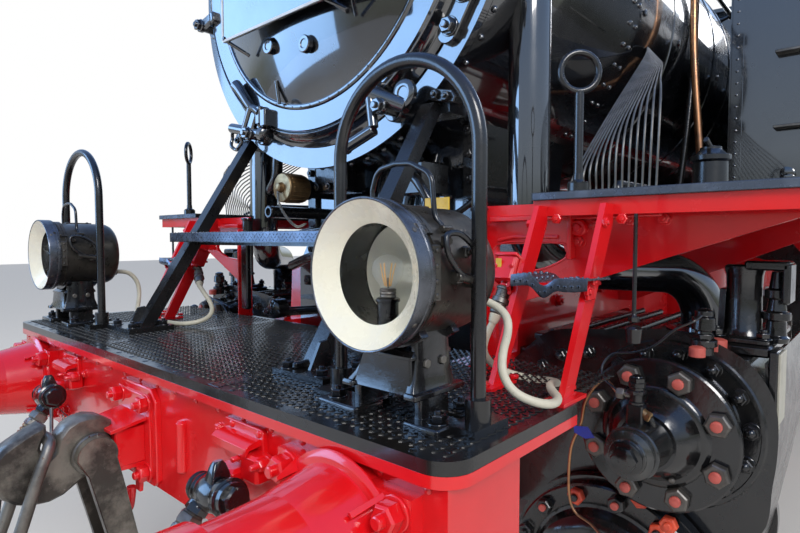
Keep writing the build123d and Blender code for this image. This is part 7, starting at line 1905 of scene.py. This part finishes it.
for name, side in SIDES.items():
    turn = math.radians(CRANK_DEG[side])
    rod = Solid(f"coupling_rod_cups_{name}", STEEL, f"coupling_rod_{name}")
    for x in AXLE_X.values():
        px, pz = crank_place(x, turn)
        rod.lathe((px, side * COUPLING_ROD_Y, pz + 108), Z,
                  [(0, 24), (8, 22), (12, 17), (30, 17), (34, 20), (42, 20), (46, 8)], 24)
        rod.lathe((px, side * 923, pz), Y * side, [(-2, 84), (3, 82), (3, 66), (-2, 64)], 48, closed=True)
        for dx in (-92, 92):
            rod.nut((px + dx, side * 923, pz), Y * side, 20, 6, 0.2)
    rod.finish(slot="machined_steel")

    main = Solid(f"main_rod_details_{name}", STEEL)
    big = crank_place(AXLE_X["driven"], turn)
    small_x = big[0] + math.sqrt(MAIN_ROD_LENGTH ** 2 - (AXLE_Z - big[1]) ** 2)
    slope = math.atan2(AXLE_Z - big[1], small_x - big[0])
    u = Vector((math.cos(slope), 0, math.sin(slope)))
    v = Vector((-math.sin(slope), 0, math.cos(slope)))
    middle = Vector((big[0], side * MAIN_ROD_Y, big[1]))
    for s in (-118, 118):
        for t in (-96, 96):
            main.nut(middle + u * s + v * t, Y * side, 30, 6, 0.3)
    main.lathe(middle + v * 130 - Y * side * 38, v,
               [(0, 26), (8, 24), (12, 18), (34, 18), (38, 22), (46, 22), (50, 8)], 24)
    main.block(middle + u * 150 - Y * side * 38, (26, 60, 190), u=u, v=Y, edge=3)
    main.nut((small_x, side * 1062, AXLE_Z), Y * side, 56, 14, 0.2)
    main.lathe((small_x - 60, side * 1000, 788), Z, [(0, 20), (30, 20), (34, 14)], 20)
    for x in (1160, 1700, 2200, 2400):
        main.nut((x, side * 1000, 756), Z, 34, 14, 0.3, stud=5)
    for z in (1090, 850, 1330):
        main.nut((1010, side * 1182, z), Y * side, 34, 12, 0.2)
    for x, z in ((2080, 1180), (2080, 1090), (2080, 445)):
        main.nut((x, side * 1162, z), Y * side, 34, 12, 0.4, stud=5)
    ecc = crank_place(AXLE_X["driven"], turn + math.pi / 2, 165)
    main.nut((ecc[0], side * 1160, ecc[1]), Y * side, 56, 12, 0.2, stud=6)
    main.nut((1010, side * 1160, 790), Y * side, 50, 12, 0.2, stud=6)
    for s in (-46, 46):
        main.nut((big[0] + s, side * 1085, big[1]), Y * side, 26, 12, 0.3, stud=4)
    main.finish(slot="machined_steel")

    brakes = Solid(f"brake_bolts_{name}", CAST_BLACK)
    for x in AXLE_X.values():
        hanger = x - 632
        for z in (890, 578, 430):
            brakes.nut((hanger, side * 782, z), Y * side, 36, 14, 0.3, stud=6)
        for z in (520, 636):
            brakes.nut((hanger + 40, side * 804, z), Y * side, 24, 10, 0.2)
        for end in (-1, 1):
            for y, z, across in ((630, 400, 30), (640, 780, 34)):
                brakes.nut((x + end * 415, side * y, z), Y * side, across, 12, 0.2, stud=5)
        brakes.box((x - 52, side * 548, 296), (x + 52, side * 652, 392), edge=4)
        brakes.tube(smooth([(hanger - 30, side * 700, 860), (hanger - 34, side * 740, 700),
                            (hanger + 60, side * 752, 500), (hanger + 90, side * 752, 300)], 6), 14, 12)
    brakes.finish(bevel=0.5, slot="cast_iron")

# Pull rods of the brake gear with their nuts
stays = Solid("brake_pull_rods", DULL_STEEL)
for side in (1, -1):
    stays.rod((1110, side * 300, 430), (-2050, side * 300, 430), 17, 16)
    for x in (1090, 870, -480, -700, -2040):
        stays.lathe((x, side * 300, 430), X, [(-30, 26), (30, 26), (34, 20)], 20)
stays.finish(slot="machined_steel")


# World: a sky with a bright horizon for reflections, an even pale light, and white behind the object
GROUND_COLOUR = (0.20, 0.19, 0.17)
ZENITH_COLOUR = (0.16, 0.34, 0.85)
SKY_STOPS = ((0.46, (0.24, 0.23, 0.20)), (0.52, (0.30, 0.33, 0.27)), (0.56, (0.66, 0.76, 0.88)),
             (0.72, (0.36, 0.58, 1.0)))
EVEN_LIGHT = (0.74, 0.76, 0.80)
world = bpy.data.worlds.new("world")
bpy.context.scene.world = world
world.use_nodes = True
sky = world.node_tree
join = sky.links.new
background = sky.nodes["Background"]
path =  sky.nodes.new("ShaderNodeLightPath")
direction = sky.nodes.new("ShaderNodeTexCoord")
split = sky.nodes.new("ShaderNodeSeparateXYZ")
join(direction.outputs["Generated"], split.inputs["Vector"])
up_share = sky.nodes.new("ShaderNodeMapRange")
up_share.inputs["From Min"].default_value = -1
join(split.outputs["Z"], up_share.inputs["Value"])
height = sky.nodes.new("ShaderNodeValToRGB")
stops = height.color_ramp.elements
stops[0].color = (*GROUND_COLOUR, 1)
stops[1].color = (*ZENITH_COLOUR, 1)
for place, colour in SKY_STOPS:
    stops.new(place).color = (*colour, 1)
join(up_share.outputs["Result"], height.inputs["Fac"])
white = sky.nodes.new("ShaderNodeMixRGB")
white.inputs["Color2"].default_value = (1, 1, 1, 1)
seen = sky.nodes.new("ShaderNodeMath")
seen.operation = "MAXIMUM"
join(path.outputs["Is Camera Ray"], seen.inputs[0])
join(path.outputs["Is Transmission Ray"], seen.inputs[1])
join(seen.outputs["Value"], white.inputs["Fac"])
soft = sky.nodes.new("ShaderNodeMixRGB")
soft.inputs["Color1"].default_value = (*EVEN_LIGHT, 1)
join(path.outputs["Is Glossy Ray"], soft.inputs["Fac"])
join(height.outputs["Color"], soft.inputs["Color2"])
join(soft.outputs["Color"], white.inputs["Color1"])
join(white.outputs["Color"], background.inputs["Color"])

FLOOR_HALF = 40
floor_mesh = bpy.data.meshes.new("floor")
floor_corners = [(x * FLOOR_HALF, y * FLOOR_HALF, 0) for x, y in ((-1, -1), (1, -1), (1, 1), (-1, 1))]
floor_mesh.from_pydata(floor_corners, [], [(0, 1, 2, 3)])
floor_material, _, floor_shader, _ = node_tree("pale_floor")
set_inputs(floor_shader, {"Base Color": (0.62, 0.61, 0.59, 1), "Roughness": 0.8})
floor_mesh.materials.append(floor_material)
put_in_scene("floor", floor_mesh)


def area_light(name, place, target, size, power, colour=(1, 1, 1)):
    data = bpy.data.lights.new(name, "AREA")
    data.size = size
    data.energy = power
    data.color = colour
    light = put_in_scene(name, data)
    aim(light, place, Vector(target) - Vector(place))
    return light


area_light("key", (8, 7, 7), (3.5, 0, 1.5), 3, 520, (1, 0.97, 0.93))
area_light("fill", (9, -6, 6), (3, 0, 1.5), 4, 160).visible_glossy = False
area_light("blue_panel", (9.5, -6, 3.6), (3.5, 0, 2.2), 5, 420, (0.30, 0.56, 1.0)).visible_diffuse = False
area_light("rear", (-10, 3, 8), (-2, 0, 2), 5, 400)
